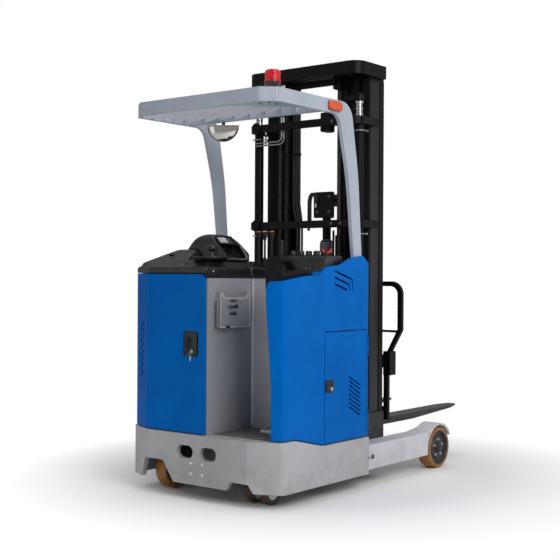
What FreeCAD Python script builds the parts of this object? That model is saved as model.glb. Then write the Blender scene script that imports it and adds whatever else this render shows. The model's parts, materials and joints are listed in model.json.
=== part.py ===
import FreeCAD, Part
import math
import os
from FreeCAD import Vector

# Stand-on electric reach truck.
# X is to the driver's right when facing the forks, Y is forward, Z is up, all in millimetres.
# Lengths along Y are set out from the rear face of the chassis; export puts the
# origin on the ground, midway between that face and the fork tips.

# ---------------------------------------------------------------- driving sizes
# chassis
BODY_HALF_WIDTH = 545.0
CHASSIS_LENGTH = 880.0
CHASSIS_BOTTOM = 85.0
FLOOR_HEIGHT = 357.0
SIDE_SILL_HEIGHT = 300.0
SILL_SLOPE_START = 180.0
SILL_SLOPE_END = 435.0
CORNER_X = 180.0
CORNER_Y = 80.0
CORNER_RADIUS = 36.0
CHASSIS_WALL = 30.0
BULKHEAD_Y = SILL_SLOPE_END
DECK_THICKNESS = 14.0
CHASSIS_FRAME_FLANGE = 60.0
HATCH_ROUND = 30.0
DRIVE_NOTCH_ROUND = 12.0
DRIVE_NOTCH_STEP = 8.0
CASTER_NOTCH_ROUND = 8.0
DRIVE_INSET = 190.0
DRIVE_X = DRIVE_INSET - BODY_HALF_WIDTH
DRIVE_NOTCH_OUTWARDS = 70.0
DRIVE_NOTCH_INWARDS = 195.0
DRIVE_NOTCH_LEFT = DRIVE_X - DRIVE_NOTCH_OUTWARDS
DRIVE_NOTCH_RIGHT = DRIVE_X + DRIVE_NOTCH_INWARDS
DRIVE_NOTCH_TOP = 197.0
DRIVE_NOTCH_SLOPE = 40.0
CASTER_INSET = 218.0
CASTER_X = BODY_HALF_WIDTH - CASTER_INSET
CASTER_NOTCH_INWARDS = 105.0
CASTER_NOTCH_OUTWARDS = 71.0
CASTER_NOTCH_LEFT = CASTER_X - CASTER_NOTCH_INWARDS
CASTER_NOTCH_RIGHT = CASTER_X + CASTER_NOTCH_OUTWARDS
CASTER_NOTCH_TOP = 132.0
CASTER_NOTCH_SLOPE = 26.0
TOW_SLOT_LENGTH = 117.0
TOW_SLOT_HEIGHT = 69.0
TOW_SLOT_SPACING = 168.0
TOW_SLOT_X = 10.0
TOW_SLOT_Z = 260.0

# straddle legs and load wheels
LEG_INSET = 27.0
LEG_WIDTH = 113.0
LEG_OUTER_X = BODY_HALF_WIDTH - LEG_INSET
LEG_INNER_X = LEG_OUTER_X - LEG_WIDTH
LEG_BOTTOM = 100.0
LEG_TOP = 245.0
LEG_END = 1604.0
LEG_FLANGE = 22.0
LEG_WEB = 22.0
LOAD_WHEEL_Y = 1740.0
LOAD_WHEEL_RADIUS = 130.0
LOAD_WHEEL_WIDTH = 92.0
LOAD_TYRE_THICKNESS = 20.0
LOAD_WHEEL_GAP = 14.0
LOAD_AXLE_RADIUS = 22.0
AXLE_CLEARANCE = 0.05
EDGE_FINDING = 0.1
AXLE_END_GAP = 1.0
FENDER_THICKNESS = 12.0
FENDER_START_ANGLE = 28.0
FENDER_END_ANGLE = 165.0
RAMP_LENGTH = 90.0
RAMP_FOOT_EASE = 90.0
RAMP_HEAD_EASE = 70.0
RAMP_HEAD_LENGTH = 48.0
RAMP_HEAD_DROP = 7.0
RAMP_TOP_ANGLE = 30.0
RAMP_TOP_DROP = 2.0
RAMP_LAP_Y = 4.0
RAMP_LAP_Z = 8.0
LOAD_BRACKET_THICKNESS = 14.0
LOAD_HUB_RECESS = 24.0

# drive unit and caster
DRIVE_Y = 215.0
DRIVE_WHEEL_RADIUS = 120.0
DRIVE_WHEEL_WIDTH = 82.0
DRIVE_TYRE_THICKNESS = 20.0
TURNTABLE_RADIUS = 118.0
DRIVE_GAP = 8.0
GEARBOX_THICKNESS = 60.0
GEARBOX_HALF_FOOT = 52.0
GEARBOX_HALF_HEAD = 70.0
GEARBOX_REACH = 58.0
GEARBOX_ROUND = 50.0
GEARBOX_LAP = 4.0
BRAKE_SHARE = 0.6
DRIVE_AXLE_LAP = 5.0
DRIVE_MOTOR_RADIUS = 92.0
DRIVE_MOTOR_HEIGHT = 300.0
CASTER_Y = 215.0
CASTER_OFFSET = 30.0
CASTER_RADIUS = 70.0
CASTER_WIDTH = 52.0
CASTER_TRACK = 106.0
CASTER_TYRE_THICKNESS = 12.0
CASTER_PLATE_RADIUS = 70.0
CASTER_PLATE_THICKNESS = 16.0
CASTER_GAP = 8.0
CASTER_AXLE_RADIUS = 11.0
CASTER_CHEEK_GAP = 6.0
CASTER_CHEEK_HALF_FOOT = 24.0
CASTER_CHEEK_HALF_HEAD = 40.0
CASTER_CHEEK_ROUND = 23.0
CASTER_HEAD_ROOM = 68.0
CASTER_PAD_BOTTOM = 2 * CASTER_RADIUS + CASTER_HEAD_ROOM

# covers
COVER_GAP = 6.0
PANEL_INSET = 8.0
PANEL_THICKNESS = 18.0
HINGE_INSET = 172.0
HINGE_X = HINGE_INSET - BODY_HALF_WIDTH
COVER_TOP = 1230.0
REAR_DOOR_TOP = 1227.0
RECESS_LEFT = 58.0
RIGHT_WALL_TOP_WIDTH = 87.0
RIGHT_WALL_FOOT_WIDTH = 59.0
RIGHT_WALL_LEAN_LOW = 650.0
RIGHT_WALL_LEAN_HIGH = 1090.0
RECESS_RIGHT = BODY_HALF_WIDTH - PANEL_INSET - RIGHT_WALL_TOP_WIDTH
RECESS_FOOT_RIGHT = BODY_HALF_WIDTH - PANEL_INSET - RIGHT_WALL_FOOT_WIDTH
RECESS_DEPTH = 404.0
LINER_THICKNESS = 12.0
REAR_DOOR_CORNER_RADIUS = 26.0
DOOR_SEAM_Y = 450.0
DOOR_SEAM_Z = 918.0
DOOR_GAP = 5.0
LOUVRE_COUNT = 8
LOUVRE_WIDTH = 9.0
REAR_LOUVRE_LOW = 640.0
REAR_LOUVRE_PITCH = 39.0
REAR_LOUVRE_REACH = 44.0
REAR_LOUVRE_RISE = 42.0
SIDE_LOUVRE_FRONT_GAP = 138.0
SIDE_LOUVRE_Y = CHASSIS_LENGTH - SIDE_LOUVRE_FRONT_GAP
SIDE_LOUVRE_HIGH = 658.0
SIDE_LOUVRE_PITCH = 24.2
SIDE_LOUVRE_REACH = 107.0
SIDE_LOUVRE_DROP = 55.0
VENT_COUNT = 3
VENT_SLOT_WIDTH = 11.0
VENT_SLOT_PITCH = 36.0
VENT_REAR = 547.0
VENT_TOP = 1248.0
VENT_BEND_Y = 710.0
VENT_BEND_STEP = 29.0
VENT_BEND_DROP = 46.0
VENT_BEND_EASE = 8.0
VENT_FOOT = 1141.0
VENT_FOOT_REACH = 10.0
CREST_REAR_Z = 1139.0
CREST_HEEL_Y = 24.0
CREST_HEEL_Z = 1185.0
CREST_HEEL_ROUND = 50.0
CREST_RAMP_Y = 171.0
CREST_RAMP_Z = 1205.0
CREST_RAMP_ROUND = 300.0
CREST_REST_Y = 288.0
CREST_REST_Z = 1220.0
CREST_REST_ROUND = 200.0
CREST_STEP_Y = 403.0
CREST_STEP_Z = 1223.0
CREST_STEP_ROUND = 24.0
CREST_LEDGE_Y = 470.0
CREST_LEDGE_Z = 1271.0
CREST_SADDLE_Y = 598.0
CREST_SADDLE_Z = 1281.0
CREST_SADDLE_ROUND = 60.0
CREST_RISE_Y = 702.0
CREST_RISE_Z = 1322.0
CREST_PEAK_Z = 1337.0
CREST_PEAK_ROUND = 16.0
CREST_BROW_Z = 1313.0
CREST_FRONT_Z = 1300.0
CREST_FRONT_ROUND = 10.0
CREST_FRONT_INSET = 3.0
CREST_PEAK_REAR_GAP = 56.0
CREST_PEAK_FRONT_GAP = 31.0
PAD_SEAT_LOW = 1095.0
PAD_SEAT_HIGH = 1196.0
PAD_SEAT_WIDTH = 74.0
PAD_SEAT_DEPTH = 110.0
PAD_SEAT_LEAN = 4.0
PAD_SEAT_EAVES = 2.0
PAD_SEAT_ROUND = 62.0
LATCH_DEPTH = 3.0
REAR_LATCH_X = -41.0
REAR_LATCH_Z = 848.0
REAR_LATCH_WIDTH = 108.0
REAR_LATCH_HEIGHT = 135.0
SIDE_LATCH_Y = 496.0
SIDE_LATCH_Z = 617.0
SIDE_LATCH_WIDTH = 80.0
SIDE_LATCH_HEIGHT = 68.0
SIDE_LATCH_ROUND = 8.0
REAR_LATCH_ROUND = 10.0
REAR_LATCH_RIM = 14.0
REAR_LATCH_GRIP_RISE = 46.0
REAR_LATCH_GRIP_ROUND = 8.0
REAR_LATCH_LOCK_RISE = 24.0
LOCK_RADIUS = 9.0
LOCK_PROUD = 3.0
HINGE_RADIUS = 7.0
HINGE_GAP = 0.6
HINGE_SPAN = 60.0
HINGE_END = 24.0
REAR_HINGE_HEIGHTS = (480.0, 1100.0)
SIDE_HINGE_HEIGHTS = (400.0, 820.0)

# battery
BATTERY_TOP = 878.0
BATTERY_GAP = 12.0

# compartment fittings
POCKET_REAR = 100.0
POCKET_FRONT = 350.0
POCKET_BOTTOM = 935.0
POCKET_TOP = 1130.0
POCKET_DEPTH = 34.0
POCKET_WALL = 3.0
POCKET_SCOOP = 22.0
POCKET_EAR = 46.0
POCKET_CORNER_ROUND = 6.0
POCKET_EAR_ROUND = 12.0
POCKET_HOLE_FRONT_GAP = 143.0
POCKET_HOLE_TOP_GAP = 46.0
POCKET_HOLE_PITCH = 36.0
POCKET_HOLE_WIDTHS = (62.0, 88.0, 62.0)
POCKET_HOLE_HEIGHT = 21.0
MAT_THICKNESS = 6.0
PEDAL_WIDTH = 110.0
PEDAL_LENGTH = 130.0
PEDAL_HEIGHT = 42.0
PEDAL_FRONT_GAP = 6.0
PEDAL_RIGHT_GAP = 130.0
PEDAL_FLAT = 24.0
PEDAL_ROUND = 8.0
PEDAL_TOE_ROUND = 4.0
MAT_BORDER = 10.0

# top covers and controls
CAP_BAND_BOTTOM = 1205.0
CAP_TOP = 1268.0
CAP_EDGE_RADIUS = 14.0
CAP_BAND_WIDTH = 26.0
CROWN_TOP = 1303.0
CROWN_LEFT_INSET = 65.0
CROWN_LEFT = CROWN_LEFT_INSET - BODY_HALF_WIDTH
CROWN_RIGHT = 44.0
CROWN_REAR = 44.0
CROWN_FRONT = 560.0
CROWN_LEFT_SLOPE = 80.0
CROWN_RIGHT_SLOPE = 34.0
CROWN_REAR_SLOPE = 46.0
CROWN_FRONT_SLOPE = 60.0
CROWN_LEFT_ROUND = 70.0
CROWN_RIGHT_ROUND = 40.0
CROWN_END_ROUND = 50.0
CROWN_LAP = 4.0
HUMP_TOP = 1368.0
HUMP_LEFT_INSET = 25.0
HUMP_LEFT = HUMP_LEFT_INSET - BODY_HALF_WIDTH
HUMP_RIGHT = -143.0
HUMP_REAR = 15.0
HUMP_FRONT = 560.0
HUMP_EDGE = 12.0
HUMP_LEFT_SLOPE = 190.0
HUMP_RIGHT_SLOPE = 52.0
HUMP_REAR_SLOPE = 195.0
HUMP_FRONT_SLOPE = 70.0
HUMP_ROUND = 60.0
HUMP_RIGHT_ROUND = 40.0
DASH_REAR = 225.0
DASH_FRONT = 492.0
DASH_BACK_X = -330.0
DASH_FACE_X = 20.0
DASH_TOP = 1456.0
DASH_TRAY_DEPTH = 70.0
DASH_FACE_LEAN = 150.0
DASH_CROWN_WIDTH = 90.0
DASH_CORNER_X = 45.0
DASH_CORNER_Y = 92.0
DASH_CORNER_SIDE_ROUND = 80.0
DASH_CORNER_FRONT_ROUND = 50.0
DASH_FACE_ROUND = 60.0
DASH_TOP_ROUND = 90.0
DASH_REAR_SLOPE = 30.0
DASH_REAR_ROUND = 70.0
DASH_FRONT_SLOPE = 40.0
DASH_TRAY_LOW = 0.08
DASH_TRAY_HIGH = 0.58
DASH_TRAY_LIP = 5.0
DASH_TRAY_CEILING_DROP = 12.0
DASH_TRAY_FLOOR_RISE = 4.0
DASH_TRAY_ROUND = 10.0
DASH_TRAY_REAR_GAP = 50.0
DASH_TRAY_FRONT_GAP = 44.0
DISPLAY_REAR_GAP = 70.0
DISPLAY_FRONT_GAP = 90.0
DISPLAY_LOW = 0.64
DISPLAY_HIGH = 0.86
DASH_CLEARANCE = 9.0
DISPLAY_THICKNESS = 5.0
WHEEL_DISC_X = -30.0
WHEEL_DISC_Y = 150.0
WHEEL_DISC_Z = 1318.0
WHEEL_DISC_RADIUS = 98.0
WHEEL_DISC_THICKNESS = 12.0
SPINNER_RADIUS = 25.0
SPINNER_OFFSET = 62.0
SPINNER_ANGLE = -39.0
SPINNER_TOP = 1387.0
SPINNER_STALK_SHARE = 0.45
SPINNER_KNOB_SHARE = 1.3
SPINNER_ROUND = 10.0
WHEEL_DISC_ROUND = 4.0
WHEEL_COLUMN_RADIUS = 22.0
LEVER_PLACES = (24.0, 72.0, 124.0)
LEVER_Y = 505.0
LEVER_RADIUS = 6.0
LEVER_KNOB_RADIUS = 15.0
LEVER_HEIGHT = 208.0
LEVER_FOOT_LAP = 6.0
LEVER_KNOB_LAP = 10.0
LEVER_KNOB_HEIGHT = 50.0
LEVER_KNOB_FOOT_SHARE = 0.6
LEVER_KNOB_FOOT_ROUND = 4.0
LEVER_KNOB_TOP_ROUND = 9.0
BOOT_PLATE_LEFT = 24.0
BOOT_PLATE_EDGE = 30.0
BOOT_PLATE_THICKNESS = 12.0
SWITCH_PANEL_TOP = 1335.0
SWITCH_PANEL_LEFT = 205.0
SWITCH_PANEL_WALL_GAP = 26.0
SWITCH_PANEL_RIGHT = BODY_HALF_WIDTH - PANEL_INSET - PANEL_THICKNESS - SWITCH_PANEL_WALL_GAP
SWITCH_PANEL_REAR = 500.0
SWITCH_PANEL_LIP = 1305.0
SWITCH_KNOB_Y = 560.0
SWITCH_PANEL_FRONT = 690.0
SWITCH_PANEL_LEAN = 8.0
SWITCH_PANEL_LIP_ROUND = 14.0
SWITCH_PANEL_BEND_ROUND = 20.0
SWITCH_PANEL_FRONT_SLOPE = 16.0
SWITCH_PANEL_FRONT_ROUND = 16.0
KNOB_RADIUS = 19.0
KNOB_HEIGHT = 22.0
KNOB_PITCH = 54.0
KNOB_COUNT = 4
KNOB_FIRST_SHARE = 0.6
KNOB_TAPER = 0.8
STOP_BUTTON_WALL_GAP = 24.0
STOP_BUTTON_X = SWITCH_PANEL_RIGHT - STOP_BUTTON_WALL_GAP
STOP_BUTTON_RADIUS = 22.0
STOP_BUTTON_STEM_HEIGHT = 14.0
STOP_BUTTON_HEAD_LOW = 10.0
STOP_BUTTON_HEAD_HIGH = 24.0
STOP_BUTTON_ROUND = 5.0
GRIP_RADIUS = 15.0
GRIP_X = 147.0
GRIP_Y = 560.0
GRIP_HEIGHT = 90.0
GRIP_STEM = 60.0
PAD_TOP = 1315.0
PAD_HOLE_REAR = 74.0
PAD_HOLE_FRONT = 208.0
PAD_HOLE_LOW = 1246.0
PAD_HOLE_HIGH = 1300.0
PAD_HOLE_REAR_REACH = 40.0
PAD_HOLE_FRONT_REACH = 18.0
PAD_HOLE_SLANT = 48.0
PAD_HOLE_REAR_DROP = 15.0
PAD_HOLE_REAR_RISE = 16.0
PAD_HOLE_FRONT_RISE = 4.0
PAD_HOLE_ROUNDS = (8.0, 14.0, 12.0, 10.0, 20.0)
PAD_REAR_Y = 4.0
PAD_REAR_Z = 1240.0
PAD_REAR_ROUND = 60.0
PAD_LAP_TOP = 1230.0
PAD_TOP_REAR_Y = 34.0
PAD_TOP_REAR_ROUND = 34.0
PAD_TOP_FRONT_Y = 204.0
PAD_TOP_FRONT_ROUND = 26.0
PAD_SLOPE_Y = 232.0
PAD_SLOPE_Z = 1266.0
PAD_SLOPE_ROUND = 20.0
PAD_ARM_REAR_Y = 250.0
PAD_ARM_REAR_Z = 1256.0
PAD_ARM_ROUND = 22.0
PAD_ARM_FRONT_Y = 372.0
PAD_ARM_FRONT_Z = 1246.0
PAD_ARM_FRONT_ROUND = 10.0
PAD_TIP_Y = 386.0
PAD_TIP_Z = 1223.0
PAD_GAP = 1.0
PAD_INSET = 14.0

# overhead guard
GUARD_TOP = 2195.0
GUARD_EDGE_HEIGHT = 75.0
GUARD_BAR = 22.0
GUARD_INSET = 32.0
GUARD_HALF_WIDTH = BODY_HALF_WIDTH - GUARD_INSET
GUARD_CORNER_X = 80.0
GUARD_CORNER_Y = 66.0
GUARD_CORNER_RADIUS = 36.0
GUARD_CROSSBAR_Y = 465.0
PILLAR_FRONT_GAP = 38.0
PILLAR_DEPTH = 78.0
PILLAR_FRONT_FOOT = CHASSIS_LENGTH - PILLAR_FRONT_GAP
PILLAR_REAR_FOOT = PILLAR_FRONT_FOOT - PILLAR_DEPTH
PILLAR_ELBOW_Z = 1300.0
PILLAR_ELBOW_EASE = 200.0
PILLAR_LOW_Z = 1390.0
PILLAR_LOW_EASE = 900.0
PILLAR_FRONT_LOW_LEAN = 6.0
PILLAR_REAR_LOW_LEAN = 11.0
PILLAR_MIDDLE_EASE = 1500.0
PILLAR_FRONT_MIDDLE_Z = 1792.0
PILLAR_FRONT_MIDDLE_LEAN = 40.0
PILLAR_REAR_MIDDLE_Z = 1784.0
PILLAR_REAR_MIDDLE_LEAN = 60.0
PILLAR_FRONT_HIGH_DROP = 179.0
PILLAR_FRONT_HIGH_LEAN = 82.0
PILLAR_FRONT_HIGH_EASE = 900.0
PILLAR_REAR_HIGH_DROP = 192.0
PILLAR_REAR_HIGH_LEAN = 122.0
PILLAR_REAR_HIGH_EASE = 500.0
PILLAR_FRONT_TOP_LEAN = 114.0
PILLAR_FRONT_TOP_ROUND = 140.0
PILLAR_REAR_TOP_LEAN = 156.0
PILLAR_REAR_TOP_ROUND = 105.0
PILLAR_FOOT_HEIGHT = SIDE_SILL_HEIGHT
GUSSET_LEG = 285.0
GUSSET_THICKNESS = 8.0
GUSSET_CORNER_CUT = 60.0
GUARD_LOOP_LAP = 40.0
CROSSBAR_SINK = 6.0
SLAT_FIRST_SHARE = 0.35
SLAT_SPREAD = 0.94
SLAT_FOOT_GAP = 12.0
SLAT_THICKNESS = 5.0
SLAT_HEIGHT = 46.0
SLATS_TO_FRONT = 8
SLATS_TO_SIDE = 5
BEACON_INSET = 85.0
BEACON_X = GUARD_HALF_WIDTH - BEACON_INSET
BEACON_Y = 122.0
BEACON_RADIUS = 44.0
BEACON_TOP = 2300.0
BEACON_BASE_HEIGHT = 62.0
BEACON_DOME_ROUND = 16.0
LAMP_LENGTH = 120.0
LAMP_HEIGHT = 54.0
LAMP_THICKNESS = 22.0
LAMP_ROUND = 8.0
LAMP_Y = 560.0
MIRROR_X = -215.0
MIRROR_TOP = 2098.0
MIRROR_RADIUS = 92.0
MIRROR_THICKNESS = 26.0
MIRROR_BULGE = 24.0
MIRROR_TURN = 32.0
MIRROR_ROD = 6.0

# mast
MAST_TOP = 2490.0
MAST_BOTTOM = 62.0
MAST_SETBACK = 221.0
RAIL_DEPTH = 160.0
RAIL_STAGGER = 30.0
OUTER_REAR = CHASSIS_LENGTH + MAST_SETBACK
MIDDLE_REAR = OUTER_REAR - RAIL_STAGGER
INNER_REAR = MIDDLE_REAR - RAIL_STAGGER
OUTER_FRONT = OUTER_REAR + RAIL_DEPTH
OUTER_RAIL_GAP = 17.0
OUTER_RAIL_X = LEG_INNER_X - OUTER_RAIL_GAP
RAIL_WIDTH = 62.0
RAIL_PITCH = 64.0
SIDE_PLATE_THICKNESS = 12.0
STRAP_OUTER_X = OUTER_RAIL_X + 36.0
STRAP_THICKNESS = 12.0
STRAP_CORNER_RADIUS = 74.0
RAIL_WEB = 16.0
RAIL_FLANGE = 22.0
RAIL_STEP = 12.0
ROLLER_CLEARANCE = 1.0
ROLLER_STUB_RADIUS = 16.0
YOKE_SETBACK = 50.0
YOKE_REAR = CHASSIS_LENGTH + YOKE_SETBACK
YOKE_HEIGHT = 76.0
YOKE_DEPTH = 22.0
YOKE_FRONT_GAP = 30.0
TIE_HEIGHT = 45.0
TIE_FRONT_GAP = 110.0
CROSSBAR_HEIGHT = 70.0
CROSSBAR_TOP_GAP = 10.0
CROSSBAR_BOTTOM = MAST_TOP - CROSSBAR_TOP_GAP - CROSSBAR_HEIGHT
LOWER_TIE_DROP = 900.0
UPPER_TIE_DROP = 290.0
TIE_PLACES = (CROSSBAR_BOTTOM - LOWER_TIE_DROP, CROSSBAR_BOTTOM - UPPER_TIE_DROP)
STOP_BLOCK_X = 178.0
STOP_BLOCK_WIDTH = 58.0
STOP_BLOCK_HEIGHT = 116.0
STOP_BLOCK_DEPTH = 66.0
STOP_BLOCK_ROUND = 10.0
STOP_BLOCK_SETBACK = 4.0
LIFT_CYLINDER_RADIUS = 28.0
LIFT_CYLINDER_STRAP_GAP = 3.0
LIFT_CYLINDER_X = STRAP_OUTER_X - STRAP_THICKNESS - LIFT_CYLINDER_STRAP_GAP - LIFT_CYLINDER_RADIUS
LIFT_CYLINDER_Y = YOKE_REAR + 75.0
LIFT_ROD_RADIUS = 20.0
LIFT_CYLINDER_FOOT = 262.0
LIFT_SHELF_THICKNESS = 12.0
LIFT_BORE_FOOT = 40.0
LIFT_ROD_FOOT = 50.0
FREE_BORE_FOOT = 80.0
ROD_CAP_DROP = 108.0
ROD_CAP_HEIGHT = 46.0
ROD_SHOWING = 91.0
ROD_CAP_TOP = CROSSBAR_BOTTOM - ROD_CAP_DROP
ROD_CAP_BOTTOM = ROD_CAP_TOP - ROD_CAP_HEIGHT
LIFT_CYLINDER_TOP = ROD_CAP_BOTTOM - ROD_SHOWING
ROD_CAP_RADIUS = 25.0
ROD_CAP_BRACKET_INSET = 6.0
STAGE_FOOT_STEP = 10.0
ROLLER_LOW = 90.0
ROLLER_HIGH = 490.0
CROSSBAR_EAR_LAP = 6.0
CROSSBAR_EAR_DEPTH = 20.0
FOOT_BAR_REAR_INSET = 20.0
FOOT_BAR_FRONT_INSET = 15.0
INNER_TIE_INSET = 10.0
INNER_TIE_TOP_DROP = 40.0
INNER_TIE_HEIGHT = 60.0
INNER_TIE_THICKNESS = 16.0
INNER_FOOT_INSET = 5.0
INNER_FOOT_FRONT_INSET = 4.0
CHAIN_ANCHOR_REACH = 20.0
CROSSBAR_YOKE_GAP = 6.0
CROSSBAR_DEPTH = 72.0
CROSSBAR_REAR = YOKE_REAR + YOKE_DEPTH + CROSSBAR_YOKE_GAP
CROSSBAR_FRONT = CROSSBAR_REAR + CROSSBAR_DEPTH
FOOT_BAR_BOTTOM = 100.0
FOOT_BAR_HEIGHT = 60.0
FREE_CYLINDER_X = 60.0
FREE_CYLINDER_SETBACK = 89.0
FREE_CYLINDER_Y = INNER_REAR + FREE_CYLINDER_SETBACK
FREE_CYLINDER_RADIUS = 38.0
FREE_ROD_RADIUS = 26.0
HEAD_DROP = 670.0
HEAD_HEIGHT = 160.0
HEAD_REST_GAP = 140.0
FREE_ROD_IN_TUBE = 720.0
HEAD_TOP = CROSSBAR_BOTTOM - HEAD_DROP
HEAD_BOTTOM = HEAD_TOP - HEAD_HEIGHT
FREE_CYLINDER_TOP = HEAD_BOTTOM - HEAD_REST_GAP
HEAD_HALF_WIDTH = 72.0
HEAD_ROD_LAP = 10.0
HEAD_PLATE_REAR = 40.0
HEAD_PLATE_FRONT = 22.0
HEAD_CORNER_ROUND = 10.0
HEAD_SPINE_HALF_WIDTH = 30.0
HEAD_SPINE_REACH = 34.0
HEAD_SPINE_DROP = 10.0
HEAD_AXLE_RADIUS = 12.0
HEAD_AXLE_REACH = 74.0
SHEAVE_RADIUS = 27.0
SHEAVE_WIDTH = 22.0
CHAIN_WIDTH = 20.0
CHAIN_THICKNESS = 12.0
CHAIN_RAIL_GAP = 5.0
SHEAVE_Y = INNER_REAR - CHAIN_RAIL_GAP - CHAIN_THICKNESS / 2 - SHEAVE_RADIUS
SHEAVE_DROP = 50.0
SHEAVE_Z = CROSSBAR_BOTTOM - SHEAVE_DROP
SHEAVE_HANGER_HALF_DEPTH = 20.0
SHEAVE_HANGER_HALF_THICKNESS = 4.0
SHEAVE_HANGER_GAP = 6.0
SHEAVE_HANGER_REACH = 16.0
SHEAVE_PIN_REACH = 3.0
MAST_CHAIN_INSET = 34.0
MAST_CHAIN_X = OUTER_RAIL_X - 2 * RAIL_PITCH - MAST_CHAIN_INSET
CHAIN_ANCHOR_Z = 190.0
HEAD_SHEAVE_RADIUS = 44.0
HEAD_SHEAVE_OFFSET = 20.0
HEAD_SHEAVE_DROP = 52.0
HEAD_CHAIN_X = 50.0
CARRIAGE_CHAIN_Z = 705.0
ANCHOR_THICKNESS = 16.0
REACH_ROLLER_SETBACK = 56.0
REACH_ROLLER_SPACING = 100.0
REACH_ROLLER_REAR = CHASSIS_LENGTH + REACH_ROLLER_SETBACK
REACH_ROLLER_FRONT = REACH_ROLLER_REAR + REACH_ROLLER_SPACING
PIPE_X = -150.0
PIPE_DROP = 82.0
PIPE_LOW = TIE_PLACES[1] - PIPE_DROP
PIPE_COUNT = 2
PIPE_TIE_GAP = 2.0
PIPE_END_INSET = 20.0
PIPE_PITCH = 17.0
PIPE_RADIUS = 5.0
PIPE_BEND = 30.0
PIPE_RISE = 230.0
REACH_CYLINDER_RADIUS = 36.0
REACH_ROD_RADIUS = 20.0
REACH_CYLINDER_Z = 190.0
REACH_BORE_FOOT = 10.0
REACH_ROD_FOOT = 12.0
REACH_CYLINDER_START = 350.0
REACH_CYLINDER_END = CHASSIS_LENGTH + 5.0
REACH_BEAM_REAR = CHASSIS_LENGTH + 25.0
REACH_BEAM_DEPTH = 55.0
REACH_PLATE_TOP = 400.0
REACH_PLATE_LEG_GAP = 10.0
REACH_PLATE_SLOPE_DROP = 120.0
REACH_PLATE_ROUND = 10.0
REACH_PLATE_REAR_ROUND = 30.0
REACH_ROLLER_GAP = 8.0
REACH_BEAM_RISE = 20.0
REACH_BEAM_TOP_GAP = 20.0
LIFT_SHELF_EDGE = 2.0
REACH_ROLLER_WIDTH = 55.0

# forks and carriage
FORK_TIP = 2370.0
FORK_WIDTH = 110.0
FORK_THICKNESS = 42.0
FORK_TIP_THICKNESS = 11.0
FORK_TOP = 338.0
FORK_X = 260.0
FORK_SHANK_TOP = 790.0
FORK_HEEL_ROUND = 34.0
FORK_HEEL_INNER_ROUND = 12.0
FORK_SHANK_TOP_ROUND = 10.0
FORK_TIP_ROUND = 4.0
FORK_TAPER_LENGTH = 620.0
FORK_TAPER_EASE = 400.0
FORK_TIP_TAPER_LENGTH = 130.0
FORK_TIP_TAPER_ROUND = 60.0
FORK_TIP_CORNER_ROUND = 20.0
CARRIAGE_TOP = 745.0
CARRIAGE_BOTTOM = 330.0
CARRIAGE_PLATE = 16.0
CARRIAGE_FRONT_GAP = 53.0
CARRIER_HALF_WIDTH = 400.0
CARRIER_DEPTH = 24.0
CARRIER_BAR_HEIGHT = 80.0
CARRIER_BAR_RISE = 10.0
CARRIER_END_WIDTH = 30.0
CARRIER_STOP_INWARDS = 34.0
CARRIER_STOP_OUTWARDS = 16.0
CARRIER_STOP_DROP = 86.0
CARRIER_STOP_RISE = 60.0
CARRIER_EAR_PLACES = (70.0, 127.0)
CARRIER_EAR_WIDTH = 22.0
CARRIER_EAR_HALF_ROOT = 24.0
CARRIER_EAR_HALF_TIP = 14.0
CARRIER_EAR_ROUND = 10.0
TILT_PIN_X = 110.0
TILT_PIN_HALF_LENGTH = 40.0
CARRIAGE_EAR_INNER = 95.0
CARRIAGE_EAR_OUTER = 125.0
CARRIAGE_EAR_HALF_HEIGHT = 24.0
CARRIAGE_EAR_ROUND = 8.0
CARRIAGE_SIDE_REACH = 45.0
CARRIAGE_ROLLER_INSET = 80.0
CARRIAGE_LOWER_PLATE = 90.0
CARRIAGE_UPPER_PLATE = 110.0
CARRIAGE_SIDE_GAP = 6.0
CARRIAGE_ROLLER_GAP = 2.0
CARRIAGE_ROLLER_WEB_GAP = 4.0
TILT_GAP = 36.0
TILT_PIN_Z = 700.0
TILT_PIN_RADIUS = 10.0
TILT_EAR_REACH = 13.0
BACKREST_TOP = 1190.0
BACKREST_HALF_WIDTH = 478.0
BACKREST_TUBE = 30.0
BACKREST_BEND_Z = 890.0
BACKREST_FOOT_HALF_WIDTH = 405.0
BACKREST_ELBOW_ROUND = 30.0
BACKREST_CORNER_ROUND = 80.0
BACKREST_INNER_ELBOW_ROUND = 20.0
BACKREST_INNER_CORNER_ROUND = 50.0
BACKREST_INNER_ELBOW_RISE = 4.0
BACKREST_SHANK_GAP = 6.0
BACKREST_BAR_INSET = 6.0
BACKREST_CROSSBAR_HEIGHT = 14.0
BACKREST_BAR_PITCH = 150.0
BACKREST_BARS_EACH_SIDE = 2
BACKREST_BAR_WIDTH = 14.0
BACKREST_BAR_LAP = 8.0

OVERALL_LENGTH = FORK_TIP

os.makedirs("parts", exist_ok=True)


# ---------------------------------------------------------------- shape helpers
def box(x0, x1, y0, y1, z0, z1):
    """Block between two corners."""
    return Part.makeBox(x1 - x0, y1 - y0, z1 - z0, Vector(x0, y0, z0))


def bar_x(radius, x0, x1, y, z):
    """Round bar along X."""
    return Part.makeCylinder(radius, x1 - x0, Vector(x0, y, z), Vector(1, 0, 0))


def bar_y(radius, x, y0, y1, z):
    """Round bar along Y."""
    return Part.makeCylinder(radius, y1 - y0, Vector(x, y0, z), Vector(0, 1, 0))


def bar_z(radius, x, y, z0, z1):
    """Round bar along Z."""
    return Part.makeCylinder(radius, z1 - z0, Vector(x, y, z0), Vector(0, 0, 1))


def tube_x(outer, inner, x0, x1, y, z):
    """Round tube along X."""
    return bar_x(outer, x0, x1, y, z).cut(bar_x(inner, x0 - 1, x1 + 1, y, z))


def mirrored(shape):
    """Copy of a right-hand piece on the left."""
    return shape.mirror(Vector(0, 0, 0), Vector(1, 0, 0))


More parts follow.
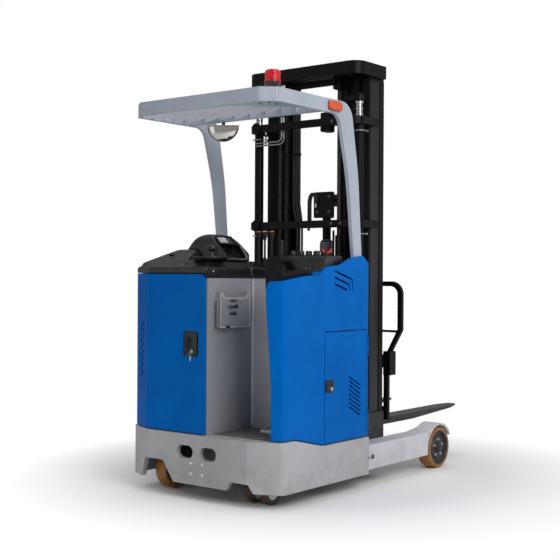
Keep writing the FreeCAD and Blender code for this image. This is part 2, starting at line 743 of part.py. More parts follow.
def join(shapes):
    """One solid from pieces that touch."""
    shapes = list(shapes)
    if len(shapes) == 1:
        return shapes[0]
    return shapes[0].multiFuse(shapes[1:]).removeSplitter()


def round_corner(before, corner, after, radius):
    """Start, middle and end of the arc that rounds a corner."""
    back = before - corner
    ahead = after - corner
    half_angle = back.getAngle(ahead) / 2
    longest_reach = 0.49 * min(back.Length, ahead.Length)
    reach = min(radius / math.tan(half_angle), longest_reach)
    arc_radius = reach * math.tan(half_angle)
    back.normalize()
    ahead.normalize()
    bisector = back + ahead
    bisector.normalize()
    middle = corner + bisector * (arc_radius / math.sin(half_angle) - arc_radius)
    return corner + back * reach, middle, corner + ahead * reach


PLANES = {
    "XY": lambda u, v, w: Vector(u, v, w),
    "XZ": lambda u, v, w: Vector(u, w, v),
    "YZ": lambda u, v, w: Vector(w, u, v),
}


def prism(plane, points, low, high):
    """Outline of (u, v) or (u, v, corner radius) points, drawn in a plane and pulled from low to high."""
    corners = [Vector(point[0], point[1], 0) for point in points]
    radii = [point[2] if len(point) == 3 else 0 for point in points]
    stretches = []
    for index, corner in enumerate(corners):
        if radii[index] > 0:
            following = corners[(index + 1) % len(corners)]
            stretches.append(round_corner(corners[index - 1], corner, following, radii[index]))
        else:
            stretches.append((corner,))
    to_space = PLANES[plane]
    edges = []
    for index, stretch in enumerate(stretches):
        if len(stretch) == 3:
            edges.append(Part.Arc(*[to_space(p.x, p.y, low) for p in stretch]).toShape())
        start = to_space(stretch[-1].x, stretch[-1].y, low)
        following = stretches[(index + 1) % len(stretches)][0]
        end = to_space(following.x, following.y, low)
        if (end - start).Length > 1e-6:
            edges.append(Part.makeLine(start, end))
    face = Part.Face(Part.Wire(edges))
    return face.extrude(to_space(0, 0, high - low))


def rectangle(u0, u1, v0, v1, radius):
    """Corner points of a rectangle with rounded corners."""
    return [(u0, v0, radius), (u1, v0, radius), (u1, v1, radius), (u0, v1, radius)]


def slot_between(u0, v0, u1, v1, width):
    """Corner points of a straight slot with round ends, from one end's centre to the other's."""
    direction = Vector(u1 - u0, v1 - v0, 0)
    direction.normalize()
    side = Vector(-direction.y, direction.x, 0) * (width / 2)
    tip = direction * (width / 2)
    start = Vector(u0, v0, 0) - tip
    end = Vector(u1, v1, 0) + tip
    corners = [start - side, end - side, end + side, start + side]
    return [(corner.x, corner.y, width / 2 - 0.01) for corner in corners]


def ring_sector_x(outer, inner, x0, x1, y, z, start, end):
    """Part of a ring about an axle along X, between two angles from +Y towards +Z."""
    middle = math.radians((start + end) / 2)

    def at(radius, angle):
        return Vector(x0, y + radius * math.cos(angle), z + radius * math.sin(angle))

    first = math.radians(start)
    last = math.radians(end)
    edges = [
        Part.Arc(at(outer, first), at(outer, middle), at(outer, last)).toShape(),
        Part.makeLine(at(outer, last), at(inner, last)),
        Part.Arc(at(inner, last), at(inner, middle), at(inner, first)).toShape(),
        Part.makeLine(at(inner, first), at(outer, first)),
    ]
    return Part.Face(Part.Wire(edges)).extrude(Vector(x1 - x0, 0, 0))


# ---------------------------------------------------------------- chassis
def body_outline(inset, front):
    """Plan of the body with its two cut rear corners, drawn inwards by an inset."""
    half = BODY_HALF_WIDTH - inset
    facet_turn = math.atan2(CORNER_Y, CORNER_X)
    rear_x = BODY_HALF_WIDTH - CORNER_X - inset * math.tan(facet_turn / 2)
    side_y = CORNER_Y + inset * math.tan((math.pi / 2 - facet_turn) / 2)
    radius = max(CORNER_RADIUS - inset, 1.0)
    return [
        (-half, front), (-half, side_y, radius), (-rear_x, inset, radius),
        (rear_x, inset, radius), (half, side_y, radius), (half, front),
    ]


def sill_profile(drop, rear, front):
    """Side view of the chassis top, lowered by a drop and closed well below the chassis."""
    return [
        (rear, -drop), (rear, FLOOR_HEIGHT - drop), (SILL_SLOPE_START, FLOOR_HEIGHT - drop, 60.0),
        (SILL_SLOPE_END, SIDE_SILL_HEIGHT - drop, 60.0), (front, SIDE_SILL_HEIGHT - drop), (front, -drop),
    ]


def sill_height(y):
    """Height of the chassis top edge at a distance from the rear."""
    share = (y - SILL_SLOPE_START) / (SILL_SLOPE_END - SILL_SLOPE_START)
    share = min(max(share, 0.0), 1.0)
    return FLOOR_HEIGHT + share * (SIDE_SILL_HEIGHT - FLOOR_HEIGHT)


def make_chassis():
    """Welded chassis: a rear bay open below for the wheels and a battery bay ahead of it."""
    outer = prism("XY", body_outline(0, CHASSIS_LENGTH), CHASSIS_BOTTOM, FLOOR_HEIGHT)
    outer = outer.common(prism("YZ", sill_profile(0, -1, CHASSIS_LENGTH + 1), -BODY_HALF_WIDTH, BODY_HALF_WIDTH))
    under_deck = prism("YZ", sill_profile(DECK_THICKNESS, 0, CHASSIS_LENGTH), -BODY_HALF_WIDTH, BODY_HALF_WIDTH)
    rear_bay = prism("XY", body_outline(CHASSIS_WALL, BULKHEAD_Y), 0, FLOOR_HEIGHT).common(under_deck)
    inner = BODY_HALF_WIDTH - CHASSIS_WALL
    battery_bay = box(-inner, inner, BULKHEAD_Y + CHASSIS_WALL, CHASSIS_LENGTH - CHASSIS_WALL,
                      CHASSIS_BOTTOM + DECK_THICKNESS, SIDE_SILL_HEIGHT - DECK_THICKNESS)
    hatch = prism("XY", rectangle(-inner + CHASSIS_FRAME_FLANGE, inner - CHASSIS_FRAME_FLANGE,
                                  BULKHEAD_Y + CHASSIS_WALL + CHASSIS_FRAME_FLANGE,
                                  CHASSIS_LENGTH - CHASSIS_WALL - CHASSIS_FRAME_FLANGE, HATCH_ROUND),
                  0, CHASSIS_BOTTOM + DECK_THICKNESS + 1)
    body = outer.cut(rear_bay).cut(battery_bay).cut(hatch)
    drive_notch = [
        (DRIVE_NOTCH_LEFT, 0), (DRIVE_NOTCH_LEFT, CHASSIS_BOTTOM + DRIVE_NOTCH_STEP),
        (DRIVE_NOTCH_LEFT + DRIVE_NOTCH_SLOPE, DRIVE_NOTCH_TOP, DRIVE_NOTCH_ROUND),
        (DRIVE_NOTCH_RIGHT - 2 * DRIVE_NOTCH_SLOPE, DRIVE_NOTCH_TOP, DRIVE_NOTCH_ROUND),
        (DRIVE_NOTCH_RIGHT, CHASSIS_BOTTOM), (DRIVE_NOTCH_RIGHT, 0),
    ]
    caster_notch = [
        (CASTER_NOTCH_LEFT, 0), (CASTER_NOTCH_LEFT, CHASSIS_BOTTOM),
        (CASTER_NOTCH_LEFT + CASTER_NOTCH_SLOPE, CASTER_NOTCH_TOP, CASTER_NOTCH_ROUND),
        (CASTER_NOTCH_RIGHT - CASTER_NOTCH_SLOPE, CASTER_NOTCH_TOP, CASTER_NOTCH_ROUND),
        (CASTER_NOTCH_RIGHT, CHASSIS_BOTTOM), (CASTER_NOTCH_RIGHT, 0),
    ]
    notch_depth = CORNER_Y + CHASSIS_WALL
    body = body.cut(prism("XZ", drive_notch, -1, notch_depth))
    body = body.cut(prism("XZ", caster_notch, -1, notch_depth))
    straight = (TOW_SLOT_LENGTH - TOW_SLOT_HEIGHT) / 2
    for side in (-1, 1):
        centre = TOW_SLOT_X + side * TOW_SLOT_SPACING / 2
        points = slot_between(centre - straight, TOW_SLOT_Z, centre + straight, TOW_SLOT_Z, TOW_SLOT_HEIGHT)
        body = body.cut(prism("XZ", points, -1, CHASSIS_WALL + 1))
    body = body.cut(bar_z(TURNTABLE_RADIUS + DRIVE_GAP, DRIVE_X, DRIVE_Y, CHASSIS_BOTTOM, FLOOR_HEIGHT + 1))
    pad_half = CASTER_PLATE_RADIUS + CASTER_GAP
    caster_pad = box(CASTER_X - pad_half, CASTER_X + pad_half, CASTER_Y - pad_half, CASTER_Y + pad_half,
                     CASTER_PAD_BOTTOM, sill_height(CASTER_Y + pad_half) - DECK_THICKNESS / 2)
    cylinder_exit = bar_y(REACH_CYLINDER_RADIUS + RAIL_STEP, 0, BULKHEAD_Y + CHASSIS_WALL,
                          CHASSIS_LENGTH + 1, REACH_CYLINDER_Z)
    bulkhead_hole = bar_y(REACH_CYLINDER_RADIUS + AXLE_CLEARANCE, 0, BULKHEAD_Y - 1,
                          BULKHEAD_Y + CHASSIS_WALL + 1, REACH_CYLINDER_Z)
    return join([body, caster_pad]).cut(cylinder_exit).cut(bulkhead_hole)


def make_leg():
    """Right straddle leg: a channel open inwards, a fender and an inner bracket with the wheel's axle."""
    beam = box(LEG_INNER_X, LEG_OUTER_X, CHASSIS_LENGTH, LEG_END, LEG_BOTTOM, LEG_TOP)
    channel = box(LEG_INNER_X - 1, LEG_OUTER_X - LEG_WEB, CHASSIS_LENGTH - 1, LEG_END - FENDER_THICKNESS,
                  LEG_BOTTOM + LEG_FLANGE, LEG_TOP - LEG_FLANGE)
    fender_inner = LOAD_WHEEL_RADIUS + LOAD_WHEEL_GAP
    fender_outer = fender_inner + FENDER_THICKNESS
    fender = ring_sector_x(fender_outer, fender_inner, LEG_INNER_X, LEG_OUTER_X, LOAD_WHEEL_Y,
                           LOAD_WHEEL_RADIUS, FENDER_START_ANGLE, FENDER_END_ANGLE)
    disc = bar_x(fender_outer, LEG_INNER_X, LEG_INNER_X + LOAD_BRACKET_THICKNESS, LOAD_WHEEL_Y, LOAD_WHEEL_RADIUS)
    above = box(LEG_INNER_X - 1, LEG_OUTER_X, LEG_END - FENDER_THICKNESS, LOAD_WHEEL_Y + fender_outer + 1,
                LEG_BOTTOM, LEG_TOP + fender_outer)
    bracket = disc.common(above)
    crest = LOAD_WHEEL_Y - fender_outer / 2
    crest_z = LOAD_WHEEL_RADIUS + fender_outer * math.cos(math.radians(RAMP_TOP_ANGLE)) - RAMP_TOP_DROP
    ramp_foot = LEG_END - RAMP_LENGTH
    ramp = prism("YZ", [(ramp_foot, LEG_TOP - LEG_FLANGE / 2), (ramp_foot, LEG_TOP, RAMP_FOOT_EASE),
                        (crest - RAMP_HEAD_LENGTH, crest_z - RAMP_HEAD_DROP, RAMP_HEAD_EASE), (crest, crest_z),
                        (crest - RAMP_LAP_Y, crest_z - RAMP_LAP_Z),
                        (LEG_END, LEG_TOP - LEG_FLANGE / 2)], LEG_INNER_X, LEG_OUTER_X)
    wheel_well = bar_x(fender_inner, LEG_INNER_X + LOAD_BRACKET_THICKNESS, LEG_OUTER_X + 1,
                       LOAD_WHEEL_Y, LOAD_WHEEL_RADIUS)
    axle = bar_x(LOAD_AXLE_RADIUS, LEG_INNER_X + LOAD_BRACKET_THICKNESS / 2,
                 LEG_OUTER_X - LOAD_HUB_RECESS - LOAD_BRACKET_THICKNESS, LOAD_WHEEL_Y, LOAD_WHEEL_RADIUS)
    leg = join([beam.cut(channel), fender, bracket, ramp]).cut(wheel_well)
    return join([leg, axle])


def make_load_wheel():
    """Right load wheel: hub with a dished outer face and the tyre pressed on it."""
    inner = LEG_OUTER_X - LOAD_WHEEL_WIDTH
    hub_radius = LOAD_WHEEL_RADIUS - LOAD_TYRE_THICKNESS
    hub = bar_x(hub_radius, inner, LEG_OUTER_X, LOAD_WHEEL_Y, LOAD_WHEEL_RADIUS)
    dish = tube_x(hub_radius - 14, 34.0, LEG_OUTER_X - LOAD_HUB_RECESS, LEG_OUTER_X + 1,
                  LOAD_WHEEL_Y, LOAD_WHEEL_RADIUS)
    bore = bar_x(LOAD_AXLE_RADIUS + AXLE_CLEARANCE, inner - 1, LEG_OUTER_X - LOAD_HUB_RECESS,
                 LOAD_WHEEL_Y, LOAD_WHEEL_RADIUS)
    tyre = tube_x(LOAD_WHEEL_RADIUS, hub_radius, inner, LEG_OUTER_X, LOAD_WHEEL_Y, LOAD_WHEEL_RADIUS)
    edges = [edge for edge in tyre.Edges if abs(edge.BoundBox.ZLength - 2 * LOAD_WHEEL_RADIUS) < 1]
    return hub.cut(dish).cut(bore), tyre.makeFillet(8.0, edges)


# ---------------------------------------------------------------- drive unit and caster
def make_drive_unit():
    """Steered drive unit: turntable, gearbox beside the wheel, stub axle and the motor above the deck."""
    ring_bottom = 2 * DRIVE_WHEEL_RADIUS + DRIVE_GAP
    ring = bar_z(TURNTABLE_RADIUS, DRIVE_X, DRIVE_Y, ring_bottom, FLOOR_HEIGHT)
    gear_inner = DRIVE_X + DRIVE_WHEEL_WIDTH / 2 + DRIVE_GAP
    gear_low = DRIVE_WHEEL_RADIUS - GEARBOX_REACH
    gear_high = ring_bottom + GEARBOX_LAP
    gearbox = prism("YZ", [(DRIVE_Y - GEARBOX_HALF_FOOT, gear_low, GEARBOX_ROUND),
                           (DRIVE_Y + GEARBOX_HALF_FOOT, gear_low, GEARBOX_ROUND),
                           (DRIVE_Y + GEARBOX_HALF_HEAD, gear_high), (DRIVE_Y - GEARBOX_HALF_HEAD, gear_high)],
                    gear_inner, gear_inner + GEARBOX_THICKNESS)
    axle = bar_x(LOAD_AXLE_RADIUS, DRIVE_X - DRIVE_WHEEL_WIDTH / 4, gear_inner + DRIVE_AXLE_LAP, DRIVE_Y,
                 DRIVE_WHEEL_RADIUS)
    motor = bar_z(DRIVE_MOTOR_RADIUS, DRIVE_X, DRIVE_Y, FLOOR_HEIGHT - 1, FLOOR_HEIGHT + DRIVE_MOTOR_HEIGHT)
    brake = bar_z(DRIVE_MOTOR_RADIUS * BRAKE_SHARE, DRIVE_X, DRIVE_Y, FLOOR_HEIGHT + DRIVE_MOTOR_HEIGHT - 1,
                  FLOOR_HEIGHT + DRIVE_MOTOR_HEIGHT + GEARBOX_THICKNESS)
    return join([ring, gearbox, axle, motor, brake])


def make_drive_wheel():
    """Drive wheel hub and its tyre."""
    x0 = DRIVE_X - DRIVE_WHEEL_WIDTH / 2
    x1 = DRIVE_X + DRIVE_WHEEL_WIDTH / 2
    hub_radius = DRIVE_WHEEL_RADIUS - DRIVE_TYRE_THICKNESS
    hub = bar_x(hub_radius, x0, x1, DRIVE_Y, DRIVE_WHEEL_RADIUS)
    axle_end = DRIVE_X - DRIVE_WHEEL_WIDTH / 4 - AXLE_END_GAP
    hub = hub.cut(bar_x(LOAD_AXLE_RADIUS + AXLE_CLEARANCE, axle_end, x1 + 1, DRIVE_Y, DRIVE_WHEEL_RADIUS))
    tyre = tube_x(DRIVE_WHEEL_RADIUS, hub_radius, x0, x1, DRIVE_Y, DRIVE_WHEEL_RADIUS)
    edges = [edge for edge in tyre.Edges if abs(edge.BoundBox.ZLength - 2 * DRIVE_WHEEL_RADIUS) < 1]
    return hub, tyre.makeFillet(8.0, edges)


def make_caster_fork():
    """Caster swivel: plate, centre leg and the axle that both wheels share."""
    plate = bar_z(CASTER_PLATE_RADIUS, CASTER_X, CASTER_Y, CASTER_PAD_BOTTOM - 1 - CASTER_PLATE_THICKNESS,
                  CASTER_PAD_BOTTOM - 1)
    axle_y = CASTER_Y - CASTER_OFFSET
    cheek_half = (CASTER_TRACK - CASTER_WIDTH) / 2 - CASTER_CHEEK_GAP
    leg_top = CASTER_PAD_BOTTOM - 1 - CASTER_PLATE_THICKNESS / 2
    cheek_low = CASTER_RADIUS - CASTER_CHEEK_HALF_FOOT
    cheek = prism("YZ", [(axle_y - CASTER_CHEEK_HALF_FOOT, cheek_low, CASTER_CHEEK_ROUND),
                         (axle_y + CASTER_CHEEK_HALF_FOOT, cheek_low, CASTER_CHEEK_ROUND),
                         (CASTER_Y + CASTER_CHEEK_HALF_HEAD, leg_top), (CASTER_Y - CASTER_CHEEK_HALF_HEAD, leg_top)],
                  CASTER_X - cheek_half, CASTER_X + cheek_half)
    reach = (CASTER_TRACK + CASTER_WIDTH) / 2
    axle = bar_x(CASTER_AXLE_RADIUS, CASTER_X - reach, CASTER_X + reach, axle_y, CASTER_RADIUS)
    return join([plate, cheek, axle])


def make_caster_wheels():
    """Twin caster wheels with rounded treads."""
    wheels = []
    for side in (-1, 1):
        centre = CASTER_X + side * CASTER_TRACK / 2
        wheel = tube_x(CASTER_RADIUS, CASTER_AXLE_RADIUS + AXLE_CLEARANCE, centre - CASTER_WIDTH / 2,
                       centre + CASTER_WIDTH / 2, CASTER_Y - CASTER_OFFSET, CASTER_RADIUS)
        edges = [edge for edge in wheel.Edges if abs(edge.BoundBox.ZLength - 2 * CASTER_RADIUS) < 1]
        wheels.append(wheel.makeFillet(CASTER_TYRE_THICKNESS / 2, edges))
    return Part.makeCompound(wheels)


# ---------------------------------------------------------------- covers
PANEL_OUTER_X = BODY_HALF_WIDTH - PANEL_INSET
PANEL_INNER_X = PANEL_OUTER_X - PANEL_THICKNESS
PANEL_REAR = PANEL_INSET
REAR_HINGE_X = HINGE_X + DOOR_GAP / 2
SIDE_HINGE_Y = CHASSIS_LENGTH - PANEL_THICKNESS / 2


def hinge_knuckles(x, y, heights):
    """Fixed knuckles, moving knuckles and the room cut for them, for hinges at the given heights."""
    fixed = []
    moving = []
    room = []
    for height in heights:
        low = height - HINGE_SPAN / 2
        high = height + HINGE_SPAN / 2
        moving.append(bar_z(HINGE_RADIUS, x, y, low, high))
        fixed.append(bar_z(HINGE_RADIUS, x, y, low - HINGE_GAP - HINGE_END, low - HINGE_GAP))
        fixed.append(bar_z(HINGE_RADIUS, x, y, high + HINGE_GAP, high + HINGE_GAP + HINGE_END))
        room.append((low, high))
    return fixed, moving, room


def clear_of_knuckles(panel, x, y, spans):
    """Panel with room cut around another panel's knuckles."""
    for low, high in spans:
        panel = panel.cut(bar_z(HINGE_RADIUS + HINGE_GAP, x, y, low - HINGE_GAP, high + HINGE_GAP))
    return panel


def above_sill(gap):
    """Everything below the gap over the chassis top edge, to cut a cover's foot."""
    return prism("YZ", sill_profile(-gap, -1, CHASSIS_LENGTH + 1), -BODY_HALF_WIDTH - 1, BODY_HALF_WIDTH + 1)


def fixed_spans(heights):
    """Height spans of the fixed knuckles."""
    spans = []
    for height in heights:
        low = height - HINGE_SPAN / 2 - HINGE_GAP
        high = height + HINGE_SPAN / 2 + HINGE_GAP
        spans.append((low - HINGE_END, low))
        spans.append((high, high + HINGE_END))
    return spans


def make_cover_left():
    """Left cover: the cut corner with its louvres and the long side panel."""
    outer = prism("XY", body_outline(PANEL_INSET, CHASSIS_LENGTH - PANEL_THICKNESS - DOOR_GAP),
                  SIDE_SILL_HEIGHT, COVER_TOP)
    inner = prism("XY", body_outline(PANEL_INSET + PANEL_THICKNESS, CHASSIS_LENGTH), 0, COVER_TOP + 1)
    cover = outer.cut(inner).cut(above_sill(COVER_GAP))
    cover = cover.common(box(-BODY_HALF_WIDTH, HINGE_X, 0, CHASSIS_LENGTH, 0, COVER_TOP))
    for index in range(LOUVRE_COUNT):
        low = REAR_LOUVRE_LOW + index * REAR_LOUVRE_PITCH
        centre = -BODY_HALF_WIDTH + CORNER_X / 2 + REAR_LOUVRE_REACH / 2
        points = slot_between(centre - REAR_LOUVRE_REACH, low, centre, low + REAR_LOUVRE_RISE, LOUVRE_WIDTH)
        cover = cover.cut(prism("XZ", points, 0, CORNER_Y + PANEL_THICKNESS))
    fixed, _moving, spans = hinge_knuckles(REAR_HINGE_X, PANEL_REAR, REAR_HINGE_HEIGHTS)
    return join([clear_of_knuckles(cover, REAR_HINGE_X, PANEL_REAR, spans)] + fixed)


def make_rear_door():
    """Flat rear door of the left housing, hinged on its left edge."""
    left = HINGE_X + DOOR_GAP
    right = RECESS_LEFT - DOOR_GAP
    bottom = FLOOR_HEIGHT + COVER_GAP
    door = prism("XZ", [(left, bottom), (right, bottom), (right, REAR_DOOR_TOP, REAR_DOOR_CORNER_RADIUS),
                        (left, REAR_DOOR_TOP)], PANEL_REAR, PANEL_REAR + PANEL_THICKNESS)
    half_width = REAR_LATCH_WIDTH / 2
    half_height = REAR_LATCH_HEIGHT / 2
    seat = prism("XZ", rectangle(REAR_LATCH_X - half_width, REAR_LATCH_X + half_width,
                                 REAR_LATCH_Z - half_height, REAR_LATCH_Z + half_height, REAR_LATCH_ROUND),
                 PANEL_REAR - 1, PANEL_REAR + PANEL_THICKNESS / 2)
    _fixed, moving, _spans = hinge_knuckles(REAR_HINGE_X, PANEL_REAR, REAR_HINGE_HEIGHTS)
    door = clear_of_knuckles(door.cut(seat), REAR_HINGE_X, PANEL_REAR, fixed_spans(REAR_HINGE_HEIGHTS))
    return join([door] + moving)


def make_rear_latch():
    """Pull latch with a key lock, seated in the rear door."""
    half_width = REAR_LATCH_WIDTH / 2
    half_height = REAR_LATCH_HEIGHT / 2
    plate = prism("XZ", rectangle(REAR_LATCH_X - half_width, REAR_LATCH_X + half_width,
                                  REAR_LATCH_Z - half_height, REAR_LATCH_Z + half_height, REAR_LATCH_ROUND),
                  PANEL_REAR - LATCH_DEPTH, PANEL_REAR + PANEL_THICKNESS / 2)
    grip_half = half_width - REAR_LATCH_RIM
    grip = prism("XZ", rectangle(REAR_LATCH_X - grip_half, REAR_LATCH_X + grip_half,
                                 REAR_LATCH_Z - half_height + REAR_LATCH_GRIP_RISE,
                                 REAR_LATCH_Z + half_height - REAR_LATCH_RIM, REAR_LATCH_GRIP_ROUND),
                 PANEL_REAR - LATCH_DEPTH - 1, PANEL_REAR + LATCH_DEPTH)
    lock = bar_y(LOCK_RADIUS, REAR_LATCH_X, PANEL_REAR - LATCH_DEPTH - LOCK_PROUD, PANEL_REAR,
                 REAR_LATCH_Z - half_height + REAR_LATCH_LOCK_RISE)
    return join([plate.cut(grip), lock])


def crest(rise):
    """Top edge of the right wall from its rear end forwards, raised by a gap."""
    return [
        (CREST_HEEL_Y, CREST_HEEL_Z + rise, CREST_HEEL_ROUND),
        (CREST_RAMP_Y, CREST_RAMP_Z + rise, CREST_RAMP_ROUND),
        (CREST_REST_Y, CREST_REST_Z + rise, CREST_REST_ROUND),
        (CREST_STEP_Y, CREST_STEP_Z + rise, CREST_STEP_ROUND),
        (CREST_LEDGE_Y, CREST_LEDGE_Z + rise, CREST_STEP_ROUND),
        (CREST_SADDLE_Y, CREST_SADDLE_Z + rise, CREST_SADDLE_ROUND),
        (CREST_RISE_Y, CREST_RISE_Z + rise, CREST_SADDLE_ROUND),
        (CHASSIS_LENGTH - CREST_PEAK_REAR_GAP, CREST_PEAK_Z + rise, CREST_PEAK_ROUND),
        (CHASSIS_LENGTH - CREST_PEAK_FRONT_GAP, CREST_BROW_Z + rise, CREST_FRONT_ROUND),
        (CHASSIS_LENGTH - CREST_FRONT_INSET, CREST_FRONT_Z + rise, CREST_FRONT_ROUND),
    ]


def pad_seat():
    """Room cut from the right wall's inner rear corner, where the pad wraps over it."""
    right = RECESS_RIGHT + PAD_SEAT_WIDTH
    return prism("XZ", [(RECESS_RIGHT - 1, PAD_SEAT_LOW), (RECESS_RIGHT, PAD_SEAT_LOW),
                        (RECESS_RIGHT + PAD_SEAT_LEAN, PAD_SEAT_HIGH - PAD_SEAT_EAVES, PAD_SEAT_ROUND), (right, PAD_SEAT_HIGH),
                        (right, PAD_TOP), (RECESS_RIGHT - 1, PAD_TOP)], 0, PAD_SEAT_DEPTH)


def make_cover_right():
    """Right wall and side panel: one moulded cover with vents and the side door's opening."""
    front = CHASSIS_LENGTH - CREST_FRONT_INSET
    profile = [(0, CREST_REAR_Z)] + crest(0) + [(front, SIDE_SILL_HEIGHT), (0, SIDE_SILL_HEIGHT)]
    cover = prism("YZ", profile, RECESS_RIGHT, PANEL_OUTER_X)
    plan = prism("XY", body_outline(PANEL_INSET, CHASSIS_LENGTH), 0, GUARD_TOP)
    cover = cover.common(plan).cut(above_sill(COVER_GAP)).cut(pad_seat())
    lean = prism("XZ", [(RECESS_RIGHT - 1, 0), (RECESS_FOOT_RIGHT, 0), (RECESS_FOOT_RIGHT, RIGHT_WALL_LEAN_LOW),
                        (RECESS_RIGHT, RIGHT_WALL_LEAN_HIGH), (RECESS_RIGHT - 1, RIGHT_WALL_LEAN_HIGH)],
                 0, CHASSIS_LENGTH)
    cover = cover.cut(lean)
    hollow_rear = DOOR_SEAM_Y - PANEL_THICKNESS
    cover = cover.cut(box(RECESS_RIGHT - 1, PANEL_INNER_X, hollow_rear, CHASSIS_LENGTH, 0, GUARD_TOP))
    post = CHASSIS_LENGTH - PANEL_THICKNESS / 2
    cover = cover.cut(box(PANEL_INNER_X - 1, PANEL_OUTER_X + 1, DOOR_SEAM_Y, post, 0, DOOR_SEAM_Z))
    for index in range(VENT_COUNT):
        high = VENT_TOP - index * VENT_SLOT_PITCH
        bend = (VENT_BEND_Y - VENT_BEND_STEP * index, high - VENT_BEND_DROP + VENT_BEND_EASE * index)
        foot = (bend[0] + VENT_FOOT_REACH - index, VENT_FOOT)
        for start, end in (((VENT_REAR, high), bend), (bend, foot)):
            points = slot_between(start[0], start[1], end[0], end[1], VENT_SLOT_WIDTH)
            cover = cover.cut(prism("YZ", points, PANEL_INNER_X - 1, PANEL_OUTER_X + 1))
    fixed, _moving, spans = hinge_knuckles(PANEL_OUTER_X, SIDE_HINGE_Y, SIDE_HINGE_HEIGHTS)
    return join([clear_of_knuckles(cover, PANEL_OUTER_X, SIDE_HINGE_Y, spans)] + fixed)


def make_side_door():
    """Battery door on the right side with its slanted louvres, hinged on its front edge."""
    bottom = SIDE_SILL_HEIGHT + COVER_GAP
    front = CHASSIS_LENGTH - PANEL_THICKNESS / 2 - DOOR_GAP / 2
    door = box(PANEL_INNER_X, PANEL_OUTER_X, DOOR_SEAM_Y + DOOR_GAP, front, bottom, DOOR_SEAM_Z - DOOR_GAP)
    door = door.cut(above_sill(COVER_GAP))
    for index in range(LOUVRE_COUNT):
        high = SIDE_LOUVRE_HIGH - index * SIDE_LOUVRE_PITCH
        points = slot_between(SIDE_LOUVRE_Y - SIDE_LOUVRE_REACH / 2, high, SIDE_LOUVRE_Y + SIDE_LOUVRE_REACH / 2,
                              high - SIDE_LOUVRE_DROP, LOUVRE_WIDTH)
        door = door.cut(prism("YZ", points, PANEL_INNER_X - 1, PANEL_OUTER_X + 1))
    half_width = SIDE_LATCH_WIDTH / 2
    half_height = SIDE_LATCH_HEIGHT / 2
    seat = prism("YZ", rectangle(SIDE_LATCH_Y - half_width, SIDE_LATCH_Y + half_width,
                                 SIDE_LATCH_Z - half_height, SIDE_LATCH_Z + half_height, SIDE_LATCH_ROUND),
                 PANEL_OUTER_X - PANEL_THICKNESS / 2, PANEL_OUTER_X + 1)
    _fixed, moving, _spans = hinge_knuckles(PANEL_OUTER_X, SIDE_HINGE_Y, SIDE_HINGE_HEIGHTS)
    door = clear_of_knuckles(door.cut(seat), PANEL_OUTER_X, SIDE_HINGE_Y, fixed_spans(SIDE_HINGE_HEIGHTS))
    return join([door] + moving)


def make_side_latch():
    """Square latch with a key lock, seated in the side door."""
    half_width = SIDE_LATCH_WIDTH / 2
    half_height = SIDE_LATCH_HEIGHT / 2
    plate = prism("YZ", rectangle(SIDE_LATCH_Y - half_width, SIDE_LATCH_Y + half_width,
                                  SIDE_LATCH_Z - half_height, SIDE_LATCH_Z + half_height, SIDE_LATCH_ROUND),
                  PANEL_OUTER_X - PANEL_THICKNESS / 2, PANEL_OUTER_X + LATCH_DEPTH)
    lock = bar_x(LOCK_RADIUS, PANEL_OUTER_X, PANEL_OUTER_X + LATCH_DEPTH + LOCK_PROUD, SIDE_LATCH_Y, SIDE_LATCH_Z)
    return join([plate, lock])


def make_front_panel():
    """Sheet that closes the body towards the mast."""
    rear = CHASSIS_LENGTH - PANEL_THICKNESS
    return box(-PANEL_OUTER_X, PANEL_INNER_X - DOOR_GAP, rear, CHASSIS_LENGTH,
               SIDE_SILL_HEIGHT + COVER_GAP, COVER_TOP)


def make_recess_side():
    """Left wall of the driver's compartment."""
    rear = PANEL_REAR + PANEL_THICKNESS + DOOR_GAP
    return box(RECESS_LEFT - LINER_THICKNESS, RECESS_LEFT, rear, RECESS_DEPTH, FLOOR_HEIGHT, CAP_BAND_BOTTOM)


def make_recess_front():
    """Front wall of the driver's compartment, standing on the deck."""
    wall = box(RECESS_LEFT - LINER_THICKNESS, RECESS_FOOT_RIGHT, RECESS_DEPTH, RECESS_DEPTH + LINER_THICKNESS,
               FLOOR_HEIGHT, CAP_BAND_BOTTOM)
    return wall.cut(make_cover_right())


def make_floor_plate():
    """Compartment floor with its mat, filled down to the sloping deck."""
    plate = box(RECESS_LEFT - LINER_THICKNESS, RECESS_FOOT_RIGHT, PANEL_REAR, RECESS_DEPTH + LINER_THICKNESS,
                SIDE_SILL_HEIGHT, FLOOR_HEIGHT)
    plate = plate.cut(above_sill(0)).cut(make_cover_right())
    mat = box(RECESS_LEFT + MAT_BORDER, RECESS_FOOT_RIGHT - MAT_BORDER, CORNER_Y, RECESS_DEPTH - MAT_BORDER,
              FLOOR_HEIGHT, FLOOR_HEIGHT + MAT_THICKNESS)
    return plate, mat


